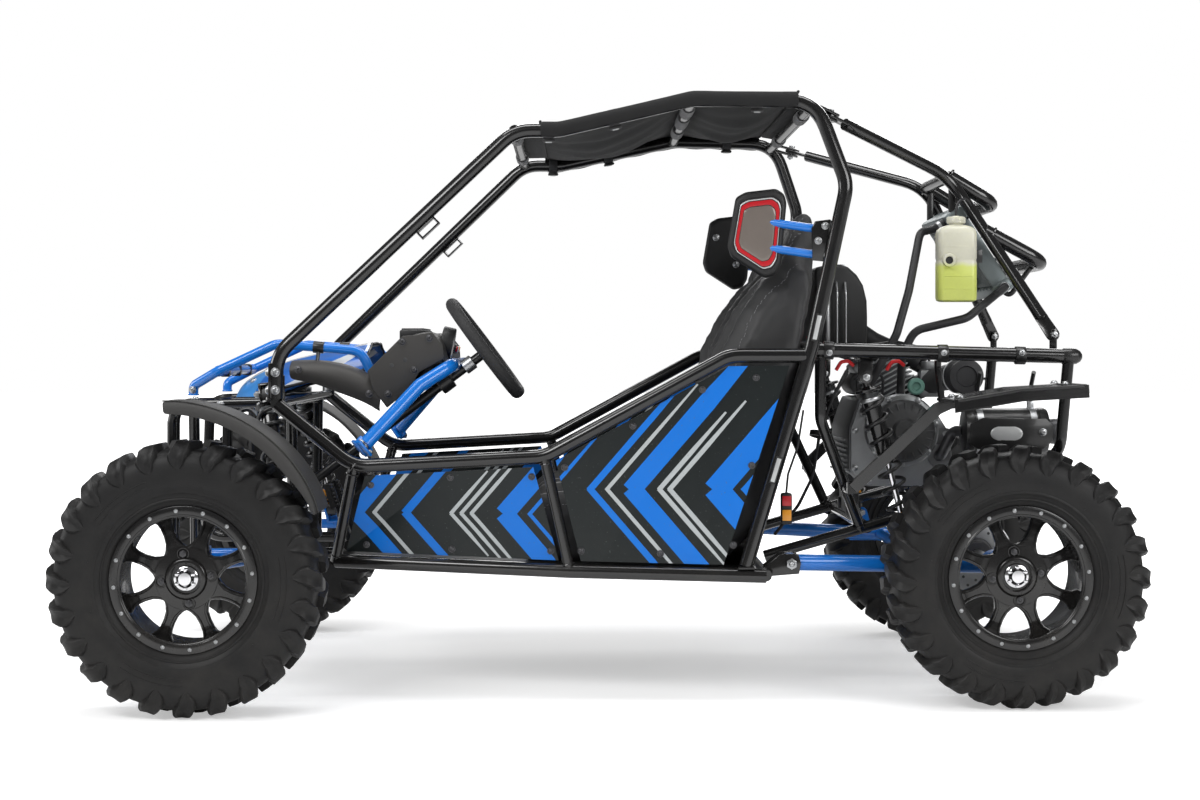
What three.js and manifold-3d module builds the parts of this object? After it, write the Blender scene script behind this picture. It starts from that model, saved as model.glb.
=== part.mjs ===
// Off-road go kart for two, with a bent-tube frame, a roll cage and a canvas roof.
// Millimetres. The front points to -X, the rear to +X, the left side to -Y and up is +Z.
// The origin lies on the ground, under the middle of the kart.
import * as THREE from "three";
import { mergeVertices } from "three/addons/utils/BufferGeometryUtils.js";
import Module from "manifold-3d";

const wasm = await Module();
wasm.setup();

// Wheels
const wheelbase = 1724;
const frontTrack = 1260;
const rearTrack = 1030;
const frontTyreDiameter = 570;
const frontTyreWidth = 180;
const rearTyreDiameter = 554;
const rearTyreWidth = 206;
const lugCount = 12;
const lugDepth = 15;
const rimDiameter = 302;
const rimFlange = 5;
const beadSeatDrop = 10;
const beadInset = 7;
const rimWall = 5;
const frontRimWidth = 140;
const rearRimWidth = 162;
const wheelDiscOffset = 26;
const wheelDiscThickness = 8;
const hubBarrelDiameter = 66;
const hubBossHeight = 16;
const hubCapDiameter = 52;
const hubBarrelDepth = 44;
const hubWall = 5;
const spindleDiameter = 28;
const axleDiameter = 31;
const windowCount = 8;
const windowInnerRadius = 66;
const windowOuterRadius = 124;
const windowInnerWidth = 14;
const windowOuterWidth = 58;

// Clearances
const fitGap = 0.4;
const turningGap = 0.8;
const swingGap = 2.5;
const panelGap = 6;
const cutOverrun = 6;

// Tubes
const mainTube = 31;
const lightTube = 25;
const rackTube = 32;
const blueTube = 22;
const guardRod = 18;
const loopTube = 34;
const mainBend = 90;
const lightBend = 45;
const plateThickness = 6;

// Stations along the length
const noseX = -977;
const secondUprightX = -927;
const bulkheadX = -704;
const footwellX = -588;
const railFrontX = -538;
const railDipX = -128;
const midPostFootX = -74;
const railTopX = 268;
const hoopFootX = 303;
const rearCrossX = 346;
const swingPivotX = 402;
const hoopWaistX = 444;
const hoopShoulderX = 519;
const hoopTopX = 455;
const screenTopX = -194;
const roofFrontX = -98;
const roofPeakX = 190;
const rackEndX = 1022;

// Heights
const footwellZ = 288;
const hoopFootZ = 268;
const railFrontZ = 500;
const railDipZ = 522;
const railTopZ = 738;
const bulkheadZ = 634;
const pillarKneeZ = 738;
const screenTopZ = 1226;
const roofPeakZ = 1290;
const hoopTopZ = 1286;
const hoopShoulderZ = 1104;
const hoopWaistZ = 756;
const rackFrontZ = 751;
const rackRearZ = 736;

// Half widths
const railHalf = 480;
const railFrontInset = 18;
const railFrontHalf = railHalf - railFrontInset;
const footwellInset = 114;
const footwellHalf = railHalf - footwellInset;
const screenInset = 65;
const screenHalf = railHalf - screenInset;
const roofPeakInset = 40;
const roofPeakHalf = railHalf - roofPeakInset;
const hoopTopInset = 25;
const hoopTopHalf = railHalf - hoopTopInset;
const rackInset = 56;
const rackHalf = railHalf - rackInset;
const rackTaper = 22;
const rackRearHalf = rackHalf - rackTaper;
const noseFloorHalf = 196;
const noseFlare = 24;
const noseHalf = noseFloorHalf + noseFlare;

// Front suspension and steering
const armPivotReach = 36;
const armPivotHalf = noseFloorHalf + armPivotReach;
const armPivotZ = 288;
const armBushDiameter = 27;
const armBushFrontX = -925;
const armBushRearX = -796;
const steeringZ = 320;
const rackEndGap = 9;
const kingpinInset = 90;
const kingpinHalf = frontTrack / 2 - kingpinInset;
const kingpinDiameter = 34;
const knuckleHeight = 84;
const clevisPlate = 9;
const clevisWidth = 44;
const clevisReach = 16;
const steeringArmLength = 96;
const steeringArmWidth = 24;
const tieRodDiameter = 15;
const rodEndDiameter = 20;
const rackDiameter = 24;
const wheelCentreX = -262;
const wheelCentreHalf = 230;
const wheelCentreZ = 748;
const columnRun = 211;
const columnRise = 158;
const steeringWheelDiameter = 290;
const gripDiameter = 25;
const columnDiameter = 22;
const columnBlock = 40;
const bulkheadCrossZ = 414;
const bulkheadCrossReach = 42;
const bulkheadCrossHalf = noseHalf + bulkheadCrossReach;

// Shock absorbers
const frontShockTopX = -752;
const shockTopReach = 56;
const frontShockTopHalf = noseHalf + shockTopReach;
const frontShockTopZ = 650;
const frontShockFootX = -694;
const shockFootInset = 112;
const frontShockFootHalf = kingpinHalf - shockFootInset;
const frontShockFootZ = 338;
const rearShockTopX = 574;
const rearShockTopZ = 690;
const rearShockFootX = 668;
const rearShockFootZ = 336;
const rearShockInset = 60;
const rearShockHalf = rackHalf - rearShockInset;
const shockBodyDiameter = 38;
const shockRodDiameter = 14;
const springDiameter = 60;
const springWire = 9;
const springCurls = 6;
const seatFlangeThickness = 5;
const eyeDiameter = 28;
const eyeWidth = 22;
const eyeInset = 32;
const boreTop = 46;
const rodTop = 112;

// Swing arm and rear axle
const swingPivotInset = 50;
const swingPivotHalf = railHalf - swingPivotInset;
const swingPivotZ = 291;
const swingBushDiameter = 40;
const swingBushWidth = 44;
const trailingTube = 36;
const carrierInset = 26;
const carrierHalf = rearShockHalf - carrierInset;
const carrierDiameter = 66;
const carrierWidth = 42;
const swingCrossX = 716;
const sprocketDiameter = 178;
const sprocketThickness = 7;
const sprocketHalf = 64;
const discDiameter = 172;
const discThickness = 5;
const discHalf = 120;
const discHatDiameter = 70;
const discHatWidth = 22;

// Rear frame
const tailFootX = 994;
const tailFootZ = 538;
const cradleRearX = 962;
const cradleRearZ = 464;
const cradleInset = 124;
const cradleHalf = rackHalf - cradleInset;
const cradleFrontZ = 291;
const frontMountX = 588;
const rearMountX = 786;
const braceKneeZ = 600;
const braceFootX = 574;
const shockCrossX = 560;
const boxCrossX = 508;
const rearCrossBarX = 1012;
const fenderStubZ = 452;
const ballCapDiameter = 36;

// Rear brace
const braceTube = 27;
const braceFrontLead = 48;
const braceFrontDrop = 12;
const braceFrontInset = 63;
const braceFrontHalf = hoopTopHalf - braceFrontInset;
const braceBendX = 798;
const braceBendZ = 1148;
const braceBendHalf = 152;
const braceEndX = 997;
const braceEndZ = 784;
const braceEndInset = 84;
const braceEndHalf = rackRearHalf - braceEndInset;
const upperLoopX = 900;
const upperLoopZ = 1086;
const lowerLoopX = 1000;
const lowerLoopZ = 948;
const lowerLoopShare = 0.35;
const tongueLength = 62;
const tongueWidth = 30;
const tongueThickness = 7;
const earTail = 56;

// Body panels and soft parts
const sheetThickness = 3;
const canopyThickness = 4;
const canopySag = 46;
const canopyFrontX = -142;
const canopyRearX = 420;
const canopySkirt = 16;
const noseTipX = -846;
const noseTipZ = 606;
const noseLipX = -840;
const noseLipZ = 672;
const noseMidX = -722;
const noseMidZ = 724;
const noseRearX = -536;
const noseRearZ = 768;
const noseTipHalf = 190;
const noseMidHalf = 233;
const noseRearHalf = 225;
const noseCrownDrop = 34;
const dashFrontX = -522;
const dashFrontZ = 708;
const dashTopX = -446;
const dashTopZ = 785;
const dashEdgeX = -374;
const dashEdgeZ = 796;
const dashRearX = -352;
const dashRearZ = 726;
const dashCowlInset = 162;
const dashHalf = railHalf - dashCowlInset;
const dashSkirtZ = 640;
const firewallTopZ = 726;
const seatSideGap = 62;
const seatMiddleHalf = 34;
const seatHalf = (railHalf - seatSideGap - seatMiddleHalf) / 2;
const seatSpacing = seatMiddleHalf + seatHalf;
const seatFrontX = -178;
const seatCushionHeight = 118;
const seatBackFootX = 336;
const seatBackX = 428;
const seatTopX = 474;
const seatTopZ = 1066;
const seatBackDepth = 120;
const bolsterRise = 62;

// Guards, fenders, engine and fluids
const frontFenderLead = 366;
const frontFenderTrail = 306;
const fenderInnerInset = 122;
const fenderOuterReach = 74;
const frontFenderInner = frontTrack / 2 - fenderInnerInset;
const frontFenderOuter = frontTrack / 2 + fenderOuterReach;
const fenderStayDiameter = 16;
const fenderStayX = -918;
const fenderStayInset = 19;
const fenderStayHalf = kingpinHalf - fenderStayInset;
const rearFenderFrontX = 725;
const rearFenderFrontZ = 646;
const rearFenderRearX = 1004;
const rearFenderRearZ = 678;
const rearFenderInner = rackHalf;
const rearFenderWidth = 182;
const rearFenderOuter = rearFenderInner + rearFenderWidth;
const rearFenderLip = 24;
const fenderArm = 24;
const fenderArmFootX = 537;
const guardX = 331;
const guardZ = 1002;
const guardInset = 56;
const guardHalf = railHalf - guardInset;
const guardLength = 128;
const guardHeight = 194;
const guardThickness = 34;
const guardBracketX = 462;
const guardBracketZ = 984;
const guardRodSpacing = 56;
const crankcaseHalf = 172;
const crankcaseFrontX = 566;
const crankcaseRearX = 806;
const crankcaseFloorZ = 436;
const crankcaseTopZ = 640;
const coverX = 684;
const coverZ = 566;
const coverDiameter = 142;
const coverHeight = 62;
const coverHubDiameter = 50;
const cylinderDiameter = 110;
const cylinderLength = 104;
const cylinderTilt = 0.5;
const filterX = 824;
const filterZ = 690;
const filterDiameter = 80;
const filterHalf = 226;
const muffRearX = 1006;
const muffFrontX = 812;
const muffHalf = 226;
const muffZ = 566;
const muffDiameter = 108;
const tipDiameter = 58;
const radiatorTopX = 806;
const radiatorTopZ = 1072;
const radiatorFootX = 930;
const radiatorFootZ = 882;
const radiatorHalf = 160;
const radiatorDepth = 42;
const tankDepth = 54;
const tankHeight = 30;
const bottleX = 793;
const bottleHalf = 262;
const bottleFloorZ = 858;
const bottleHeight = 172;
const bottleLength = 88;
const bottleWidth = 60;
const bottleCorner = 14;
const bottleCapDiameter = 42;
const bottleCapHeight = 22;
const airBoxX = 548;
const airBoxLength = 122;
const airBoxHalf = 168;
const airBoxHeight = 186;
const hoseDiameter = 19;

// Shares and counts that carry no length
const tubeSides = 8;
const fineSides = 10;
const lightSides = 6;
const turnStep = Math.PI / 4;
const slightTurnShare = 0.75;
const bendRoomShare = 0.48;
const weldTolerance = 0.001;
const wheelSegments = 12;
const shockSides = 8;
const neckShare = 0.42;
const bodyShare = 0.53;
const curlSteps = 8;
const wireSides = 5;

const left = -1;
const right = 1;
const sides = [
  [left, "left"],
  [right, "right"],
];

// From a tube's axis to the middle of one of its flats
const lightFlat = (lightTube / 2) * Math.cos(Math.PI / lightSides);
const railFlat = (mainTube / 2) * Math.cos(Math.PI / lightSides);
const sideRailFlat = (mainTube / 2) * Math.cos(Math.PI / tubeSides);

// Each wheel stands on the flat between two ridges.
const standAngle = Math.PI / (2 * lugCount);
const frontHubZ = (frontTyreDiameter / 2) * Math.cos(standAngle);
const rearHubZ = (rearTyreDiameter / 2) * Math.cos(standAngle);
const frontHubX = -wheelbase / 2 + (frontHubZ - rearHubZ) / 2;
const rearHubX = frontHubX + wheelbase;

function at(x, y, z) {
  return new THREE.Vector3(x, y, z);
}

// Solids
function solidOf(geometry) {
  const bare = geometry.clone();
  bare.deleteAttribute("normal");
  bare.deleteAttribute("uv");
  const merged = mergeVertices(bare, weldTolerance);
  return new wasm.Manifold(
    new wasm.Mesh({
      numProp: 3,
      vertProperties: merged.attributes.position.array,
      triVerts: new Uint32Array(merged.index.array),
    }),
  );
}

function geometryOf(solid) {
  const mesh = solid.getMesh();
  const geometry = new THREE.BufferGeometry();
  geometry.setAttribute("position", new THREE.BufferAttribute(mesh.vertProperties, mesh.numProp));
  geometry.setIndex(new THREE.BufferAttribute(mesh.triVerts, 1));
  return geometry;
}

function join(geometries) {
  return geometryOf(geometries.map(solidOf).reduce((whole, piece) => whole.add(piece)));
}

function cut(geometry, tools) {
  return geometryOf(tools.map(solidOf).reduce((whole, tool) => whole.subtract(tool), solidOf(geometry)));
}

function moved(geometry, x, y, z) {
  return geometry.clone().translate(x, y, z);
}

// A tube's route: straight runs with a ring of stations round each bend.
class Route extends THREE.Curve {
  constructor(stations) {
    super();
    this.stations = stations;
    this.last = stations.length - 1;
  }
  getPoint(share) {
    return this.stations[Math.round(share * this.last)].clone();
  }
  getPointAt(share) {
    return this.getPoint(share);
  }
  getTangent(share) {
    const i = Math.round(share * this.last);
    const here = this.stations[i];
    const before = this.stations[Math.max(i - 1, 0)];
    const after = this.stations[Math.min(i + 1, this.last)];
    const into = here.clone().sub(before).normalize();
    return after.clone().sub(here).normalize().add(into).normalize();
  }
  getTangentAt(share) {
    return this.getTangent(share);
  }
}

function bentRoute(points, bend) {
  const stations = [points[0]];
  for (let i = 1; i < points.length - 1; i++) {
    const into = points[i].clone().sub(points[i - 1]);
    const out = points[i + 1].clone().sub(points[i]);
    const turn = into.angleTo(out);
    const room = Math.min(into.length(), out.length()) * bendRoomShare;
    const reach = Math.min(bend * Math.tan(turn / 2), room);
    const start = points[i].clone().addScaledVector(into.normalize(), -reach);
    const end = points[i].clone().addScaledVector(out.normalize(), reach);
    const arc = new THREE.QuadraticBezierCurve3(start, points[i], end);
    const slight = bend === 0 || turn < turnStep * slightTurnShare;
    stations.push(...(slight ? [points[i]] : arc.getPoints(Math.ceil(turn / turnStep))));
  }
  stations.push(points[points.length - 1]);
  return stations;
}

function polygon(radius, count) {
  const corners = [];
  for (let i = 0; i < count; i++) {
    const angle = ((i + 0.5) * 2 * Math.PI) / count;
    corners.push(new THREE.Vector2(radius * Math.cos(angle), radius * Math.sin(angle)));
  }
  return new THREE.Shape(corners);
}

function tube(points, diameter, bend = 0, count = tubeSides) {
  const stations = bentRoute(points, bend);
  return new THREE.ExtrudeGeometry(polygon(diameter / 2, count), {
    steps: stations.length - 1,
    extrudePath: new Route(stations),
  });
}

function box(lowX, highX, lowY, highY, lowZ, highZ) {
  const geometry = new THREE.BoxGeometry(
    Math.abs(highX - lowX),
    Math.abs(highY - lowY),
    Math.abs(highZ - lowZ),
  );
  return moved(geometry, (lowX + highX) / 2, (lowY + highY) / 2, (lowZ + highZ) / 2);
}

// An outline in X and Z, drawn out along Y.
function platesAcross(outline, lowY, highY) {
  const shape = new THREE.Shape(outline.map(([x, z]) => new THREE.Vector2(x, z)));
  const geometry = new THREE.ExtrudeGeometry(shape, {
    depth: Math.abs(highY - lowY),
    bevelEnabled: false,
  });
  return moved(geometry.rotateX(Math.PI / 2), 0, Math.max(lowY, highY), 0);
}

function rounded(length, height, corner, steps) {
  const points = [];
  const centres = [
    [length / 2 - corner, height / 2 - corner],
    [corner - length / 2, height / 2 - corner],
    [corner - length / 2, corner - height / 2],
    [length / 2 - corner, corner - height / 2],
  ];
  centres.forEach(([x, z], quarter) => {
    for (let i = 0; i <= steps; i++) {
      const angle = ((quarter + i / steps) * Math.PI) / 2;
      points.push([x + corner * Math.cos(angle), z + corner * Math.sin(angle)]);
    }
  });
  return points;
}

function discAcross(x, lowY, highY, z, diameter, count = fineSides) {
  const geometry = new THREE.CylinderGeometry(diameter / 2, diameter / 2, Math.abs(highY - lowY), count);
  return moved(geometry, x, (lowY + highY) / 2, z);
}

// A closed surface from rows of points. Each face is turned outward at the end.
function closedSurface(vertices, triangles) {
  const geometry = new THREE.BufferGeometry();
  const values = vertices.flatMap((point) => [point.x, point.y, point.z]);
  geometry.setAttribute("position", new THREE.Float32BufferAttribute(values, 3));
  let volume = 0;
  for (const [a, b, c] of triangles) {
    volume += vertices[a].dot(vertices[b].clone().cross(vertices[c]));
  }
  const turned = volume < 0 ? triangles.map(([a, b, c]) => [a, c, b]) : triangles;
  geometry.setIndex(turned.flat());
  return geometry;
}

// Rings of points, one after another, with a flat lid at both ends.
function loft(rings) {
  const count = rings[0].length;
  const triangles = [];
  for (let i = 0; i < rings.length - 1; i++) {
    for (let j = 0; j < count; j++) {
      const a = i * count + j;
      const b = i * count + ((j + 1) % count);
      triangles.push([a, b, a + count], [b, b + count, a + count]);
    }
  }
  [0, rings.length - 1].forEach((row) => {
    const ring = rings[row];
    const flat = ring.map((point) => new THREE.Vector2(point.x, point.z));
    const spanX = Math.max(...flat.map((p) => p.x)) - Math.min(...flat.map((p) => p.x));
    const spanY = Math.max(...ring.map((p) => p.y)) - Math.min(...ring.map((p) => p.y));
    const lid = spanX > spanY ? flat : ring.map((point) => new THREE.Vector2(point.y, point.z));
    THREE.ShapeUtils.triangulateShape(lid, []).forEach(([a, b, c]) => {
      const face = [a + row * count, b + row * count, c + row * count];
      triangles.push(row === 0 ? orientLid(face, rings, true) : orientLid(face, rings, false));
    });
  });
  return closedSurface(rings.flat(), triangles);
}

// The sides run a, b, next ring, so the first lid runs against them and the last one with them.
function orientLid(face, rings, first) {
  const count = rings[0].length;
  const ring = rings[first ? 0 : rings.length - 1];
  const centre = ring.reduce((sum, p) => sum.add(p), at(0, 0, 0)).divideScalar(count);
  const area = at(0, 0, 0);
  ring.forEach((p, i) => {
    const a = p.clone().sub(centre);
    area.add(a.cross(ring[(i + 1) % count].clone().sub(centre)));
  });
  const [a, b, c] = face.map((i) => rings.flat()[i]);
  const normal = b.clone().sub(a).cross(c.clone().sub(a));
  const along = normal.dot(area) > 0;
  const wanted = !first;
  return along === wanted ? face : [face[0], face[2], face[1]];
}

// A sheet with a wall: a grid of points and the same grid moved by the wall.
function sheet(rows, wall) {
  const height = rows.length;
  const width = rows[0].length;
  const top = rows.flat();
  const wallAt = typeof wall === "function" ? wall : () => wall;
  const bottom = top.map((point, i) => {
    return point.clone().add(wallAt(i % width, width, Math.floor(i / width)));
  });
  const triangles = [];
  const under = top.length;
  for (let i = 0; i < height - 1; i++) {
    for (let j = 0; j < width - 1; j++) {
      const a = i * width + j;
      triangles.push([a, a + 1, a + width], [a + 1, a + width + 1, a + width]);
      const u = under + a;
      triangles.push([u, u + width, u + 1], [u + 1, u + width, u + width + 1]);
    }
  }
  const rim = [];
  for (let j = 0; j < width - 1; j++) rim.push(j);
  for (let i = 0; i < height - 1; i++) rim.push(i * width + width - 1);
  for (let j = width - 1; j > 0; j--) rim.push((height - 1) * width + j);
  for (let i = height - 1; i > 0; i--) rim.push(i * width);
  rim.forEach((a, i) => {
    const b = rim[(i + 1) % rim.length];
    triangles.push([b, a, under + a], [b, under + a, under + b]);
  });
  return closedSurface([...top, ...bottom], triangles);
}

// The height of the bottom rails falls towards the rear.
function floorZ(x) {
  const share = (x - footwellX) / (hoopFootX - footwellX);
  return footwellZ + share * (hoopFootZ - footwellZ);
}

const kart = new THREE.Group();

function place(name, geometry, colour, roughness, metalness, parent = kart) {
  const material = new THREE.MeshStandardMaterial({ color: colour, roughness, metalness });
  const mesh = new THREE.Mesh(geometry, material);
  mesh.name = name;
  parent.add(mesh);
  return mesh;
}

const gloss = (name, geometry, parent) => place(name, geometry, 0x0c0d0f, 0.25, 0.6, parent);
const blue = (name, geometry, parent) => place(name, geometry, 0x0082e6, 0.35, 0.3, parent);
const plastic = (name, geometry, parent) => place(name, geometry, 0x3c3a38, 0.6, 0, parent);
const steel = (name, geometry, parent) => place(name, geometry, 0xb8babc, 0.35, 0.9, parent);
const rubber = (name, geometry, parent) => place(name, geometry, 0x1a1a1b, 0.85, 0, parent);

// The side rail stops short of the hoop's leaning leg.
const hoopLean = (hoopWaistX - hoopFootX) / (hoopWaistZ - hoopFootZ);
const legFrontGap = (mainTube / 2) * Math.hypot(1, hoopLean) + fitGap;
const railEndX = hoopFootX + (railTopZ - mainTube / 2 - hoopFootZ) * hoopLean - legFrontGap;

// Lower frame
function sideRail(side) {
  return [
    at(bulkheadX, side * (railFrontHalf - lightTube / 4), bulkheadZ),
    at(railFrontX, side * railFrontHalf, railFrontZ),
    at(railDipX, side * railHalf, railDipZ),
    at(railTopX, side * railHalf, railTopZ),
    at(railEndX, side * railHalf, railTopZ),
  ];
}

function bottomRail(side) {
  return [
    at(footwellX, side * footwellHalf, footwellZ),
    at(midPostFootX, side * (railHalf - mainTube / 3), floorZ(midPostFootX)),
    at(rearCrossX, side * railHalf, floorZ(rearCrossX)),
  ];
}

function noseLoop(side) {
  return tube(
    [
      at(bulkheadX, side * (noseHalf + mainTube / 2), bulkheadZ),
      at(noseX + lightTube / 4, side * noseHalf, bulkheadZ - lightTube / 4),
      at(noseX, side * noseFloorHalf, footwellZ),
      at(footwellX, side * noseFloorHalf, footwellZ),
    ],
    lightTube,
    lightBend,
    lightSides,
  );
}

function lightTubeAlong(points) {
  return tube(points, lightTube, lightBend, lightSides);
}

function crossTube(x, half, z, diameter = lightTube, count = lightSides) {
  return tube([at(x, -half, z), at(x, half, z)], diameter, 0, count);
}

// Two ears that hold a bush between them, along X.
function armEars(side) {
  const lowY = side * (noseFloorHalf + lightTube / 4);
  const highY = side * (armPivotHalf + armBushDiameter / 2);
  const lowZ = armPivotZ - armBushDiameter / 2;
  const highZ = armPivotZ + armBushDiameter / 2;
  const frontX = armBushFrontX - fitGap;
  const rearX = armBushRearX + fitGap;
  return [
    box(frontX - plateThickness, frontX, lowY, highY, lowZ, highZ),
    box(rearX, rearX + plateThickness, lowY, highY, lowZ, highZ),
  ];
}

function swingEars(side) {
  const half = swingBushWidth / 2 + fitGap;
  return [-1, 1].map((hand) => {
    const y = side * swingPivotHalf + hand * (half + plateThickness / 2);
    const lowY = y - plateThickness / 2;
    return box(
      rearCrossX,
      swingPivotX + swingBushDiameter / 2,
      lowY,
      lowY + plateThickness,
      floorZ(rearCrossX) - lightTube / 4,
      swingPivotZ + swingBushDiameter / 2,
    );
  });
}

// The pillar's foot is bolted to a splice plate.
function splicePlate(side) {
  const inner = side * (railFrontHalf - mainTube / 2 - fitGap);
  const outer = inner - side * plateThickness;
  const half = mainTube / 2;
  return box(bulkheadX - half, bulkheadX + half, inner, outer, bulkheadZ, bulkheadZ + 2 * mainTube);
}

function frontShockEyes(side) {
  return [
    at(frontShockTopX, side * frontShockTopHalf, frontShockTopZ),
    at(frontShockFootX, side * frontShockFootHalf, frontShockFootZ),
  ];
}

function rearShockEyes(side) {
  return [
    at(rearShockTopX, side * rearShockHalf, rearShockTopZ),
    at(rearShockFootX, side * rearShockHalf, rearShockFootZ),
  ];
}

// A shock's own frame: X along the bolts, Y from the upper eye to the lower one.
function shockFrame([top, foot], bolt) {
  const down = foot.clone().sub(top).normalize();
  const across = bolt.clone().addScaledVector(down, -bolt.dot(down)).normalize();
  const third = across.clone().cross(down);
  return new THREE.Matrix4().makeBasis(across, down, third).setPosition(top);
}

// Two ears beside a shock's eye and the plate that joins them at their far end.
function shockEars(frame, eyeY, reachLow, reachHigh, gap = fitGap) {
  const halfWidth = eyeWidth / 2 + gap;
  const half = eyeDiameter / 2;
  const ears = [-1, 1].map((hand) =>
    box(hand * halfWidth, hand * (halfWidth + plateThickness), reachLow, reachHigh, -half, half),
  );
  const farY = -reachLow > reachHigh ? reachLow : reachHigh - plateThickness;
  const outer = halfWidth + plateThickness;
  ears.push(box(-outer, outer, farY, farY + plateThickness, -half, half));
  return ears.map((ear) => moved(ear, 0, eyeY, 0).applyMatrix4(frame));
}

// The front shock's ears stand on a web that rises from the nose loop.
function shockTower(side) {
  const [top, foot] = frontShockEyes(side);
  const up = top.clone().sub(foot).normalize();
  const head = top.clone().addScaledVector(up, earReach - plateThickness);
  const half = eyeWidth / 2 + fitGap + plateThickness;
  const webY = side * (noseHalf + mainTube / 2);
  const lowX = frontShockTopX - half;
  const highX = frontShockTopX + half;
  return [
    box(lowX, highX, webY, webY + side * plateThickness, bulkheadZ, head.z),
    box(lowX, highX, webY, head.y, head.z - plateThickness, head.z),
  ];
}

const frontBolt = at(1, 0, 0);
const rearBolt = at(0, 1, 0);
const earReach = 34;

function lowerFrame() {
  const tubes = [
    crossTube(bulkheadX, railFrontHalf, bulkheadZ),
    crossTube(bulkheadX, bulkheadCrossHalf, bulkheadCrossZ),
    crossTube(footwellX, footwellHalf, footwellZ),
    crossTube(midPostFootX, railHalf - mainTube / 3, floorZ(midPostFootX)),
    crossTube(rearCrossX, railHalf, floorZ(rearCrossX)),
    crossTube(noseX, noseHalf - (noseHalf - noseFloorHalf) / 2, (bulkheadZ + footwellZ) / 2),
  ];
  const ears = [];
  for (const [side] of sides) {
    const post = side * (noseFloorHalf + lightTube / 4);
    tubes.push(
      tube(sideRail(side), mainTube, mainBend),
      tube(bottomRail(side), mainTube, mainBend, lightSides),
      noseLoop(side),
      lightTubeAlong([
        at(secondUprightX, side * noseFloorHalf, footwellZ),
        at(secondUprightX, side * noseHalf, bulkheadZ),
      ]),
      lightTubeAlong([
        at(bulkheadX, post, footwellZ),
        at(bulkheadX, side * (noseHalf + mainTube / 2), bulkheadZ),
      ]),
      lightTubeAlong([
        at(footwellX, side * footwellHalf, footwellZ),
        at(railFrontX, side * railFrontHalf, railFrontZ),
      ]),
      lightTubeAlong([
        at(midPostFootX, side * (railHalf - mainTube / 3), floorZ(midPostFootX)),
        at(railDipX, side * railHalf, railDipZ),
      ]),
    );
    const frame = shockFrame(frontShockEyes(side), frontBolt);
    ears.push(...armEars(side), ...swingEars(side), splicePlate(side));
    ears.push(...shockEars(frame, 0, -earReach, eyeDiameter / 2), ...shockTower(side));
  }
  const whole = join([...tubes, ...ears, ...framePads(), columnSeat()]);
  const bore = rackDiameter + 2 * turningGap;
  return cut(whole, [discAcross(tieRodX, -noseHalf, noseHalf, steeringZ, bore)]);
}

// Pads under the brush bars, posts under the nose cowl, rack blocks and panel tabs
const brushPadZ = bulkheadZ + lightTube / 2;
const blockHalf = 17;
const blockInnerHalf = 120;
const blockOuterHalf = 167;
const blockPlate = 11;
const postHalf = 60;

function framePads() {
  const pad = blueTube / 2;
  const crownShare = 0.35;
  const postHighZ = noseMidZ + ((noseRearZ - noseMidZ) * (bulkheadX - pad - noseMidX)) / (noseRearX - noseMidX);
  const postTopZ = postHighZ - noseCrownDrop * crownShare * crownShare - sheetThickness - 3 * fitGap;
  return sides.flatMap(([side]) => {
    const brushY = side * noseHalf;
    const blockY = side * blockInnerHalf;
    const plateY = side * noseFloorHalf;
    const lowX = tieRodX - blockHalf;
    const highX = tieRodX + blockHalf;
    const postY = side * postHalf;
    const blockLow = footwellZ - blockPlate;
    const blockHigh = steeringZ + blockHalf;
    return [
      box(brushFootX - pad, brushFootX + pad, brushY - pad, brushY + pad, bulkheadZ - lightTube / 2, brushPadZ),
      box(bulkheadX - pad, bulkheadX + pad, postY - pad, postY + pad, bulkheadZ, postTopZ),
      box(lowX, highX, blockY, side * blockOuterHalf, blockLow, blockHigh),
      box(lowX, highX, blockY, plateY, blockLow, footwellZ),
      panelTab(side, (railFrontX + railDipX) / 2, (footwellX + midPostFootX) / 2, turningGap + fitGap),
      panelTab(side, railTopX, hoopFootX - mainTube, turningGap),
    ];
  });
}

// A tab that hangs from the side rail and lies behind a panel's upper edge
function panelTab(side, topX, footX, gap) {
  const halfLength = lightTube / 2;
  const edge = panelDrop + panelGap;
  const inner = [topX - halfLength, topX + halfLength].map((x) => {
    const top = onRail(sideRail(right), x);
    const foot = onRail(bottomRail(right), footX);
    const share = panelGap / (top.z - foot.z - 2 * panelDrop);
    return Math.min(top.y, top.y + share * (foot.y - top.y)) - sheetThickness - gap;
  });
  const y = side * Math.min(...inner);
  const railZ = onRail(sideRail(right), topX).z;
  return box(topX - halfLength, topX + halfLength, y, y - side * sheetThickness, railZ - edge, railZ);
}

// Roll cage
const pillarFootZ = bulkheadZ + lightFlat + fitGap;
const hoopPadZ = floorZ(hoopFootX) + railFlat + 2 * fitGap;

function cageSide(side) {
  return tube(
    [
      at(bulkheadX, side * railFrontHalf, pillarFootZ),
      at(bulkheadX, side * railFrontHalf, pillarKneeZ),
      at(screenTopX, side * screenHalf, screenTopZ),
      at(roofFrontX, side * (screenHalf + plateThickness / 2), screenTopZ),
      at(roofPeakX, side * roofPeakHalf, roofPeakZ),
      at(hoopTopX, side * hoopTopHalf, hoopTopZ),
      at(hoopShoulderX, side * railHalf, hoopShoulderZ),
      at(hoopWaistX, side * railHalf, hoopWaistZ),
      at(hoopFootX, side * railHalf, hoopPadZ + plateThickness),
    ],
    mainTube,
    mainBend,
  );
}

// The hoop's leg stands on a pad over the bottom rail.
function hoopPad(side) {
  const half = mainTube / 2 + plateThickness / 2;
  const y = side * railHalf;
  return box(hoopFootX - half, hoopFootX + half, y - half, y + half, hoopPadZ, hoopPadZ + plateThickness);
}

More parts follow.
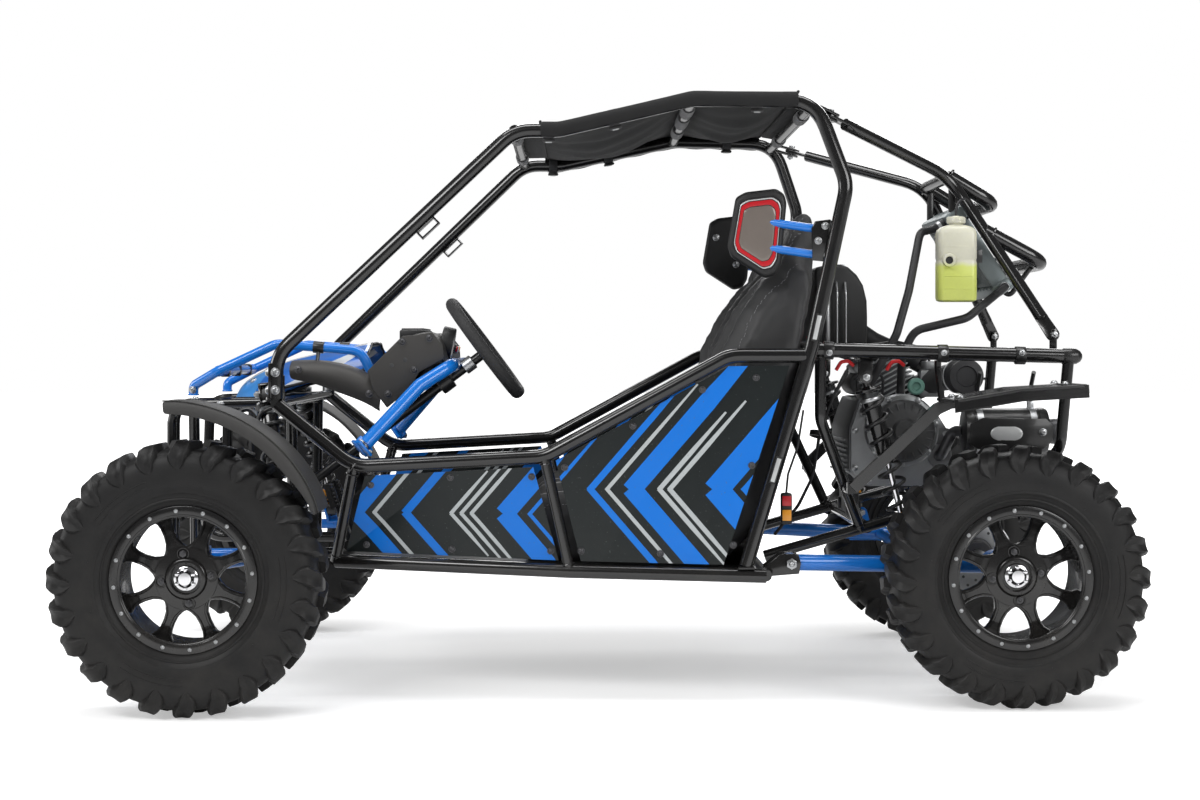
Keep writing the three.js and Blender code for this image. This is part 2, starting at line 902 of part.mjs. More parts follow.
function guardBracket(side) {
  const lowY = side * (railHalf - mainTube / 4);
  const highY = lowY - side * plateThickness;
  const halfHeight = guardRodSpacing / 2 + guardRod;
  const lowX = guardBracketX - guardRod;
  const highX = guardBracketX + mainTube;
  return box(lowX, highX, lowY, highY, guardBracketZ - halfHeight, guardBracketZ + halfHeight);
}

// A strut's flattened end: X along the strut, Y across its flat, Z up the flat.
function tongueFrame(from, towards) {
  const direction = towards.clone().sub(from).normalize();
  const across = at(0, 0, 1).cross(direction).normalize();
  const up = direction.clone().cross(across);
  return new THREE.Matrix4().makeBasis(direction, across, up).setPosition(from);
}

// The ear that a flattened end is bolted to lies beside it, on the side that hand gives.
function tongueEar(from, towards, hand) {
  const inner = hand * (tongueThickness / 2 + fitGap);
  const half = tongueWidth / 2;
  const ear = box(-earTail, half, inner, inner + hand * plateThickness, -half, half);
  return ear.applyMatrix4(tongueFrame(from, towards));
}

// The middle of the bend at the hoop's top, where its cross tube is welded
function hoopHead() {
  const corners = [
    at(roofPeakX, roofPeakHalf, roofPeakZ),
    at(hoopTopX, hoopTopHalf, hoopTopZ),
    at(hoopShoulderX, railHalf, hoopShoulderZ),
  ];
  const stations = bentRoute(corners, mainBend);
  return stations[1].clone().lerp(stations[stations.length - 2], 1 / 2).lerp(corners[1], 1 / 2);
}

function braceFront(side) {
  const head = hoopHead();
  return at(head.x + braceFrontLead, side * braceFrontHalf, head.z - braceFrontDrop);
}

function braceBend(side) {
  return at(braceBendX, side * braceBendHalf, braceBendZ);
}

function braceEnd(side) {
  return at(braceEndX, side * braceEndHalf, braceEndZ);
}

function rollCage() {
  const head = hoopHead();
  const pieces = [
    crossTube(screenTopX, screenHalf, screenTopZ),
    crossTube(roofPeakX, roofPeakHalf, roofPeakZ),
    crossTube(head.x, hoopTopHalf, head.z),
    crossTube(hoopWaistX, railHalf, hoopWaistZ),
  ];
  for (const [side] of sides) {
    pieces.push(cageSide(side), hoopPad(side), guardBracket(side));
    pieces.push(tongueEar(braceFront(side), braceBend(side), side));
  }
  return join(pieces);
}

// Rear frame
function rackZ(x) {
  return rackFrontZ + ((x - hoopWaistX) / (rackEndX - hoopWaistX)) * (rackRearZ - rackFrontZ);
}

function cradleZ(x) {
  const startX = rearCrossX + lightTube;
  return cradleFrontZ + ((x - startX) / (cradleRearX - startX)) * (cradleRearZ - cradleFrontZ);
}

function rackY(x) {
  return rackHalf + ((x - hoopWaistX) / (rackEndX - hoopWaistX)) * (rackRearHalf - rackHalf);
}

function rearFrame() {
  const startX = hoopWaistX + lightTube / 2 + fitGap;
  const pieces = [
    crossTube(boxCrossX, rackY(boxCrossX), rackZ(boxCrossX)),
    crossTube(shockCrossX, rackY(shockCrossX), rackZ(shockCrossX)),
    crossTube(rearCrossBarX, rackY(rearCrossBarX), rackZ(rearCrossBarX)),
    crossTube(frontMountX, cradleHalf, cradleZ(frontMountX)),
    crossTube(rearMountX, cradleHalf, cradleZ(rearMountX)),
    crossTube(cradleRearX, cradleHalf, cradleRearZ),
  ];
  for (const [side] of sides) {
    const kneeX = hoopWaistX + lightTube;
    const cradleStartX = rearCrossX + lightTube / 2 + fitGap;
    const legShare = 0.62;
    const knee = at(kneeX, side * rackY(kneeX), braceKneeZ);
    const foot = at(braceFootX, side * cradleHalf, cradleZ(braceFootX));
    const stubRoot = knee.clone().lerp(foot, legShare);
    const stubEnd = at(fenderArmFootX, side * (rearFenderInner - fitGap), fenderStubZ);
    const rackEnd = at(rackEndX, side * rackRearHalf, rackRearZ);
    const capReach = at(ballCapDiameter / 2, 0, 0);
    const capLow = rackEnd.clone().sub(capReach);
    const capHigh = rackEnd.clone().add(capReach);
    pieces.push(
      tube([at(startX, side * rackHalf, rackZ(startX)), rackEnd], rackTube, 0),
      tube([capLow, capHigh], ballCapDiameter),
      lightTubeAlong([
        at(rearCrossBarX, side * rackRearHalf, rackZ(rearCrossBarX)),
        at(tailFootX, side * rackRearHalf, tailFootZ),
        at(cradleRearX, side * cradleHalf, cradleRearZ),
        at(cradleStartX, side * cradleHalf, cradleFrontZ),
      ]),
      lightTubeAlong([at(kneeX, side * rackY(kneeX), rackZ(kneeX)), knee, foot]),
      lightTubeAlong([stubRoot, stubEnd.clone().add(at(0, -side * lightTube, 0)), stubEnd]),
    );
    const frame = shockFrame(rearShockEyes(side), rearBolt);
    pieces.push(...shockEars(frame, 0, -earReach - rackTube, eyeDiameter / 2));
    pieces.push(tongueEar(braceEnd(side), braceBend(side), side));
  }
  return join(pieces);
}

// Rear brace: two struts with flattened ends, and two loops that guard the radiator
function tongue(from, towards) {
  const half = tongueThickness / 2;
  const flat = box(-tongueWidth / 2, tongueLength, -half, half, -tongueWidth / 2, tongueWidth / 2);
  return flat.applyMatrix4(tongueFrame(from, towards));
}

function rearBrace() {
  const pieces = [];
  const bends = {};
  for (const [side] of sides) {
    const [front, bend, end] = [braceFront(side), braceBend(side), braceEnd(side)];
    const tubeStart = front.clone().lerp(bend, tongueLength / 2 / front.distanceTo(bend));
    const tubeEnd = end.clone().lerp(bend, tongueLength / 2 / end.distanceTo(bend));
    bends[side] = [bend, bend.clone().lerp(end, lowerLoopShare)];
    pieces.push(tube([tubeStart, bend, tubeEnd], braceTube, mainBend, lightSides));
    pieces.push(tongue(front, bend), tongue(end, bend));
  }
  const corners = [
    [upperLoopX, upperLoopZ],
    [lowerLoopX, lowerLoopZ],
  ];
  corners.forEach(([x, z], i) => {
    const start = bends[left][i];
    const finish = bends[right][i];
    pieces.push(tube([start, at(x, start.y, z), at(x, finish.y, z), finish], loopTube, lightBend, lightSides));
  });
  return join(pieces);
}

// Blue brush bars ahead of the nose
const brushFootX = -928;
const brushRiseX = -868;
const brushRiseZ = 702;
const brushTopX = -735;
const brushTopZ = 764;
const brushEndX = -545;
const brushEndZ = 748;
const brushHalf = 252;

function brushGuard() {
  const footZ = brushPadZ + fitGap;
  const bars = sides.map(([side]) =>
    tube(
      [
        at(brushFootX, side * noseHalf, footZ),
        at(brushFootX, side * noseHalf, footZ + blueTube),
        at(brushRiseX, side * brushHalf, brushRiseZ),
        at(brushTopX, side * brushHalf, brushTopZ),
        at(brushEndX, side * brushHalf, brushEndZ),
        at(brushEndX + blueTube, side * brushHalf, noseMidZ - blueTube),
      ],
      blueTube,
      lightBend,
      lightSides,
    ),
  );
  return join([...bars, crossTube(brushRiseX, brushHalf, brushRiseZ, blueTube)]);
}

// Blue hoop that carries the dash and the steering column
const dashFootX = -516;
const dashFootZ = 546;
const dashFootInset = 24;
const dashFootHalf = railFrontHalf - dashFootInset;
const dashKneeX = -404;
const dashKneeZ = 672;
const dashKneeInset = 118;
const dashKneeHalf = railHalf - dashKneeInset;
const dashBarX = -336;
const dashBarZ = 716;
const dashBarInset = 154;
const dashBarHalf = railHalf - dashBarInset;

function dashHoop() {
  const points = (side) => [
    at(dashFootX, side * dashFootHalf, dashFootZ),
    at(dashKneeX, side * dashKneeHalf, dashKneeZ),
    at(dashBarX, side * dashBarHalf, dashBarZ),
  ];
  const hoop = tube([...points(left), ...points(right).reverse()], mainTube, lightBend, lightSides);
  const lowX = dashFootX + mainTube / 2;
  const highX = lowX + mainTube;
  const footZ = onRail(sideRail(right), highX).z + sideRailFlat + 2 * fitGap;
  const feet = sides.flatMap(([side]) => {
    const innerY = side * (dashFootHalf - plateThickness);
    return [
      box(lowX - mainTube, highX, innerY, side * dashFootHalf, footZ, dashFootZ),
      box(lowX, highX, innerY, side * railFrontHalf, footZ, footZ + plateThickness),
    ];
  });
  const direction = columnDirection();
  const axis = at(wheelCentreX, left * wheelCentreHalf, wheelCentreZ);
  const collarAt = axis.clone().addScaledVector(direction, (dashBarX - wheelCentreX) / direction.x);
  const collar = new THREE.CylinderGeometry(columnBlock / 2, columnBlock / 2, columnBlock, fineSides);
  collar.applyQuaternion(new THREE.Quaternion().setFromUnitVectors(at(0, 1, 0), direction));
  const bore = new THREE.CylinderGeometry(
    columnDiameter / 2 + turningGap,
    columnDiameter / 2 + turningGap,
    columnBlock + 2 * cutOverrun + mainTube,
    fineSides,
  );
  bore.applyQuaternion(new THREE.Quaternion().setFromUnitVectors(at(0, 1, 0), direction));
  const whole = join([hoop, ...feet, moved(collar, collarAt.x, collarAt.y, collarAt.z)]);
  return cut(whole, [moved(bore, collarAt.x, collarAt.y, collarAt.z)]);
}

// Steering
function columnDirection() {
  return at(columnRun, 0, columnRise).normalize();
}

const columnLowerX = bulkheadX + lightTube;

function columnFoot() {
  const direction = columnDirection();
  const axis = at(wheelCentreX, left * wheelCentreHalf, wheelCentreZ);
  return axis.addScaledVector(direction, (columnLowerX - wheelCentreX) / direction.x);
}

// The block on the bulkhead that the column's foot turns against
function columnSeat() {
  const geometry = new THREE.BoxGeometry(columnBlock, columnBlock, columnBlock);
  const direction = columnDirection();
  geometry.rotateY(-Math.atan2(direction.z, direction.x));
  const foot = columnFoot().addScaledVector(direction, -columnBlock / 2 - fitGap);
  return moved(geometry, foot.x, foot.y, foot.z);
}

function steeringWheel() {
  const direction = columnDirection();
  const turn = new THREE.Quaternion().setFromUnitVectors(at(0, 0, 1), direction);
  const ringRadius = (steeringWheelDiameter - gripDiameter) / 2;
  const ring = new THREE.TorusGeometry(ringRadius, gripDiameter / 2, wireSides, wheelSegments);
  const hub = new THREE.CylinderGeometry(columnBlock, columnBlock / 2, columnBlock / 2, fineSides);
  hub.rotateX(Math.PI / 2);
  const spokes = [];
  const spokeAngles = [0, Math.PI, -Math.PI / 2];
  for (const angle of spokeAngles) {
    const spoke = new THREE.BoxGeometry(ringRadius, columnBlock / 2 + plateThickness, plateThickness);
    spoke.translate(ringRadius / 2, 0, 0);
    spokes.push(spoke.rotateZ(angle + Math.PI / 2));
  }
  const head = join([ring, hub, ...spokes]).applyQuaternion(turn);
  const centre = at(wheelCentreX, left * wheelCentreHalf, wheelCentreZ);
  const column = tube([centre, columnFoot()], columnDiameter, 0, fineSides);
  return join([moved(head, centre.x, centre.y, centre.z), column]);
}

const tieRodX = frontHubX + steeringArmLength;
const innerJointHalf = armPivotHalf;

function steeringRack() {
  const half = innerJointHalf - rodEndDiameter / 2 - rackEndGap;
  return crossTube(tieRodX, half, steeringZ, rackDiameter, tubeSides);
}

// The tie rod's inner joint stands over the line of the arm's bushes.
// Its outer end lies over the steering arm.
function tieRod(side) {
  const inner = at(tieRodX, side * innerJointHalf, steeringZ);
  const outer = at(tieRodX, side * kingpinHalf, steeringZ);
  const reach = rodEndDiameter / 2;
  const lowY = side * (innerJointHalf - reach);
  const highY = side * (innerJointHalf + reach);
  return join([
    tube([inner, outer], tieRodDiameter, 0, lightSides),
    box(tieRodX - reach, tieRodX + reach, lowY, highY, steeringZ - reach, steeringZ + reach),
  ]);
}

function frontArm(side) {
  const legEnd = kingpinHalf - clevisWidth;
  const half = knuckleHeight / 2 + fitGap;
  const bush = tube(
    [at(armBushFrontX, side * armPivotHalf, armPivotZ), at(armBushRearX, side * armPivotHalf, armPivotZ)],
    armBushDiameter,
  );
  const legs = [armBushFrontX + armBushDiameter, armBushRearX - armBushDiameter].map((x) =>
    lightTubeAlong([at(x, side * armPivotHalf, armPivotZ), at(frontHubX, side * legEnd, frontHubZ)]),
  );
  const lowX = frontHubX - clevisWidth / 2;
  const highX = frontHubX + clevisWidth / 2;
  const reachY = side * (kingpinHalf + clevisReach);
  const backY = side * legEnd;
  const reachZ = half + clevisPlate;
  const frontY = backY + side * clevisPlate;
  const back = box(lowX, highX, backY, frontY, frontHubZ - reachZ, frontHubZ + reachZ);
  const plates = [-1, 1].map((hand) => {
    const inner = frontHubZ + hand * half;
    return box(lowX, highX, backY, reachY, inner, inner + hand * clevisPlate);
  });
  const frame = shockFrame(frontShockEyes(side), frontBolt);
  const length = frontShockEyes(side)[0].distanceTo(frontShockEyes(side)[1]);
  const ears = shockEars(frame, length, -eyeDiameter / 2, earReach + plateThickness, swingGap);
  const shelfShare = 0.7;
  const rearLegFoot = at(armBushRearX - armBushDiameter, side * armPivotHalf, armPivotZ);
  const shelfRoot = rearLegFoot.lerp(at(frontHubX, side * legEnd, frontHubZ), shelfShare);
  const seatAt = at(0, length + earReach + plateThickness / 2, 0).applyMatrix4(frame);
  const shelfZ = steeringZ - tieRodDiameter / 2 - lightTube / 2 - turningGap;
  const shelfEnd = at(seatAt.x, seatAt.y, shelfZ);
  const shelfKnee = at(tieRodX, shelfEnd.y, shelfZ);
  const shelf = tube([shelfRoot, shelfKnee, shelfEnd, seatAt], lightTube, lightTube / 2, lightSides);
  return join([bush, ...legs, back, ...plates, ...ears, shelf]);
}

function knuckle(side) {
  const body = tube(
    [
      at(frontHubX, side * kingpinHalf, frontHubZ - knuckleHeight / 2),
      at(frontHubX, side * kingpinHalf, frontHubZ + knuckleHeight / 2),
    ],
    kingpinDiameter,
    0,
    fineSides,
  );
  const discFace = frontTrack / 2 + wheelDiscOffset - hubWall - fitGap;
  const spindleRoot = at(frontHubX, side * kingpinHalf, frontHubZ);
  const spindleEnd = at(frontHubX, side * discFace, frontHubZ);
  const spindle = tube([spindleRoot, spindleEnd], spindleDiameter, 0, fineSides);
  const rodFlat = (tieRodDiameter / 2) * Math.cos(Math.PI / lightSides);
  const plateTopZ = steeringZ - rodFlat - fitGap;
  const steeringArm = box(
    frontHubX,
    tieRodX + rodEndDiameter / 2,
    side * (kingpinHalf - steeringArmWidth / 2),
    side * (kingpinHalf + steeringArmWidth / 2),
    plateTopZ - plateThickness,
    plateTopZ,
  );
  const fenderFoot = frontFenderPoint(fenderStayAngle, frontFenderInner + fenderStayDiameter, side);
  const stay = tube(
    [
      at(frontHubX, side * kingpinHalf, frontHubZ),
      at(fenderStayX, side * fenderStayHalf, frontHubZ + fenderStayDiameter),
      at(fenderStayX, side * fenderStayHalf, fenderFoot.z - 2 * fenderStayDiameter),
      fenderFoot.add(at(0, 0, -fenderStayDiameter / 2 - sheetThickness + fitGap)),
    ],
    fenderStayDiameter,
    lightBend,
    lightSides,
  );
  return join([body, spindle, steeringArm, stay]);
}

// Front fender: an arc about the wheel that turns with the knuckle
const fenderStartAngle = 1.69;
const fenderEndAngle = 0.46;
const fenderStayAngle = 1.66;

function frontFenderPoint(angle, half, side) {
  const share = (fenderStartAngle - angle) / (fenderStartAngle - fenderEndAngle);
  const radius = frontFenderLead + share * (frontFenderTrail - frontFenderLead);
  return at(frontHubX + radius * Math.cos(angle), side * half, frontHubZ + radius * Math.sin(angle));
}

function frontFender(side) {
  const steps = 8;
  const innerFoldShare = 0.08;
  const outerFoldShare = 0.9;
  const rows = [];
  for (let i = 0; i <= steps; i++) {
    const angle = fenderStartAngle + (i / steps) * (fenderEndAngle - fenderStartAngle);
    const inner = frontFenderPoint(angle, frontFenderInner, side);
    const outer = frontFenderPoint(angle, frontFenderOuter, side);
    rows.push([
      inner.clone().add(at(0, 0, -rimFlange)),
      inner.clone().lerp(outer, innerFoldShare),
      inner.clone().lerp(outer, outerFoldShare),
      outer.clone().add(at(0, 0, -2 * rimFlange)),
    ]);
  }
  return sheet(rows, at(0, 0, -sheetThickness));
}

// Rear fender: a square arm from the frame, a flat plate over the tyre and a turned-down lip
function rearFender(side) {
  const stations = [rearFenderFrontX, (rearFenderFrontX + rearFenderRearX) / 2, rearFenderRearX];
  const rise = rearFenderRearZ - rearFenderFrontZ;
  const crownShare = 0.75;
  const heights = [rearFenderFrontZ, rearFenderFrontZ + crownShare * rise, rearFenderRearZ];
  const rows = stations.map((x, i) => [
    at(x, side * rearFenderInner, heights[i]),
    at(x, side * rearFenderOuter, heights[i]),
    at(x, side * (rearFenderOuter + plateThickness), heights[i] - rearFenderLip),
  ]);
  const plate = sheet(rows, at(0, 0, -sheetThickness));
  const armHalf = rearFenderInner + fenderArm / 2 + plateThickness;
  const foot = at(fenderArmFootX, side * armHalf, fenderStubZ);
  const head = at(rearFenderFrontX, side * (armHalf + fenderArm), rearFenderFrontZ - fenderArm / 2);
  const endX = rearFenderRearX - fenderArm;
  const end = at(endX, side * (armHalf + fenderArm), rearFenderRearZ - fenderArm / 2);
  const arm = tube([foot, head, end], fenderArm * Math.SQRT2, lightBend, 4);
  const strutTopZ = rackZ(rearFenderFrontX) - rackTube / 2 - fitGap;
  const strutTop = at(rearFenderFrontX, side * rackY(rearFenderFrontX), strutTopZ);
  const pad = box(
    fenderArmFootX - fenderArm / 2,
    fenderArmFootX + fenderArm / 2,
    side * rearFenderInner,
    side * armHalf,
    fenderStubZ - fenderArm / 2,
    fenderStubZ + fenderArm / 2,
  );
  const strutKnee = strutTop.clone().add(at(0, 0, -tieRodDiameter));
  const strut = tube([strutTop, strutKnee, head], tieRodDiameter, 0, lightSides);
  return join([plate, arm, strut, pad]);
}

// Wheels, built about the origin with the axle along Y and the outer side to +Y
function tyre(diameter, width, rimWidth) {
  const radius = diameter / 2;
  const bore = (rimDiameter / 2 - beadSeatDrop + fitGap) / Math.cos(standAngle);
  const bead = rimWidth / 2 - rimFlange - beadInset;
  const bellyShare = 0.7;
  const shoulderShare = 0.93;
  const crownShare = 0.64;
  const profile = (low, high) => {
    const half = (state, hand) => [
      [radius * bellyShare, hand * (width / 2)],
      [radius * shoulderShare - state * lugDepth, hand * (width / 2 - state * (lugDepth / 2))],
      [radius - state * lugDepth, (hand * crownShare * width) / 2],
    ];
    return [[bore, -bead], ...half(low, -1), [radius, 0], ...half(high, 1).reverse(), [bore, bead]];
  };
  const steps = [
    [0.25, 0, 1],
    [0.75, 1, 0],
  ];
  const rings = [];
  for (let lug = 0; lug < lugCount; lug++) {
    for (const [share, low, high] of steps) {
      const angle = ((lug + share) * 2 * Math.PI) / lugCount - Math.PI / 2;
      rings.push(profile(low, high).map(([r, y]) => at(r * Math.cos(angle), y, r * Math.sin(angle))));
    }
  }
  const count = rings[0].length;
  const triangles = [];
  rings.forEach((ring, i) => {
    const next = ((i + 1) % rings.length) * count;
    for (let j = 0; j < count; j++) {
      const k = (j + 1) % count;
      triangles.push([i * count + j, i * count + k, next + j], [i * count + k, next + k, next + j]);
    }
  });
  return closedSurface(rings.flat(), triangles);
}

function rim(width, shaftDiameter) {
  const outer = rimDiameter / 2;
  const seat = outer - beadSeatDrop;
  const inner = seat - rimWall;
  const half = width / 2;
  const face = wheelDiscOffset;
  const pocket = shaftDiameter / 2 + turningGap;
  const back = face - hubBarrelDepth;
  const profile = [
    [0, face - hubWall],
    [pocket, face - hubWall],
    [pocket, back],
    [hubBarrelDiameter / 2, back],
    [hubBarrelDiameter / 2, face - wheelDiscThickness],
    [inner, face - wheelDiscThickness],
    [inner, -half],
    [outer, -half],
    [outer, rimFlange - half],
    [seat, rimFlange - half],
    [seat, half - rimFlange],
    [outer, half - rimFlange],
    [outer, half],
    [inner, half],
    [inner, face],
    [hubCapDiameter / 2, face],
    [hubCapDiameter / 2, face + hubBossHeight],
    [0, face + hubBossHeight],
  ].map(([r, y]) => new THREE.Vector2(r, y));
  const body = new THREE.LatheGeometry(profile, wheelSegments);
  const windows = [];
  for (let i = 0; i < windowCount; i++) {
    const outline = [
      [windowInnerRadius, -windowInnerWidth / 2],
      [windowOuterRadius, -windowOuterWidth / 2],
      [windowOuterRadius, windowOuterWidth / 2],
      [windowInnerRadius, windowInnerWidth / 2],
    ];
    const low = face - wheelDiscThickness - cutOverrun;
    const angle = ((i + 0.5) * 2 * Math.PI) / windowCount;
    windows.push(platesAcross(outline, low, face + cutOverrun).rotateY(angle));
  }
  return cut(body, windows);
}

function wheels() {
  const kinds = [
    ["front", frontHubX, frontTrack, frontHubZ, frontTyreDiameter, frontTyreWidth, frontRimWidth, spindleDiameter],
    ["rear", rearHubX, rearTrack, rearHubZ, rearTyreDiameter, rearTyreWidth, rearRimWidth, axleDiameter],
  ];
  for (const [end, x, track, z, diameter, width, rimWidth, shaft] of kinds) {
    for (const [side, hand] of sides) {
      const group = new THREE.Group();
      group.position.set(x, (side * track) / 2, z);
      group.rotation.z = side === left ? Math.PI : 0;
      kart.add(group);
      rubber(end + "_" + hand + "_tyre", tyre(diameter, width, rimWidth), group);
      gloss(end + "_" + hand + "_rim", rim(rimWidth, shaft), group);
    }
  }
}

// Shock absorbers, each built along Y from its upper eye
function shockBody(length) {
  const tubeEnd = length * bodyShare;
  const profile = [
    [0, eyeDiameter / 4],
    [eyeWidth * neckShare, eyeDiameter / 4],
    [eyeWidth * neckShare, eyeInset - seatFlangeThickness],
    [springDiameter / 2, eyeInset - seatFlangeThickness],
    [springDiameter / 2, eyeInset],
    [shockBodyDiameter / 2, eyeInset],
    [shockBodyDiameter / 2, tubeEnd],
    [shockRodDiameter / 2 + turningGap, tubeEnd],
    [shockRodDiameter / 2 + turningGap, boreTop],
    [0, boreTop],
  ].map(([r, y]) => new THREE.Vector2(r, y));
  return join([new THREE.LatheGeometry(profile, shockSides), eye(0)]);
}

function eye(y) {
  const geometry = new THREE.CylinderGeometry(eyeDiameter / 2, eyeDiameter / 2, eyeWidth, tubeSides);
  return moved(geometry.rotateZ(Math.PI / 2), 0, y, 0);
}

function shockRod(length) {
  const seat = length - eyeInset;
  const profile = [
    [0, rodTop],
    [shockRodDiameter / 2, rodTop],
    [shockRodDiameter / 2, seat],
    [springDiameter / 2, seat],
    [springDiameter / 2, seat + seatFlangeThickness],
    [eyeWidth * neckShare, seat + seatFlangeThickness],
    [eyeWidth * neckShare, length - eyeDiameter / 4],
    [0, length - eyeDiameter / 4],
  ].map(([r, y]) => new THREE.Vector2(r, y));
  return join([new THREE.LatheGeometry(profile, shockSides), eye(length)]);
}

// One unbroken wire, with a straight end square to each seat
function spring(length) {
  const radius = (springDiameter - springWire) / 2;
  const low = eyeInset + fitGap;
  const high = length - eyeInset - fitGap;
  const coilLow = low + springWire;
  const coilHigh = high - springWire;
  const path = [at(radius, low, 0)];
  const count = springCurls * curlSteps;
  for (let i = 0; i <= count; i++) {
    const angle = (i * 2 * Math.PI) / curlSteps;
    const y = coilLow + (i / count) * (coilHigh - coilLow);
    path.push(at(radius * Math.cos(angle), y, radius * Math.sin(angle)));
  }
  path.push(at(radius, high, 0));
  const rings = path.map((point, i) => {
    const before = path[Math.max(i - 1, 0)];
    const after = path[Math.min(i + 1, path.length - 1)];
    const tangent = after.clone().sub(before).normalize();
    const outward = at(point.x, 0, point.z).normalize();
    outward.addScaledVector(tangent, -outward.dot(tangent)).normalize();
    const beside = tangent.clone().cross(outward);
    return polygon(springWire / 2, wireSides)
      .getPoints()
      .slice(0, wireSides)
      .map((corner) => point.clone().addScaledVector(outward, corner.x).addScaledVector(beside, corner.y));
  });
  springGaps.push(leastGap(path.slice(1, -1)));
  return loft(rings);
}

const springGaps = [];

function leastGap(path) {
  let least = Infinity;
  path.forEach((point, i) => {
    for (let j = i + curlSteps / 2; j < path.length; j++) {
      least = Math.min(least, point.distanceTo(path[j]) - springWire);
    }
  });
  return least;
}

function shocks() {
  const kinds = [
    ["front", frontShockEyes, frontBolt],
    ["rear", rearShockEyes, rearBolt],
  ];
  for (const [end, eyes, bolt] of kinds) {
    for (const [side, hand] of sides) {
      const ends = eyes(side);
      const length = ends[0].distanceTo(ends[1]);
      const group = new THREE.Group();
      shockFrame(ends, bolt).decompose(group.position, group.quaternion, group.scale);
      kart.add(group);
      const name = end + "_" + hand + "_shock";
      gloss(name + "_body", shockBody(length), group);
      steel(name + "_rod", shockRod(length), group);
      gloss(end + "_" + hand + "_spring", spring(length), group);
    }
  }
}

// Swing arm with its bushes, two trailing tubes and the axle carriers
function swingArm() {
  const crossShare = (swingCrossX - swingPivotX) / (rearHubX - swingPivotX);
  const crossHalf = swingPivotHalf + crossShare * (carrierHalf - swingPivotHalf);
  const crossZ = swingPivotZ + crossShare * (rearHubZ - swingPivotZ);
  const pieces = [crossTube(swingCrossX, crossHalf, crossZ, lightTube)];
  for (const [side] of sides) {
    const y = side * swingPivotHalf;
    const half = swingBushWidth / 2;
    const carrierLow = side * carrierHalf - carrierWidth / 2;
    pieces.push(
      discAcross(swingPivotX, y - half, y + half, swingPivotZ, swingBushDiameter),
      tube([at(swingPivotX, y, swingPivotZ), at(rearHubX, side * carrierHalf, rearHubZ)], trailingTube, 0, lightSides),
      discAcross(rearHubX, carrierLow, carrierLow + carrierWidth, rearHubZ, carrierDiameter),
    );
    const frame = shockFrame(rearShockEyes(side), rearBolt);
    const [top, foot] = rearShockEyes(side);
    const length = top.distanceTo(foot);
    pieces.push(...shockEars(frame, length, -eyeDiameter / 2, earReach + mainTube, swingGap));
  }
  const whole = join(pieces);
  const bore = axleDiameter + 2 * turningGap;
  return cut(whole, [discAcross(rearHubX, -rearTrack / 2, rearTrack / 2, rearHubZ, bore)]);
}

function rearAxle() {
  const end = rearTrack / 2 + wheelDiscOffset - hubWall - fitGap;
  const hatSide = left * discHalf;
  return join([
    crossTubeFine(rearHubX, end, rearHubZ, axleDiameter),
    discAcross(rearHubX, sprocketHalf, sprocketHalf + sprocketThickness, rearHubZ, sprocketDiameter, wheelSegments),
    discAcross(rearHubX, sprocketHalf - discHatWidth, sprocketHalf, rearHubZ, discHatDiameter),
    discAcross(rearHubX, hatSide, hatSide - discThickness, rearHubZ, discDiameter, wheelSegments),
    discAcross(rearHubX, hatSide, hatSide + discHatWidth, rearHubZ, discHatDiameter),
  ]);
}

function crossTubeFine(x, half, z, diameter) {
  return tube([at(x, -half, z), at(x, half, z)], diameter, 0, fineSides);
}

// Side panels hang between the rails, with a gap to each tube.
function onRail(rail, x) {
  for (let i = 0; i < rail.length - 1; i++) {
    const [a, b] = [rail[i], rail[i + 1]];
    if (x <= b.x || i === rail.length - 2) return a.clone().lerp(b, (x - a.x) / (b.x - a.x));
  }
  return rail[0].clone();
}

const panelDrop = mainTube / 2 + panelGap;

function sidePanel(side, topStart, topEnd, footStart, footEnd, shares) {
  const drop = panelDrop;
  const rows = shares.map((share) => {
    const top = onRail(sideRail(side), topStart + share * (topEnd - topStart));
    const foot = onRail(bottomRail(side), footStart + share * (footEnd - footStart));
    return [at(top.x, top.y, top.z - drop), at(foot.x, foot.y, foot.z + drop)];
  });
  return sheet(rows, at(0, -side * sheetThickness, 0));
}

const panelEndInset = 24;

function sidePanels() {
  const midTopX = railDipX;
  const frontShares = [0, 0.5, 1];
  const dipShare = 0.14;
  const crestShare = 0.74;
  for (const [side, hand] of sides) {
    const front = sidePanel(
      side,
      railFrontX + panelEndInset,
      midTopX - panelEndInset,
      footwellX + panelEndInset,
      midPostFootX - panelEndInset,
      frontShares,
    );
    const rear = sidePanel(
      side,
      midTopX + panelEndInset,
      hoopWaistX - 2 * panelEndInset,
      midPostFootX + panelEndInset,
      hoopFootX - 2 * panelEndInset,
      [0, dipShare, crestShare, 1],
    );
    gloss(hand + "_front_panel", front);
    gloss(hand + "_rear_panel", rear);
  }
}

// Floor sheet that turns up behind the seats as the firewall
const floorLift = lightFlat + fitGap + sheetThickness;

function floorPan() {
  const lift = floorLift;
  const inset = mainTube / 2 + panelGap;
  const stations = [footwellX, midPostFootX, hoopFootX - mainTube / 2];
  const rows = stations.map((x) => {
    const rail = onRail(bottomRail(right), x);
    return [at(x, inset - rail.y, rail.z + lift), at(x, rail.y - inset, rail.z + lift)];
  });
  const half = railHalf - inset;
  const foot = hoopFootX + lift * hoopLean;
  const wallRise = firewallTopZ - hoopFootZ - lift;
  const topX = foot + wallRise * hoopLean;
  const wallFoot = floorZ(hoopFootX) + lift;
  const profile = [
    [foot - sheetThickness, wallFoot - sheetThickness],
    [foot + sheetThickness, wallFoot - sheetThickness],
    [topX + sheetThickness, firewallTopZ],
    [topX - sheetThickness, firewallTopZ],
  ];
  rows.push([at(foot, -half, wallFoot), at(foot, half, wallFoot)]);
  return join([sheet(rows, at(0, 0, -sheetThickness)), platesAcross(profile, -half, half)]);
}

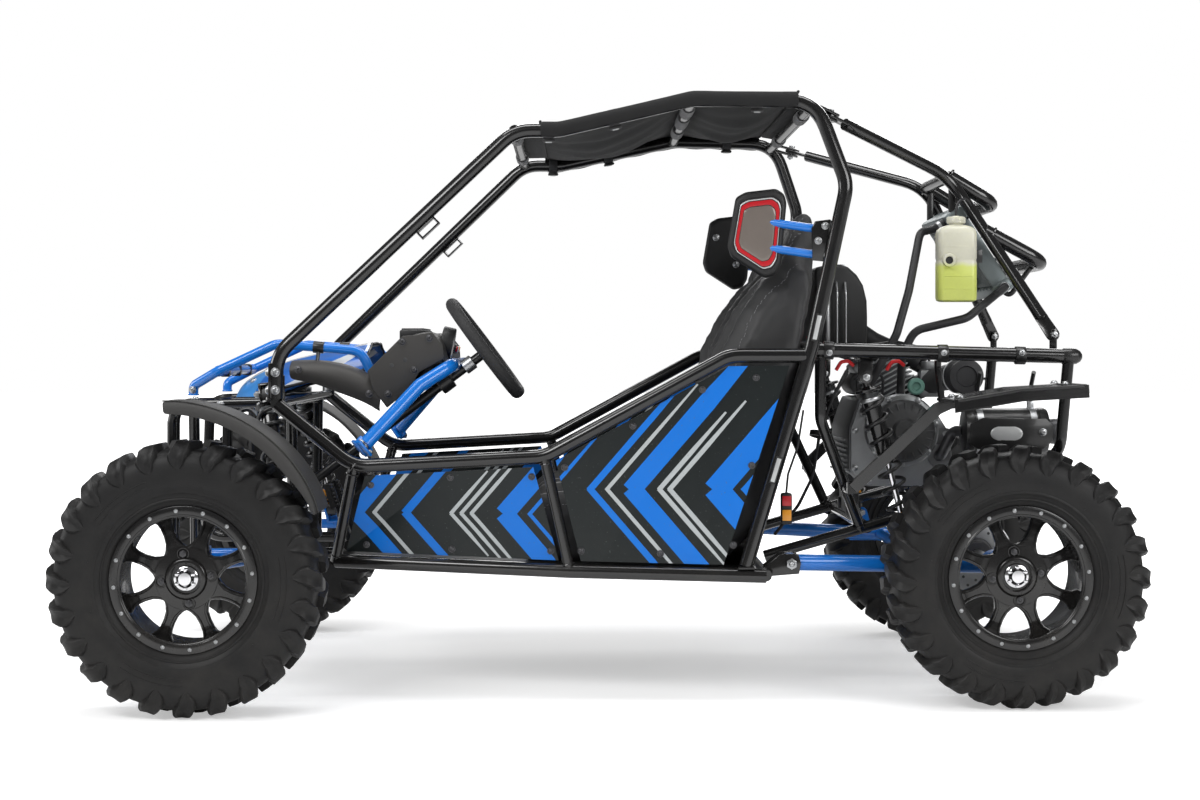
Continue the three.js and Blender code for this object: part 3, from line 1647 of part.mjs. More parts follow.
// Nose hood, crowned across
function crowned(profile, halves, crownDrop, wall) {
  const shares = [-1, -0.75, -0.35, 0.35, 0.75, 1];
  const rows = profile.map(([x, z], i) =>
    shares.map((share) => at(x, share * halves[i], z - crownDrop * share * share)),
  );
  return sheet(rows, wall);
}

function noseCowl() {
  const profile = [
    [noseTipX, noseTipZ],
    [noseLipX, noseLipZ],
    [noseMidX, noseMidZ],
    [noseRearX, noseRearZ],
  ];
  const halves = [noseTipHalf, noseTipHalf, noseMidHalf, noseRearHalf];
  return crowned(profile, halves, noseCrownDrop, at(sheetThickness, 0, -sheetThickness));
}

// Dash cowl: a crowned binnacle with a skirt down each side
function dashCowl() {
  const profile = [
    [dashFrontX, dashFrontZ],
    [dashTopX, dashTopZ],
    [dashEdgeX, dashEdgeZ],
    [dashRearX, dashRearZ],
  ];
  const shares = [-1, -0.96, -0.8, -0.4, 0.4, 0.8, 0.96, 1];
  const rows = profile.map(([x, z]) =>
    shares.map((share) => {
      const crown = noseCrownDrop * share * share;
      const edge = Math.abs(share) === 1;
      return at(x, share * dashHalf, edge ? Math.min(dashSkirtZ, z - crown) : z - crown);
    }),
  );
  const inward = profile.map((point, i) => {
    const before = profile[Math.max(i - 1, 0)];
    const after = profile[Math.min(i + 1, profile.length - 1)];
    return at(after[1] - before[1], 0, before[0] - after[0]).setLength(sheetThickness);
  });
  return sheet(rows, (column, width, row) => {
    const skirt = column < 2 || column > width - 3;
    const across = skirt ? Math.sign(width / 2 - column) * sheetThickness : 0;
    return inward[row].clone().add(at(0, across, 0));
  });
}

// Canvas roof: it lies on the three cross tubes, sags between them and turns down over the rails
function roofRail(x) {
  const points = [
    [screenTopX, screenHalf, screenTopZ],
    [roofFrontX, screenHalf + plateThickness / 2, screenTopZ],
    [roofPeakX, roofPeakHalf, roofPeakZ],
    [hoopTopX, hoopTopHalf, hoopTopZ],
  ];
  for (let i = 0; i < points.length - 1; i++) {
    const [a, b] = [points[i], points[i + 1]];
    if (x <= b[0] || i === points.length - 2) {
      const share = (x - a[0]) / (b[0] - a[0]);
      return [a[1] + share * (b[1] - a[1]), a[2] + share * (b[2] - a[2])];
    }
  }
  return [points[0][1], points[0][2]];
}

// The stations of one bay and how far each has sagged, from 0 at the tubes to 1 midway
function canopyBay(from, to) {
  const shares = [0, 0.3, 0.7, 1];
  return shares.map((share) => [from + share * (to - from), Math.sin(Math.PI * share)]);
}

function canopy() {
  const acrossShares = [-1, -0.75, -0.45, -0.15, 0.15, 0.45, 0.75, 1];
  const rise = mainTube / 2 + canopyThickness + fitGap;
  const shoulder = mainTube / 2 + plateThickness / 4;
  const stations = [
    ...canopyBay(canopyFrontX, roofPeakX - mainTube),
    [roofPeakX, 0],
    ...canopyBay(roofPeakX + mainTube, canopyRearX),
  ];
  const rows = stations.map(([x, slack]) => {
    const [half, z] = roofRail(x);
    const skirtY = half + rise;
    const middle = acrossShares.map((across) => {
      const foldShare = Math.cos(across * 3 * Math.PI) / 6;
      const dip = (1 - across * across) * (1 + foldShare);
      return at(x, across * half, z + rise - slack * canopySag * dip);
    });
    return [
      at(x, -skirtY, z - canopySkirt),
      at(x, -skirtY, z + shoulder),
      ...middle,
      at(x, skirtY, z + shoulder),
      at(x, skirtY, z - canopySkirt),
    ];
  });
  return sheet(rows, canopyWall);
}

// The wall under the roof's middle hangs down, and beside the rails it stands inward.
function canopyWall(column, width) {
  const fromEdge = Math.min(column, width - 1 - column);
  const inward = fromEdge < 2 ? Math.sign(width / 2 - column) * canopyThickness : 0;
  return at(0, inward, fromEdge < 1 ? 0 : -canopyThickness);
}

// Bucket seat: one padded form, crowned, with raised bolsters, drawn-in sides and a tapered head
function seat(side) {
  const acrossShares = [-1, -0.94, -0.74, -0.6, -0.25, 0.25, 0.6, 0.74, 0.94, 1];
  const bolsterShare = 0.65;
  const sideShare = 0.99;
  const headShare = 0.62;
  const headDropShare = 0.42;
  const rings = acrossShares.map((across) => {
    const edge = Math.abs(across);
    const onBolster = edge > bolsterShare && edge < sideShare;
    const headRun = Math.max(0, edge - headShare) / (1 - headShare);
    const shape = {
      bolster: onBolster ? bolsterRise : 0,
      inset: edge > sideShare ? bolsterRise / 3 : 0,
      crown: edge < bolsterShare ? (1 - edge * edge) * plateThickness * 2 : 0,
      topZ: seatTopZ - (seatTopZ - hoopWaistZ) * headDropShare * Math.sqrt(headRun),
    };
    return seatSection(shape).map(([x, z]) => {
      const up = Math.max(0, (z - hoopWaistZ) / (seatTopZ - hoopWaistZ));
      const taper = 1 - up * shoulderTaperShare;
      return at(x, side * seatSpacing + across * seatHalf * taper, z);
    });
  });
  return loft(rings);
}

const shoulderTaperShare = 0.3;

// The seat's outline at one station across it, from the cushion's front edge round to the foot
function seatSection({ bolster, inset, crown, topZ }) {
  const floorAt = (x) => floorZ(x) + floorLift + fitGap;
  const depthShares = [1, 0.62, 0.4, 0.2];
  const lean = (seatTopX - seatBackX) / (seatTopZ - hoopWaistZ);
  const backX = (z) => seatBackX + (z - hoopWaistZ) * lean;
  const faceX = (z, share) => backX(z) - (seatBackDepth + bolster) * share;
  const kneeZ = floorAt(seatFrontX) + seatCushionHeight + bolster;
  const hipX = seatBackFootX - bolster;
  const hipZ = kneeZ - seatCushionHeight / 4;
  const lumbarZ = hoopWaistZ - seatCushionHeight;
  const middleZ = (hoopWaistZ + topZ) / 2;
  const footX = hoopFootX - mainTube;
  return [
    [seatFrontX + inset, floorAt(seatFrontX) + inset],
    [seatFrontX - plateThickness + inset, floorAt(seatFrontX) + seatCushionHeight / 2],
    [seatFrontX + seatCushionHeight / 4 + inset, kneeZ - plateThickness - inset],
    [seatFrontX + seatCushionHeight, kneeZ + crown - inset],
    [(seatFrontX + seatBackFootX) / 2, kneeZ + crown - seatCushionHeight / 8 - inset],
    [hipX - seatCushionHeight / 2 - bolster, hipZ + crown / 2 - inset],
    [hipX - seatCushionHeight / 6, hipZ + seatCushionHeight / 2],
    [faceX(lumbarZ, depthShares[0]) - crown, lumbarZ],
    [faceX(hoopWaistZ, depthShares[0]) - crown, hoopWaistZ],
    [faceX(middleZ, depthShares[1]) - crown, middleZ],
    [faceX(topZ, depthShares[2]), topZ - plateThickness * 2],
    [faceX(topZ, depthShares[3]), topZ],
    [backX(topZ) - inset / 3, topZ - plateThickness * 3],
    [backX(hoopWaistZ) - inset / 3, hoopWaistZ],
    [seatBackFootX + inset / 3 - plateThickness, floorAt(seatBackFootX) + seatCushionHeight],
    [footX, floorAt(footX) + inset],
  ];
}

// Engine: crankcase, cylinder, clutch cover, intake and the lower coolant hose
function lowerHose() {
  const y = left * (bottleHalf - hoseDiameter);
  const top = at(radiatorFootX, left * (radiatorHalf + fitGap), radiatorFootZ);
  top.addScaledVector(radiatorDirection(), -tankHeight / 2);
  return tube(
    [
      top,
      top.clone().add(at(0, left * hoseDiameter, 0)),
      at(radiatorFootX - 2 * tankDepth, y, radiatorFootZ - 2 * tankHeight),
      at(coverX + hoseDiameter, y, hoopWaistZ + 2 * hoseDiameter),
      at(coverX - hoseDiameter / 2, y, hoopWaistZ - hoseDiameter),
      at(coverX, left * crankcaseHalf, crankcaseTopZ + 2 * hoseDiameter),
      at(coverX, left * (crankcaseHalf - hoseDiameter), crankcaseTopZ - hoseDiameter),
    ],
    hoseDiameter,
    lightBend,
    lightSides,
  );
}

function engine() {
  const outline = [
    [crankcaseFrontX, crankcaseFloorZ + coverDiameter / 4],
    [crankcaseFrontX + coverDiameter / 4, crankcaseFloorZ],
    [crankcaseRearX - coverDiameter / 4, crankcaseFloorZ],
    [crankcaseRearX, crankcaseFloorZ + coverDiameter / 4],
    [crankcaseRearX - coverDiameter / 4, crankcaseTopZ - coverDiameter / 4],
    [coverX + coverDiameter / 4, crankcaseTopZ],
    [crankcaseFrontX + coverDiameter / 6, crankcaseTopZ],
    [crankcaseFrontX, crankcaseTopZ - coverDiameter / 2],
  ];
  const boreHalf = cylinderDiameter / 2;
  const cylinderReach = cylinderLength + coverDiameter / 2;
  const cylinder = new THREE.CylinderGeometry(boreHalf, boreHalf, cylinderReach, fineSides);
  cylinder.rotateX(Math.PI / 2);
  cylinder.rotateY(-cylinderTilt);
  const mounts = [frontMountX, rearMountX].map((x) => {
    const top = crankcaseFloorZ + coverDiameter / 3;
    const low = cradleZ(x) + lightFlat + fitGap;
    const half = plateThickness * 2;
    return box(x - half, x + half, -crankcaseHalf / 2, crankcaseHalf / 2, low, top);
  });
  const face = left * crankcaseHalf;
  const frontReach = left * filterHalf;
  const intakeStart = at(filterX, frontReach + filterDiameter / 2, filterZ);
  return join([
    platesAcross(outline, -crankcaseHalf, crankcaseHalf),
    moved(cylinder, crankcaseFrontX + cylinderDiameter, 0, crankcaseTopZ + cylinderLength / 4),
    discAcross(coverX, face + plateThickness, face - coverHeight, coverZ, coverDiameter, wheelSegments),
    discAcross(coverX, face, face - coverHeight - plateThickness * 2, coverZ, coverHubDiameter),
    discAcross(filterX, frontReach, frontReach + filterDiameter, filterZ, filterDiameter),
    tube([intakeStart, at(coverX, 0, crankcaseTopZ)], boreHalf),
    ...mounts,
    lowerHose(),
  ]);
}

function muffler() {
  const y = left * muffHalf;
  const can = tube([at(muffFrontX, y, muffZ), at(muffRearX, y, muffZ)], muffDiameter, 0, fineSides);
  const tipEnd = at(muffRearX + tipDiameter / 2, y, muffZ);
  const tip = tube([at(muffRearX, y, muffZ), tipEnd], tipDiameter, 0, fineSides);
  const pipeX = crankcaseRearX - coverDiameter / 4;
  const pipe = tube(
    [
      at(muffFrontX + plateThickness, y, muffZ),
      at(muffFrontX - tipDiameter / 4, left * (crankcaseHalf + tipDiameter / 2), muffZ),
      at(pipeX, left * (crankcaseHalf + lightTube), muffZ - tipDiameter),
      at(pipeX, left * (crankcaseHalf + fitGap), muffZ - tipDiameter),
    ],
    lightTube,
    lightTube / 2,
    lightSides,
  );
  return join([can, tip, pipe]);
}

// Radiator: a slanted core with a tank at each end
function radiatorDirection() {
  return at(radiatorFootX - radiatorTopX, 0, radiatorFootZ - radiatorTopZ).normalize();
}

function radiator() {
  const direction = radiatorDirection();
  const length = at(radiatorTopX, 0, radiatorTopZ).distanceTo(at(radiatorFootX, 0, radiatorFootZ));
  const slope = -Math.atan2(direction.z, direction.x);
  const core = new THREE.BoxGeometry(length, 2 * radiatorHalf - tankHeight, radiatorDepth);
  const tanks = [-1, 1].map((end) => {
    const tank = new THREE.BoxGeometry(tankHeight, 2 * radiatorHalf, tankDepth);
    return moved(tank, (end * (length - tankHeight)) / 2, 0, 0);
  });
  const centreX = (radiatorTopX + radiatorFootX) / 2;
  const centreZ = (radiatorTopZ + radiatorFootZ) / 2;
  const body = join([core, ...tanks]).rotateY(slope);
  const bracketX = bottleX + bottleLength / 2;
  const bracket = box(
    bracketX - plateThickness,
    bracketX + bottleLength / 4,
    left * (radiatorHalf - tankHeight),
    left * (bottleHalf - bottleWidth / 2 - fitGap),
    centreZ - tankHeight,
    centreZ,
  );
  const hangers = sides.map(([side]) =>
    box(
      radiatorTopX - plateThickness,
      radiatorTopX + plateThickness,
      side * (radiatorHalf - tankHeight),
      side * (radiatorHalf - plateThickness),
      radiatorTopZ - tankHeight,
      braceBendZ - loopTube + sheetThickness,
    ),
  );
  return join([moved(body, centreX, 0, centreZ), bracket, ...hangers]);
}

function upperHose() {
  const hoseOffsetShare = 0.8;
  const direction = radiatorDirection();
  const ahead = at(direction.z, 0, -direction.x);
  const tank = at(radiatorTopX, left * (radiatorHalf - tankHeight), radiatorTopZ);
  tank.addScaledVector(direction, tankHeight / 2);
  const portX = crankcaseFrontX + tankHeight;
  const portZ = crankcaseTopZ - tankHeight;
  return tube(
    [
      tank.clone().addScaledVector(ahead, tankDepth / 2 + fitGap),
      tank.clone().addScaledVector(ahead, tankDepth),
      at(bottleX - bottleLength * hoseOffsetShare, left * (bottleHalf - bottleWidth), radiatorTopZ - tankDepth),
      at(coverX, left * (bottleHalf + hoseDiameter), radiatorFootZ),
      at(coverX - tankHeight, left * (bottleHalf + 2 * hoseDiameter), hoopWaistZ + tankHeight),
      at(portX, left * (bottleHalf + hoseDiameter), crankcaseTopZ + tankHeight),
      at(portX, left * (crankcaseHalf + 2 * hoseDiameter), portZ),
      at(portX, left * (crankcaseHalf + fitGap), portZ),
    ],
    hoseDiameter,
    lightBend,
    lightSides,
  );
}

function coolantBottle() {
  const outline = rounded(bottleLength, bottleHeight, bottleCorner, 1);
  const y = left * bottleHalf;
  const body = platesAcross(outline, y - bottleWidth / 2, y + bottleWidth / 2);
  const cap = new THREE.CylinderGeometry(bottleCapDiameter / 2, bottleCapDiameter / 2, bottleCapHeight + bottleCorner, fineSides);
  cap.rotateX(Math.PI / 2);
  const centreZ = bottleFloorZ + bottleHeight / 2;
  const spout = discAcross(bottleX - bottleLength / 4, y - bottleWidth / 2 - bottleCorner, y, centreZ, bottleCapDiameter - bottleCorner);
  return join([
    moved(body, bottleX, 0, centreZ),
    moved(cap, bottleX, y, bottleFloorZ + bottleHeight + bottleCapHeight / 2 - bottleCorner / 2),
    spout,
  ]);
}

function airBox() {
  const low = rackZ(boxCrossX) + lightFlat + fitGap;
  const shares = [
    [-0.5, 0],
    [0.5, 0],
    [0.5, 0.55],
    [0.25, 0.9],
    [0, 1],
    [-0.5, 0.96],
  ];
  const outline = shares.map(([x, z]) => [airBoxX + x * airBoxLength, low + z * airBoxHeight]);
  return platesAcross(outline, -airBoxHalf, airBoxHalf);
}

// Shoulder guard: a padded plate on two blue rods that are bolted to the hoop
function shoulderGuard(side) {
  const shares = [
    [-0.36, 0.4],
    [-0.2, 0.46],
    [0.32, 0.5],
    [0.46, 0.44],
    [0.5, 0.34],
    [0.4, -0.36],
    [0.3, -0.47],
    [0.12, -0.5],
    [-0.44, -0.26],
    [-0.5, -0.14],
  ];
  const ring = (y, scale) => shares.map(([x, z]) => at(guardX + x * guardLength * scale, y, guardZ + z * guardHeight * scale));
  const inner = side * (guardHalf - guardThickness / 2);
  const outer = side * (guardHalf + guardThickness / 2);
  const edgeShare = 0.9;
  const rimShares = [0.5];
  const pad = loft([
    ring(inner, edgeShare),
    ...rimShares.map((share) => ring(inner + (outer - inner) * share, 1)),
    ring(outer, edgeShare),
  ]);
  const rodFlat = (guardRod / 2) * Math.cos(Math.PI / tubeSides);
  const rodY = side * (railHalf - mainTube / 4 - plateThickness - rodFlat - fitGap);
  const rods = [-1, 1].map((hand) => {
    const z = guardBracketZ + (hand * guardRodSpacing) / 2;
    const root = at(guardX, side * guardHalf, z + guardRod);
    const knee = at(guardBracketX - guardRod, rodY, z);
    const end = at(guardBracketX + guardRod, rodY, z);
    return tube([root, knee, end], guardRod);
  });
  return join([pad, ...rods]);
}

// Pedals, each hinged on the floor
const pedalX = -596;
const pedalHeight = 128;
const pedalLean = 42;
const pedalWidth = 54;
const throttleHalf = 172;
const brakeHalf = 292;

function pedal(half) {
  const y = left * half;
  const pivotZ = floorZ(pedalX + mainTube) + floorLift + lightTube / 2 + turningGap;
  const pivot = discAcross(pedalX + mainTube, y - pedalWidth / 3, y + pedalWidth / 3, pivotZ, lightTube);
  const head = at(pedalX + mainTube - pedalLean, y, pivotZ + pedalHeight);
  const stem = tube([at(pedalX + mainTube, y, pivotZ), head], tieRodDiameter);
  const pad = new THREE.BoxGeometry(plateThickness * 2, pedalWidth, pedalWidth);
  pad.rotateY(-Math.atan2(pedalLean, pedalHeight));
  return join([pivot, stem, moved(pad, head.x, y, head.z - pedalWidth / 3)]);
}

gloss("lower_frame", lowerFrame());
gloss("roll_cage", rollCage());
gloss("rear_frame", rearFrame());
gloss("rear_brace", rearBrace());
blue("brush_guard", brushGuard());
blue("dash_hoop", dashHoop());
sidePanels();
gloss("floor_pan", floorPan());
plastic("nose_cowl", noseCowl());
plastic("dash_cowl", dashCowl());
place("canopy", canopy(), 0x1b1b1d, 0.9, 0);
for (const [side, hand] of sides) {
  plastic("front_" + hand + "_fender", frontFender(side));
  gloss("rear_" + hand + "_fender", rearFender(side));
  place(hand + "_seat", seat(side), 0x3c3c3e, 0.7, 0);
  blue("front_" + hand + "_arm", frontArm(side));
  gloss(hand + "_knuckle", knuckle(side));
  steel(hand + "_tie_rod", tieRod(side));
  plastic(hand + "_shoulder_guard", shoulderGuard(side));
}
steel("steering_rack", steeringRack());
rubber("steering_wheel", steeringWheel());
wheels();
shocks();
blue("swing_arm", swingArm());
steel("rear_axle", rearAxle());
place("engine", engine(), 0x6e7072, 0.45, 0.7);
gloss("muffler", muffler());
place("radiator", radiator(), 0x737d7d, 0.4, 0.7);
place("coolant_bottle", coolantBottle(), 0xe2dccb, 0.4, 0);
plastic("air_box", airBox());
rubber("upper_hose", upperHose());
gloss("throttle_pedal", pedal(throttleHalf));
gloss("brake_pedal", pedal(brakeHalf));

console.log("least gap between a spring's curls, mm:", Math.min(...springGaps).toFixed(2));

export default kart;
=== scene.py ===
import random
from math import acos, atan2, copysign, cos, exp, hypot, pi, radians, sin, sqrt, tan

import bpy
from mathutils import Matrix, Vector
from mathutils.kdtree import KDTree


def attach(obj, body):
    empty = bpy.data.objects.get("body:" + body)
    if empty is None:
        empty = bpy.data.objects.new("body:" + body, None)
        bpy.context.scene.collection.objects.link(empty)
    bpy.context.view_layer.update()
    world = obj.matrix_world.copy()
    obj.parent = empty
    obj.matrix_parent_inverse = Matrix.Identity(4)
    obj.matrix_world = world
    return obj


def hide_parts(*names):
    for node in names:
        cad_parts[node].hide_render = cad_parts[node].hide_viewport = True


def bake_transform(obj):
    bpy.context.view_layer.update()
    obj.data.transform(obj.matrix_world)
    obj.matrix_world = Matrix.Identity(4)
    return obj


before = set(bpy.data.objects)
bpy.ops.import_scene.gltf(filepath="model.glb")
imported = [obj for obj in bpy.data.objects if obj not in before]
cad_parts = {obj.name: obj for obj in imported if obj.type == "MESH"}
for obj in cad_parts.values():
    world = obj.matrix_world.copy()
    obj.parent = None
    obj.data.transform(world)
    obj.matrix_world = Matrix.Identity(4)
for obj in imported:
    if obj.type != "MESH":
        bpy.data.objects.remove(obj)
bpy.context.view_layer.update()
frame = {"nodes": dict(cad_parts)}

bl_info = {"name": "Off-road kart", "version": (1, 0, 0), "blender": (4, 5, 0),
    "location": "View3D > Sidebar > Kart",
    "description": "Builds the kart's pieces and finishes round its packed frame", "category": "Object"}

METRE = 0.001
BOTH = (-1, 1)
SIDES = ((-1, "left"), (1, "right"))
# The front faces -X and the driver sits on the left
UP = Vector((0, 0, 1))
LEFT, RIGHT, BACK = Vector((0, -1, 0)), Vector((0, 1, 0)), Vector((1, 0, 0))
TAU = 2 * pi
MIRROR = Matrix.Diagonal((1, -1, 1, 1))


# Modelling kit: lengths are in millimetres until a piece is finished, and materials go by name

def V(x, y, z):
    return Vector((x, y, z))


def flip(points, side):
    return [V(p[0], side * p[1], p[2]) for p in points]


def turns(count, start=0):
    """Angles evenly round a circle."""
    return [i * TAU / count + start for i in range(count)]


def deselect():
    if bpy.context.object and bpy.context.object.mode != "OBJECT":
        bpy.ops.object.mode_set(mode="OBJECT")
    bpy.ops.object.select_all(action="DESELECT")


def pick(obj):
    deselect()
    obj.select_set(True)
    bpy.context.view_layer.objects.active = obj
    return obj


def made(material):
    obj = bpy.context.object
    bpy.ops.object.transform_apply(location=True, rotation=True, scale=True)
    obj.data.materials.append(look(material))
    return obj


def linked(name, data, material):
    obj = bpy.data.objects.new(name, data)
    bpy.context.scene.collection.objects.link(obj)
    data.materials.append(look(material))
    return obj


def mesh_of(name, points, faces, material, edges=()):
    mesh = bpy.data.meshes.new(name)
    mesh.from_pydata([tuple(p) for p in points], edges, faces)
    return linked(name, mesh, material)


def edit_all(obj, *steps):
    """Runs edit-mode steps, each an operator and its values, with all selected."""
    pick(obj)
    bpy.ops.object.mode_set(mode="EDIT")
    for operator, values in steps:
        bpy.ops.mesh.select_all(action="SELECT")
        operator(**values)
    bpy.ops.object.mode_set(mode="OBJECT")
    return obj


def tidy(obj, gap=0.01):
    """Merges doubles and turns every face outward."""
    return edit_all(obj, (bpy.ops.mesh.remove_doubles, {"threshold": gap}),
        (bpy.ops.mesh.normals_make_consistent, {"inside": False}))


def modify(obj, kind, **values):
    pick(obj)
    modifier = obj.modifiers.new(kind.title(), kind)
    for name, value in values.items():
        setattr(modifier, name, value)
    bpy.ops.object.modifier_apply(modifier=modifier.name)
    return obj


def soften(obj, width, segments=2, angle=35):
    if width <= 0:
        return obj
    return modify(obj, "BEVEL", width=width, segments=segments, limit_method="ANGLE",
        angle_limit=radians(angle), harden_normals=False)


def block(low, high, material, bevel=1.0, turn=None):
    """A plate or block between two corners."""
    deselect()
    low, high = Vector(low), Vector(high)
    size = Vector([abs(a - b) for a, b in zip(low, high)])
    bpy.ops.mesh.primitive_cube_add(size=1, location=(low + high) / 2)
    bpy.context.object.scale = size
    obj = soften(made(material), min(bevel, min(size) * 0.4))
    if turn:
        obj.data.transform(turn)
    return obj


def disc(start, end, radius, material, sides=28, bevel=0.8):
    """A round bar from one point to another."""
    deselect()
    start, end = Vector(start), Vector(end)
    along = end - start
    bpy.ops.mesh.primitive_cylinder_add(vertices=sides, radius=radius, depth=along.length,
        location=(start + end) / 2, rotation=along.to_track_quat("Z", "Y").to_euler())
    return soften(made(material), min(bevel, radius * 0.4, along.length * 0.4))


def aim(place, axis, spin=0):
    """A matrix that carries +Z to the axis and the origin to the place."""
    turn = Vector(axis).normalized().to_track_quat("Z", "Y").to_matrix().to_4x4()
    return Matrix.Translation(Vector(place)) @ turn @ Matrix.Rotation(spin, 4, "Z")


def turned(profile, origin, axis, material, steps=48):
    """A profile of (radius, distance along the axis) spun round the axis."""
    edges = [(i, i + 1) for i in range(len(profile) - 1)]
    obj = mesh_of("turned", [(r, 0, z) for r, z in profile], [], material, edges)
    edit_all(obj, (bpy.ops.mesh.spin, {"steps": steps, "angle": TAU, "center": (0, 0, 0),
        "axis": (0, 0, 1)}))
    tidy(obj).data.transform(aim(origin, axis))
    return obj


def route(points, bend, steps=7):
    """Straight runs with a smooth bend at each inner point."""
    points = [Vector(p) for p in points]
    path = [points[0]]
    for before, here, after in zip(points, points[1:], points[2:]):
        into, out = here - before, after - here
        turn = into.angle(out)
        reach = min(bend * tan(turn / 2), 0.48 * min(into.length, out.length))
        start, end = here - into.normalized() * reach, here + out.normalized() * reach
        if reach < 0.5:
            path.append(here)
            continue
        for i in range(steps + 1):
            t = i / steps
            path.append(start * (1 - t) ** 2 + here * 2 * t * (1 - t) + end * t * t)
    path.append(points[-1])
    return path


def spaced(path, step):
    """Places and directions at even steps along a path."""
    carry = 0.0
    for a, b in zip(path, path[1:]):
        run = (b - a).length
        while carry < run:
            yield a.lerp(b, carry / run), (b - a).normalized()
            carry += step
        carry -= run


def pipe(points, diameter, material, bend=0, detail=4, closed=False):
    """A round tube along a bent route."""
    path = route(points, bend) if bend else [Vector(p) for p in points]
    curve = bpy.data.curves.new("pipe", "CURVE")
    curve.dimensions = "3D"
    curve.bevel_depth = diameter / 2
    curve.bevel_resolution = detail
    curve.use_fill_caps = not closed
    spline = curve.splines.new("POLY")
    spline.points.add(len(path) - 1)
    for point, place in zip(spline.points, path):
        point.co = (*place, 1)
    spline.use_cyclic_u = closed
    pick(linked("pipe", curve, material))
    bpy.ops.object.convert(target="MESH")
    return tidy(bpy.context.object)


def prism(outline, low, high, material, bevel=1.0, axis="Y"):
    """A flat outline drawn out between two stations along Y or Z."""
    def put(a, b, c):
        return (a, c, b) if axis == "Y" else (a, b, c)

    obj = mesh_of("prism", [put(a, b, low) for a, b in outline], [list(range(len(outline)))], material)
    shift = {"TRANSFORM_OT_translate": {"value": put(0, 0, high - low)}}
    edit_all(obj, (bpy.ops.mesh.extrude_region_move, shift), (bpy.ops.mesh.normals_make_consistent,
        {"inside": False}))
    return soften(obj, bevel)


def grid(rows, material, wall, smooth, offset=-1):
    """A sheet through rows of points, given a wall and smoothed."""
    count = len(rows[0])
    points = [p for row in rows for p in row]
    faces = []
    for i in range(len(rows) - 1):
        for j in range(count - 1):
            a = i * count + j
            faces.append((a, a + 1, a + count + 1, a + count))
    obj = modify(mesh_of("sheet", points, faces, material), "SOLIDIFY", thickness=wall, offset=offset)
    return modify(obj, "SUBSURF", levels=smooth, render_levels=smooth)


def lofted(rings, material, ends=True):
    """A closed skin through rings of points."""
    count = len(rings[0])
    points = [p for ring in rings for p in ring]
    faces = []
    for i in range(len(rings) - 1):
        for j in range(count):
            a, b = i * count + j, i * count + (j + 1) % count
            faces.append((a, b, b + count, a + count))
    if ends:
        faces.append(list(reversed(range(count))))
        last = (len(rings) - 1) * count
        faces.append([last + j for j in range(count)])
    return tidy(mesh_of("loft", points, faces, material))


def copied(obj, matrix):
    """A copy with its own mesh, moved by a matrix."""
    twin = obj.copy()
    twin.data = obj.data.copy()
    bpy.context.scene.collection.objects.link(twin)
    twin.data.transform(matrix)
    if matrix.determinant() < 0:
        twin.data.flip_normals()
    return twin


def joined(objects, name):
    deselect()
    for obj in objects:
        obj.select_set(True)
    bpy.context.view_layer.objects.active = objects[0]
    if len(objects) > 1:
        bpy.ops.object.join()
    obj = bpy.context.object
    obj.name = obj.data.name = name
    return obj


def finished(objects, name, body, angle=35, replaces=()):
    """Joins the parts of a piece, brings it to metres and gives it its body."""
    obj = joined(objects, name)
    obj.data.transform(Matrix.Scale(METRE, 4))
    pick(obj)
    bpy.ops.object.shade_smooth_by_angle(angle=radians(angle))
    if body:
        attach(obj, body)
    if replaces:
        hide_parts(*replaces)
    return obj


STAMPS = {}


def stamped(key, make, matrix):
    """A copy of a part that is modelled once for each key."""
    if key not in STAMPS:
        STAMPS[key] = make()
    return copied(STAMPS[key], matrix)


def bolt(place, axis, size, material):
    """A button-head bolt with a hex socket, on a washer."""
    def make():
        head = [(0, 0.25), (1.0, 0.25), (1.0, 0.45), (0.85, 0.75), (0.5, 0.92), (0.46, 0.92),
            (0.42, 0.5), (0, 0.5)]
        return joined([disc((0, 0, 0), (0, 0, 0.25), 1.25, material, 16, 0.05),
            turned(head, (0, 0, 0), UP, material, 12)], "bolt stamp")
    return stamped(("bolt", material), make, aim(place, axis) @ Matrix.Scale(size, 4))


def hexagon(place, axis, across, height, material, dome=True):
    """A nut or a hexagon head."""
    def make():
        parts = [disc((0, 0, 0), UP, 1, material, 6, 0.08)]
        if dome:
            parts.append(turned([(0, 1.0), (0.55, 1.0), (0.5, 1.25), (0.3, 1.45), (0, 1.5)], (0, 0, 0),
                UP, material, 12))
        return joined(parts, "nut stamp")
    scale = Matrix.Diagonal((across / 2, across / 2, height, 1))
    return stamped(("hexagon", material, dome), make, aim(place, axis) @ scale)


def bead(place, axis, radius, material):
    """A weld bead round the foot of a tube."""
    def make():
        deselect()
        bpy.ops.mesh.primitive_torus_add(major_segments=40, minor_segments=6, major_radius=1.0,
            minor_radius=0.13)
        ring = made(material)
        for vertex in ring.data.vertices:
            turn = atan2(vertex.co.y, vertex.co.x)
            vertex.co *= 1 + 0.025 * sin(turn * 14) + 0.012 * sin(turn * 5)
        return ring
    return stamped(("bead", material), make, aim(place, axis) @ Matrix.Scale(radius, 4))


def clear_stamps():
    for stamp in STAMPS.values():
        bpy.data.objects.remove(stamp)
    STAMPS.clear()


class Parts(list):
    """The parts of one piece; each method makes a part and adds it."""


def adding(make):
    def method(self, *args, **values):
        self.append(make(*args, **values))
        return self[-1]
    return method


for make in (block, disc, turned, pipe, prism, grid, lofted, copied, bolt, hexagon, bead):
    setattr(Parts, make.__name__, adding(make))


# Finishes

class Term:
    """What a node puts out; sums with it become maths nodes."""

    def __init__(self, socket):
        self.socket = socket

    def maths(self, operation, *terms):
        return output(node(self, "Math", dict(enumerate(terms)), operation=operation))

    def to(self, operation, *others):
        return self.maths(operation, self, *others)


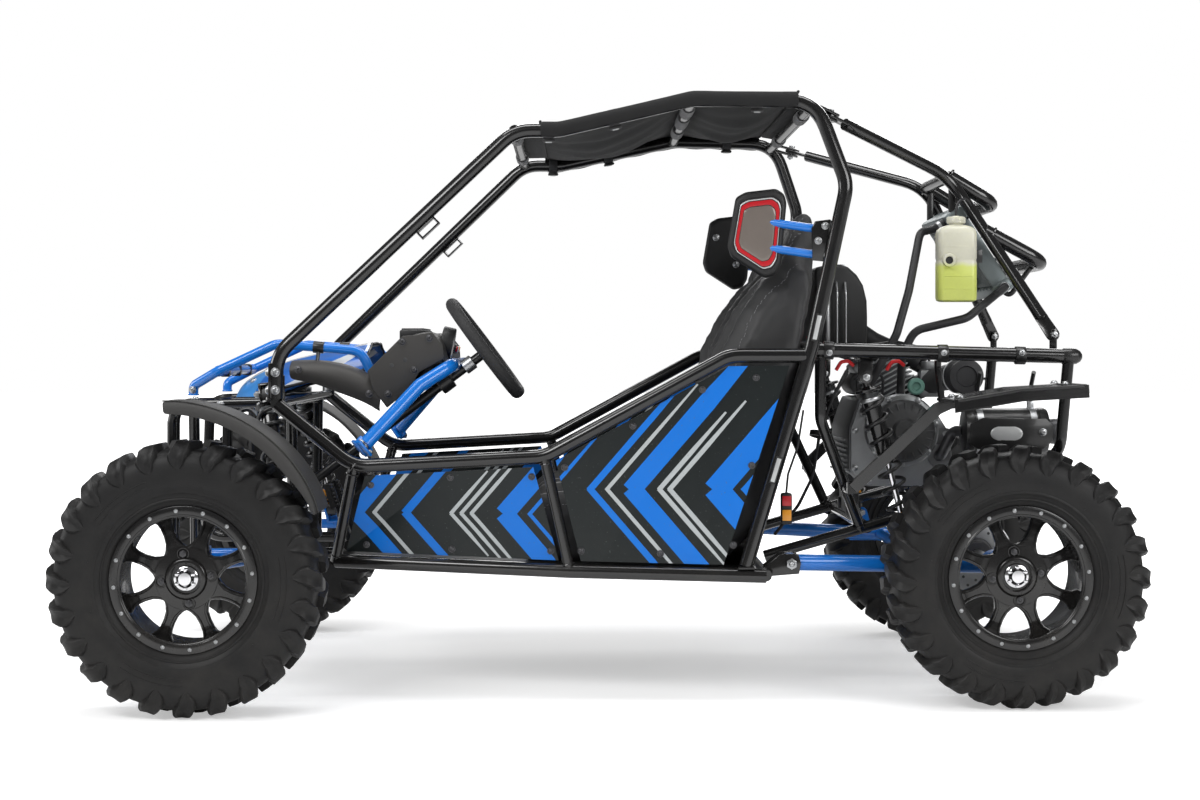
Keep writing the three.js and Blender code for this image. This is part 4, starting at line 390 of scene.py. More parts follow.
def sums(operation):
    """The plain and the swapped way to write one operation."""
    def plain(self, other):
        return self.maths(operation, self, other)

    def swapped(self, other):
        return self.maths(operation, other, self)
    return plain, swapped


SIGNS = (("add", "ADD"), ("sub", "SUBTRACT"), ("mul", "MULTIPLY"), ("truediv", "DIVIDE"),
    ("pow", "POWER"), ("lt", "LESS_THAN"), ("gt", "GREATER_THAN"))
for sign, operation in SIGNS:
    for name, method in zip(("__" + sign + "__", "__r" + sign + "__"), sums(operation)):
        setattr(Term, name, method)


def feed(value, socket):
    """Gives a socket a number, a colour or what another node puts out."""
    if isinstance(value, Term):
        socket.id_data.links.new(value.socket, socket)
    elif isinstance(value, tuple):
        socket.default_value = (*value[:3], 1)[:len(socket.default_value)]
    else:
        socket.default_value = value


def node(near, kind, inputs=None, **values):
    """A node in a tree, or beside a term, with its settings and inputs."""
    tree = near.socket.id_data if isinstance(near, Term) else near
    step = tree.nodes.new("ShaderNode" + kind)
    for name, value in values.items():
        setattr(step, name, value)
    return fed(step, inputs or {})


def fed(step, inputs):
    for place, value in inputs.items():
        feed(value, step.inputs[place])
    return step


def output(step, place=0):
    return Term(step.outputs[place])


def noise(vector, scale, detail=3.0, roughness=0.55):
    inputs = {"Vector": vector, "Scale": scale, "Detail": detail, "Roughness": roughness}
    return output(node(vector, "TexNoise", inputs), "Fac")


def axes(vector):
    split = node(vector, "SeparateXYZ", {0: vector})
    return [output(split, place) for place in range(3)]


def blend_colour(amount, first, second):
    inputs = {0: amount, 6: first, 7: second}
    return output(node(amount, "Mix", inputs, data_type="RGBA", clamp_factor=True), 2)


def mottle(vector, colour, scale, amount, rough, spread):
    """Uneven colour and gloss: cloudy patches and fine specks."""
    cloud, speck = noise(vector, scale, 4.0), noise(vector, scale * 9.0, 2.0)
    swing = (cloud * 0.7 + speck * 0.3 - 0.5) * 2.0
    scaled = node(vector, "VectorMath", {0: colour, "Scale": 1.0 + swing * amount}, operation="SCALE")
    return output(scaled), rough + swing * spread


def grain(vector, scale, pebble):
    """Height of a moulded or pebbled grain, and its creases."""
    cells = node(vector, "TexVoronoi", {"Vector": vector, "Scale": scale}, feature="DISTANCE_TO_EDGE")
    crease = (output(cells, "Distance") * 4.0).to("MINIMUM", 1.0)
    return crease * pebble + noise(vector, scale * 1.7, 2.0) * 0.4, crease


def weave(vector, scale):
    """Over-and-under threads of a plain weave."""
    waves = [(axis * scale).to("SINE") for axis in axes(vector)[:2]]
    warp, weft = [wave.to("ABSOLUTE") for wave in waves]
    check = waves[0] * waves[1] > 0.0
    return warp * check + weft * (1.0 - check), warp * weft


def dust_cloud(vector, colour, powder, amount, top):
    """Dry dust in clouds that thicken low down."""
    low = 1.0 - axes(vector)[2] / top
    mask = low.to("MAXIMUM", 0.12) * noise(vector, 14.0, 6.0, 0.65) ** 2.0
    mask = (mask * amount * 4.0).to("MINIMUM", 1.0)
    return blend_colour(mask, colour, powder), mask


def brushed(vector, scale):
    """Fine lines of turned or brushed metal."""
    stretch = node(vector, "VectorMath", {0: vector, 1: (1.0, 14.0, 14.0)}, operation="MULTIPLY")
    return [noise(output(stretch), scale, 5.0, 0.7)]


def slash(vector, x, z, turn, length, width, point):
    """One slanted bar with a pointed end, as a mask in the X and Z plane."""
    dx, dz = axes(vector)[0] - x, axes(vector)[2] - z
    cosine, sine = turn.to("COSINE"), turn.to("SINE")
    share, across = (dx * cosine + dz * sine) / length, dz * cosine - dx * sine
    narrow = 1.0 - share.to("MAXIMUM", 0.0) * point
    return [(across.to("ABSOLUTE") < width * narrow) * (share.to("ABSOLUTE") < 1.0)]


MID_GREY = (0.5, 0.5, 0.5, 1)

# Each effect's nodes, its inputs after the vector, and its outputs
EFFECTS = {
    "Mottle": (mottle, {"Colour": MID_GREY, "Scale": 12.0, "Amount": 0.15, "Roughness": 0.4,
        "Spread": 0.1}, ("Colour", "Roughness")),
    "Grain": (grain, {"Scale": 600.0, "Pebble": 0.7}, ("Height", "Crease")),
    "Weave": (weave, {"Scale": 900.0}, ("Height", "Thread")),
    "Dust": (dust_cloud, {"Colour": MID_GREY, "Dust": (0.32, 0.29, 0.25, 1), "Amount": 0.2,
        "Top": 0.45}, ("Colour", "Mask")),
    "Brushed": (brushed, {"Scale": 40.0}, ("Height",)),
    "Slash": (slash, {"X": 0.0, "Z": 0.0, "Turn": 0.9, "Half Length": 0.1, "Half Width": 0.01,
        "Point": 0.3}, ("Mask",)),
}
GROUPS = {}
FINISHES = {}


def effect(name):
    """An effect group, made when it is first asked for."""
    if name not in GROUPS:
        build, inputs, outputs = EFFECTS[name]
        tree = GROUPS[name] = bpy.data.node_groups.new(name, "ShaderNodeTree")
        face = tree.interface
        face.new_socket(name="Vector", in_out="INPUT", socket_type="NodeSocketVector")
        for label, value in inputs.items():
            kind = "Color" if isinstance(value, tuple) else "Float"
            socket = face.new_socket(name=label, in_out="INPUT", socket_type="NodeSocket" + kind)
            socket.default_value = value
        for label in outputs:
            kind = "Color" if label == "Colour" else "Float"
            face.new_socket(name=label, in_out="OUTPUT", socket_type="NodeSocket" + kind)
        source, target = tree.nodes.new("NodeGroupInput"), tree.nodes.new("NodeGroupOutput")
        results = build(*[output(source, place) for place in range(len(inputs) + 1)])
        fed(target, dict(enumerate(results)))
    return GROUPS[name]


def placed(name, vector, **values):
    """An effect group in a material, with its own values."""
    inputs = {label.replace("_", " "): value for label, value in values.items()}
    return node(vector, "Group", {"Vector": vector, **inputs}, node_tree=effect(name))


def blank_material(name):
    """A material with its shader and its object coordinates."""
    material = bpy.data.materials.new(name)
    material.use_nodes = True
    tree = material.node_tree
    return material, tree.nodes["Principled BSDF"], output(node(tree, "TexCoord"), "Object")


def bump_into(shader, height, strength, distance):
    bump = node(height, "Bump", {"Strength": strength, "Distance": distance, "Height": height})
    feed(output(bump), shader.inputs["Normal"])


def finish(name, colour, rough, metal=0.0, coat=0.0, sheen=0.0, specular=0.5, scale=12.0, amount=0.15,
        spread=0.06, dust=0.0, dust_top=0.45, texture=None):
    """A paint, plastic, rubber, metal or cloth finish."""
    material, shader, vector = blank_material(name)
    mottled = placed("Mottle", vector, Colour=colour, Scale=scale, Amount=amount, Roughness=rough,
        Spread=spread)
    shade = output(mottled)
    if dust:
        shade = output(placed("Dust", vector, Colour=shade, Amount=dust, Top=dust_top))
    fed(shader, {"Base Color": shade, "Roughness": output(mottled, 1), "Metallic": metal,
        "Coat Weight": coat, "Coat Roughness": 0.08, "Specular IOR Level": specular,
        "Sheen Weight": sheen})
    if texture:
        name, size, strength, distance = texture
        bump_into(shader, output(placed(name, vector, Scale=size)), strength, distance)
    return material


def panel_paint(name):
    """Satin panel paint with slanted bars in two colours."""
    material, shader, vector = blank_material(name)
    mottled = placed("Mottle", vector, Colour=(0.006, 0.0095, 0.0100), Scale=7.0, Amount=0.25,
        Roughness=0.33, Spread=0.05)
    colour = output(mottled)
    blue, pale = (0.0, 0.17, 0.68), (0.46, 0.49, 0.50)
    # Height, then for each chevron x, half length, half width and colour; each points forward
    rows = ((398, ((-540, 135, 16, blue), (-498, 135, 4, pale), (-430, 135, 9, blue),
        (-330, 62, 4, pale), (-308, 74, 4, pale), (-286, 86, 4, pale), (-214, 135, 20, blue),
        (-160, 135, 4, blue))), (452, ((-30, 210, 7, blue), (6, 150, 4, pale), (60, 250, 20, blue),
        (118, 110, 5, pale), (140, 126, 5, pale), (240, 300, 26, blue), (300, 300, 6, blue))))
    for z, bars in rows:
        for x, length, width, tone in bars:
            reach = length * METRE
            for turn in (-0.86, 0.86):
                mask = placed("Slash", vector, X=x * METRE + reach * cos(turn) * 0.98,
                    Z=z * METRE + reach * sin(turn) * 0.98, Turn=turn, Half_Length=reach,
                    Half_Width=width * METRE, Point=0.55)
                colour = blend_colour(output(mask), colour, tone)
    # A fine scatter of worn specks
    speck = noise(vector, 190.0, 2.0) > 0.70
    colour = blend_colour(speck * 0.35, colour, (0.10, 0.11, 0.11))
    colour = output(placed("Dust", vector, Colour=colour, Amount=0.02, Top=0.5))
    fed(shader, {"Base Color": colour, "Roughness": output(mottled, 1), "Coat Weight": 0.15,
        "Coat Roughness": 0.12, "Specular IOR Level": 0.3})
    bump_into(shader, output(placed("Grain", vector, Scale=240.0)), 0.05, 0.0005)
    return material


def bottle_plastic(name):
    """Milky plastic with coolant in its lower half."""
    material, shader, vector = blank_material(name)
    height = axes(vector)[2] + noise(vector, 30.0) * 0.01
    level = ((0.951 - height) * 90.0).to("MAXIMUM", 0.0).to("MINIMUM", 1.0)
    colour = blend_colour(level, (0.62, 0.61, 0.50), (0.60, 0.66, 0.16))
    mottled = placed("Mottle", vector, Colour=colour, Scale=18.0, Amount=0.14, Roughness=0.32,
        Spread=0.08)
    fed(shader, {"Base Color": output(mottled), "Roughness": output(mottled, 1),
        "Subsurface Weight": 0.25, "Subsurface Radius": (0.02, 0.02, 0.01)})
    return material


def hood_paint(name):
    """Painted hood: blue sides, pale flashes and a dark top."""
    material, shader, vector = blank_material(name)
    x_axis, y_axis = axes(vector)[:2]
    side = y_axis.to("ABSOLUTE")
    top = side < 0.105
    edge = (side > 0.105) * (side < 0.118)
    front = x_axis + side * 0.6 < -0.665
    mottled = placed("Mottle", vector, Colour=(0.012, 0.13, 0.50), Scale=9.0, Amount=0.12,
        Roughness=0.32, Spread=0.05)
    colour = blend_colour(top, output(mottled), (0.018, 0.019, 0.021))
    colour = blend_colour(front * (1.0 - top), colour, (0.05, 0.27, 0.66))
    colour = blend_colour(edge, colour, (0.60, 0.62, 0.63))
    for x, z, reach, width in ((-0.64, 0.70, 0.10, 0.012), (-0.60, 0.665, 0.12, 0.006)):
        mask = placed("Slash", vector, X=x, Z=z, Turn=0.5, Half_Length=reach, Half_Width=width,
            Point=0.6)
        colour = blend_colour(output(mask) * (side > 0.13), colour, (0.58, 0.60, 0.62))
    fed(shader, {"Base Color": colour, "Roughness": output(mottled, 1), "Coat Weight": 0.5})
    bump_into(shader, output(placed("Grain", vector, Scale=200.0)), 0.05, 0.0005)
    return material


PAINTED = {"panel paint": panel_paint, "bottle plastic": bottle_plastic, "hood paint": hood_paint}

# Colour or the setting that holds it, roughness, and what differs from a plain finish; a texture is an
# effect with its scale, strength and depth
RECIPES = {
    "gloss black": ("frame", 0.22, dict(coat=0.6, dust=0.05, texture=("Grain", 90.0, 0.035, 0.0004))),
    "bright blue": ("blue", 0.3,
        dict(coat=0.7, amount=0.06, dust=0.04, texture=("Grain", 90.0, 0.03, 0.0004))),
    "satin black": ((0.009, 0.009, 0.0095), 0.36,
        dict(coat=0.2, dust=0.03, texture=("Grain", 160.0, 0.06, 0.0006))),
    "rim black": ((0.006, 0.006, 0.0065), 0.26, dict(coat=0.35, amount=0.25, dust=0.05)),
    "moulded grey": ("cowl", 0.58, dict(amount=0.1, dust=0.06, texture=("Grain", 420.0, 0.22, 0.0005))),
    "fender plastic": ((0.032, 0.031, 0.030), 0.62,
        dict(amount=0.1, texture=("Grain", 600.0, 0.2, 0.0006))),
    "moulded black": ((0.012, 0.012, 0.0125), 0.5, dict(texture=("Grain", 420.0, 0.22, 0.0005))),
    "tyre rubber": ((0.009, 0.009, 0.0095), 0.5,
        dict(amount=0.4, scale=16.0, spread=0.14, dust=0.03, dust_top=0.7, specular=0.3,
            texture=("Grain", 260.0, 0.16, 0.0006))),
    "hose rubber": ((0.02, 0.02, 0.022), 0.5, dict(amount=0.2, texture=("Grain", 700.0, 0.1, 0.0006))),
    "grip foam": ((0.02, 0.02, 0.021), 0.62, dict(texture=("Grain", 1400.0, 0.35, 0.0005))),
    "leatherette": ("seat", 0.5, dict(amount=0.14, sheen=0.08, texture=("Grain", 520.0, 0.32, 0.0005))),
    "stitching": ((0.30, 0.30, 0.31), 0.7, dict(texture=("Weave", 3000.0, 0.3, 0.0006))),
    "canvas": ("canvas", 0.85,
        dict(amount=0.3, scale=9.0, sheen=0.05, texture=("Weave", 2400.0, 0.45, 0.0005))),
    "webbing": ((0.20, 0.20, 0.205), 0.75,
        dict(amount=0.2, sheen=0.2, texture=("Weave", 3200.0, 0.5, 0.0005))),
    "black webbing": ((0.022, 0.022, 0.024), 0.75,
        dict(sheen=0.2, texture=("Weave", 3200.0, 0.5, 0.0005))),
    "zinc steel": ((0.52, 0.53, 0.54), 0.36,
        dict(metal=1.0, amount=0.2, spread=0.12, texture=("Brushed", 60.0, 0.08, 0.0003))),
    "dark steel": ((0.10, 0.10, 0.105), 0.4,
        dict(metal=0.8, amount=0.25, texture=("Brushed", 60.0, 0.1, 0.0003))),
    "chrome": ((0.80, 0.80, 0.82), 0.12, dict(metal=1.0, amount=0.05, spread=0.04)),
    "cast silver": ((0.36, 0.37, 0.38), 0.45,
        dict(metal=0.85, amount=0.25, scale=20.0, dust=0.12, dust_top=0.9,
            texture=("Grain", 380.0, 0.3, 0.0006))),
    "cast dark": ((0.055, 0.057, 0.06), 0.5,
        dict(metal=0.4, amount=0.3, scale=20.0, dust=0.1, dust_top=0.9,
            texture=("Grain", 380.0, 0.3, 0.0006))),
    "radiator grey": ((0.20, 0.23, 0.235), 0.42,
        dict(metal=0.6, amount=0.2, texture=("Brushed", 50.0, 0.1, 0.0006))),
    "warm red": ((0.48, 0.003, 0.010), 0.35, dict(coat=0.4, amount=0.1)),
    "red rubber": ((0.62, 0.012, 0.015), 0.5, dict(amount=0.1)),
    "amber": ((0.75, 0.30, 0.01), 0.3, dict(coat=0.5, amount=0.1)),
    "light silver": ((0.55, 0.56, 0.56), 0.4, dict(metal=0.5, amount=0.1)),
    "guard plate": ((0.20, 0.17, 0.15), 0.3, dict(metal=0.3, coat=0.3, amount=0.12)),
    "teal port": ((0.10, 0.22, 0.18), 0.45, dict(amount=0.2)),
}


def look(name):
    """A finish by its plain name, made when it is first asked for."""
    if name not in FINISHES:
        if name in PAINTED:
            FINISHES[name] = PAINTED[name](name)
        else:
            colour, rough, values = RECIPES[name]
            if isinstance(colour, str):
                colour = tuple(getattr(bpy.context.scene.kart_colours, colour))
            FINISHES[name] = finish(name, colour, rough, **values)
    return FINISHES[name]




# Frames, arms, axle, chain and shocks

MAIN_TUBE, THIN_TUBE, ARM_TUBE, BAR_TUBE = 31, 25, 36, 22
CHAIN_PITCH = 12.7
TEETH = 38
REAR_AXLE = (866, 274.6)


def frame_at(origin, along, across):
    """A matrix with +X along one direction and +Z as near as it can be to another."""
    x = Vector(along).normalized()
    z = Vector(across)
    z = (z - x * z.dot(x)).normalized()
    y = z.cross(x)
    turn = Matrix((x, y, z)).transposed().to_4x4()
    return Matrix.Translation(Vector(origin)) @ turn


def through_bolt(place, axis, half, across, material):
    axis = Vector(axis).normalized()
    place = Vector(place)
    return [disc(place - axis * half, place + axis * half, across * 0.3, material, 14, 0.3),
        hexagon(place + axis * (half - across * 0.25), axis, across, across * 0.42, material, False),
        hexagon(place - axis * (half - across * 0.25), -axis, across, across * 0.5, material)]


def ears(eye, outward, bolt_axis, reach, paint, metal):
    """Two plates beside an eye, joined by a cross plate, with their bolt."""
    inner, plate, half = 11.4, 6.0, 14.0
    place = frame_at(eye, outward, bolt_axis)
    outline = [(half * cos(a), half * sin(a)) for a in turns(16, pi / 2)[:9]]
    outline += [(reach, -half), (reach, half)]
    parts = Parts()
    for low in (inner, -inner - plate):
        ear = prism(outline, low, low + plate, paint, 1.0, "Z")
        ear.data.transform(place)
        parts.append(ear)
    bridge = block((reach - plate, -half, -inner - plate), (reach, half, inner + plate), paint, 1.0,
        place)
    return parts + [bridge] + through_bolt(eye, bolt_axis, inner + plate + 5, 17, metal)


def cross_bar(x, half, z, diameter, material):
    """A tube across the frame with a weld bead at each end."""
    inset, size = diameter * 0.6, diameter / 2
    return [pipe([(x, -half, z), (x, half, z)], diameter, material),
        bead((x, -half + inset, z), RIGHT, size, material),
        bead((x, half - inset, z), RIGHT, size, material)]


def strut(points, diameter, material, bend=0):
    """A tube with a weld bead at each end."""
    points = [Vector(p) for p in points]
    first, last = points[1] - points[0], points[-2] - points[-1]
    inset, size = diameter * 0.62, diameter / 2
    return [pipe(points, diameter, material, bend),
        bead(points[0] + first.normalized() * inset, first, size, material),
        bead(points[-1] + last.normalized() * inset, last, size, material)]


def build_lower_frame():
    paint, metal = "gloss black", "zinc steel"
    parts = Parts()
    for x, half, z in ((-704, 462, 634), (-704, 262, 414), (-588, 366, 288), (-74, 469.7, 276.5),
            (346, 480, 267), (-977, 208, 461)):
        parts += cross_bar(x, half, z, THIN_TUBE, paint)
    for s in BOTH:
        parts.pipe(flip([(-704, 455.7, 634), (-538, 462, 500), (-128, 480, 522), (268, 480, 738),
            (430, 480, 738)], s), MAIN_TUBE, paint, 90)
        parts.pipe(flip([(-588, 366, 288), (-74, 469.7, 276.5), (346, 480, 267)], s), MAIN_TUBE, paint)
        parts.pipe(flip([(-704, 235.5, 634), (-970.7, 220, 627.8), (-977, 196, 288), (-588, 196, 288)],
            s), THIN_TUBE, paint, 45)
        for foot, head in (((-927, 196, 288), (-927, 220, 634)),
                ((-704, 202.2, 288), (-704, 235.5, 634)), ((-588, 366, 288), (-538, 462, 500)),
                ((-74, 469.7, 276.5), (-128, 480, 522))):
            parts += strut(flip([foot, head], s), THIN_TUBE, paint)
        parts.bead((-538, s * 462, 500), (0.78, 0, -0.63), 16, paint)
        for x in (-928.4, -792.6):
            parts.block((x - 3, s * 202, 274.5), (x + 3, s * 245.5, 301.5), paint, 2.5)
            parts.hexagon((x + copysign(3, x + 860), s * 232, 288), (copysign(1, x + 860), 0, 0), 17, 7,
                metal)
        for y in (404.6, 449.4):
            outline = [(346, 262), (420, 268), (424, 291), (418, 311), (380, 311), (346, 284)]
            parts.prism(outline, s * y - 3, s * y + 3, paint, 1.5)
        parts += through_bolt((402, s * 430, 291), RIGHT, 36, 24, metal)
        parts.block((-719.5, s * 440.1, 634), (-688.5, s * 446.1, 696), paint, 2.5)
        for z in (652, 680):
            parts.bolt((-704, s * 440.1, z), (0, -s, 0), 9, metal)
        parts.prism([(-769.4, 640), (-734.6, 640), (-734.6, 674.8), (-769.4, 674.8)], s * 235.5,
            s * 241.5, paint, 1.2)
        parts.block((-769.4, s * 235.5, 668.8), (-734.6, s * 264, 674.8), paint, 1.5)
        top = V(-752, s * 276, 650)
        parts += ears(top, top - V(-694, s * 428, 338), BACK, 24, paint, metal)
        parts.block((-779, s * 120, 277), (-745, s * 196, 288), paint, 2)
        parts.block((-779, s * 120, 277), (-745, s * 167, 337), "cast dark", 4)
        for x in (-774, -750):
            parts.bolt((x, s * 136, 337), UP, 4.5, metal)
            parts.bolt((x, s * 155, 337), UP, 4.5, metal)
    turn = frame_at((-695, -230, 423.5), (-211, 0, -158), RIGHT)
    parts.block((-20, -20, -20), (20, 20, 20), paint, 4, turn)
    parts.block((-718, -262, 392), (-672, -198, 404), paint, 2)
    finished(parts, "lower_frame_tubes", "chassis", 40, ["lower_frame"])


CAGE_SIDE = [(-704, 462, 645.2), (-704, 462, 738), (-194, 415, 1226), (-98, 418, 1226), (190, 440, 1290),
    (455, 455, 1286), (519, 480, 1104), (444, 480, 756), (303, 480, 288.2)]


def build_roll_cage():
    paint, metal = "gloss black", "zinc steel"
    parts = Parts()
    for x, half, z in ((-194, 415, 1226), (190, 440, 1290), (444.5, 456, 1271.6), (444, 480, 756)):
        parts += cross_bar(x, half, z, THIN_TUBE, paint)
    for s in BOTH:
        parts.pipe(flip(CAGE_SIDE, s), MAIN_TUBE, paint, 90)
        parts.block((303 - 18.5, s * 480 - 18.5, 282.2), (303 + 18.5, s * 480 + 18.5, 288.2), paint, 2.5)
        parts.block((-719.5, s * 447, 645), (-712, s * 477, 722), paint, 2)
        for z in (664, 702):
            parts.bolt((-719.5, s * 462, z), (-1, 0, 0), 9, metal)
            parts.bolt((-704, s * 477.4, z), (0, s, 0), 8, metal)
        low, high = sorted((s * 464.4, s * 472.25))
        outline = [(446, 942), (486, 938), (493, 948), (493, 1022), (484, 1030), (452, 1026),
            (444, 1010)]
        parts.prism(outline, low, high, paint, 1.5)
        for place in ((473, 1016), (478, 952), (458, 984)):
            parts.bolt((place[0], s * 472.25, place[1]), (0, s, 0), 6.5, metal)
        # Open rectangular brackets on the front pillars
        turn = frame_at((-397, s * 426.7, 1032), (510, -s * 47, 488), RIGHT)
        for low, high in (((-26, 13, -4), (26, 17, 20)), ((-26, 13, -4), (-22, 34, 20)),
                ((22, 13, -4), (26, 34, 20)), ((-26, 30, -4), (26, 34, 20))):
            parts.block(low, high, paint, 1.0, turn)
    for y in (-340, -120, 120, 340):
        parts.block((438, y - 12, 739), (450, y + 12, 745), paint, 1.5)
    finished(parts, "roll_cage_tubes", "chassis", 40, ["roll_cage"])


def build_reflectors():
    """Thin strips on the hoop's legs."""
    parts = Parts()
    for s in BOTH:
        for share in (0.2, 0.56):
            top, foot = V(519, s * 480, 1104), V(303, s * 480, 288)
            knee = V(444, s * 480, 756)
            place = knee.lerp(top, share * 0.6) if share < 0.4 else knee.lerp(foot, share)
            along = (top - knee) if share < 0.4 else (foot - knee)
            turn = frame_at(place, along, (0, s, 0))
            parts.block((-30, -7, 14.6), (30, 7, 17), "moulded black", 0.8, turn)
            parts.block((-26, -4.5, 16.6), (26, 4.5, 18.4), "light silver", 0.6, turn)
    finished(parts, "leg_reflectors", "chassis", 40)


def build_rear_frame():
    paint, metal = "gloss black", "zinc steel"
    parts = Parts()
    for x, half, z, size in ((508, 421.6, 749.3, 25), (560, 419.6, 748, 25), (1012, 402.4, 736.3, 25),
            (588, 300, 354.5, 25), (786, 300, 412.5, 25), (962, 300, 464, 25)):
        parts += cross_bar(x, half, z, size, paint)
    for s in BOTH:
        parts.pipe(flip([(450, 424, 750.7), (1022, 402, 736)], s), 32, paint, 0, 5)
        parts.turned([(0, -6), (17, -6), (18, -3), (18, 12), (16.5, 24), (12, 32), (6, 36), (0, 37)],
            (1004, s * 402, 736), BACK, "satin black", 28)
        parts.pipe(flip([(1012, 402, 736.3), (994, 402, 538), (962, 300, 464), (358.9, 300, 291)], s),
            THIN_TUBE, paint, 45)
        parts += strut(flip([(469, 423, 750.4), (469, 423, 600), (574, 300, 350.4)], s), THIN_TUBE,
            paint, 45)
        parts += strut(flip([(534, 346.8, 445), (537, 423.6, 452)], s), THIN_TUBE, paint)
        for x in (486, 735, 905):
            y = 424 - 22 * (x - 450) / 572
            parts.disc((x - 11, s * y, 750 - (x - 450) * 0.0257),
                (x + 11, s * y, 749.5 - (x - 450) * 0.0257), 19.5, "satin black", 32, 1.2)
            parts.bolt((x, s * y + s * 19, 744), (0, s, 0), 5.5, metal)
        top = V(574, s * 364, 690)
        parts += ears(top, (0.02, 0, 1), RIGHT, 46, paint, metal)
        parts.block((553, s * 352, 728), (585, s * 376, 742), paint, 2)
        end = V(997, s * 318, 784)
        parts.block((992, s * 318 - 12, 738), (1004, s * 318 - 6, 796), paint, 2)
        parts.block((992, s * 318 + 6, 738), (1004, s * 318 + 12, 796), paint, 2)
        parts += through_bolt(end, RIGHT, 17, 15, metal)
    finished(parts, "rear_frame_tubes", "chassis", 40, ["rear_frame"])


def tongue(place, along, bolt_axis, paint, metal):
    """A tube end pressed flat and bolted."""
    turn = frame_at(place, along, bolt_axis)
    outline = [(15 * cos(a), 15 * sin(a)) for a in turns(16, pi / 2)[:9]]
    outline += [(48, -13.5), (48, 13.5)]
    flat = prism(outline, -3.5, 3.5, paint, 1.4, "Z")
    rings = []
    for x, half, high in ((42, 14.5, 3.6), (52, 14.3, 5), (62, 13.9, 9), (72, 13.5, 12.5),
            (78, 13.5, 13.5)):
        rings.append([V(x, half * cos(a), high * sin(a)) for a in turns(20)])
    neck = lofted(rings, paint)
    for obj in (flat, neck):
        obj.data.transform(turn)
    return [flat, neck] + through_bolt(place, bolt_axis, 13, 15, metal)


def build_rear_brace():
    paint, metal = "gloss black", "zinc steel"
    parts = Parts()
    for s in BOTH:
        head, bend_at, foot = V(516, s * 373, 1251), V(798, s * 152, 1148), V(983.2, s * 306.5, 809.3)
        top, end = V(492.5, s * 392, 1259.6), V(997, s * 318, 784)
        parts.pipe([head + (head - top) * 0.6, bend_at, foot - (end - foot) * 0.5], 27, paint, 90)
        parts += tongue(top, bend_at - top, (0.2, 0, 1), paint, metal)
        parts += tongue(end, bend_at - end, RIGHT, paint, metal)
        # Short clevis on the hoop's top cross tube
        turn = frame_at(top, bend_at - top, (0.2, 0, 1))
        for low in (4.2, -10.2):
            parts.block((-46, -15, low), (15, 15, low + 6), paint, 2, turn)
    parts.pipe([(798, -152, 1148), (900, -152, 1086), (900, 152, 1086), (798, 152, 1148)], 34, paint, 45,
        5)
    parts.pipe([(798, 152, 1148), (798, -152, 1148)], 27, paint)
    parts.pipe([(867.7, -210, 1020.6), (1000, -210, 948), (1000, 210, 948), (867.7, 210, 1020.6)], 34,
        paint, 45, 5)
    for s in BOTH:
        parts.bead((798, s * 152, 1148), (102, 0, -62), 18, paint)
        parts.bead((885, s * 210, 1011), (132, 0, -72), 17.5, paint)
        parts.bolt((900, s * 90, 1103), UP, 7, metal)
    finished(parts, "rear_struts", "chassis", 40, ["rear_brace"])


def build_brush_guard():
    paint, metal = "bright blue", "zinc steel"
    parts = Parts([pipe([(-868, -252, 702), (-868, 252, 702)], BAR_TUBE, paint)])
    for s in BOTH:
        parts.pipe(flip([(-928, 220, 646.9), (-928, 220, 668.9), (-868, 252, 702), (-735, 252, 764),
            (-545, 252, 748), (-523, 252, 702)], s), BAR_TUBE, paint, 45)
        parts.block((-939, s * 220 - 11, 646.9), (-917, s * 220 + 11, 651), paint, 1.5)
        parts.bolt((-928, s * (220 + 11), 660), (0, s, 0), 6.5, metal)
        parts.bead((-868, s * 240, 702), RIGHT, 11, paint)
        parts.disc((-652, s * 252, 757), (-628, s * 252, 755), 13.5, "satin black", 24, 1)
    for y in (-150, 0, 150):
        parts.block((-880, y - 10, 688), (-856, y + 10, 716), "satin black", 5)
    finished(parts, "front_bars", "chassis", 40, ["brush_guard"])


def build_dash_hoop():
    paint, metal = "bright blue", "zinc steel"
    route_points = [(-516, -438, 546), (-404, -362, 672), (-336, -326, 716), (-336, 326, 716),
        (-404, 362, 672), (-516, 438, 546)]
    parts = Parts([pipe(route_points, MAIN_TUBE, paint, 45, 5)])
    for s in BOTH:
        foot = V(-516, s * 438, 546)
        turn = frame_at(foot, (-112, s * 76, -126), (0.5, s * 0.5, 0.1))
        parts.block((-6, -22, -4), (18, 22, 4), paint, 2.5, turn)
        parts.block((8, -22, -19), (15, 22, 19), paint, 2.5, turn)
        for side in BOTH:
            where = turn @ V(8, side * 15, 12)
            parts.bolt(where, (112, -s * 76, 126), 6, metal)
        parts.bolt(turn @ V(2, 0, 4), turn.to_3x3() @ UP, 7, metal)
    finished(parts, "dash_bar", "chassis", 40, ["dash_hoop"])


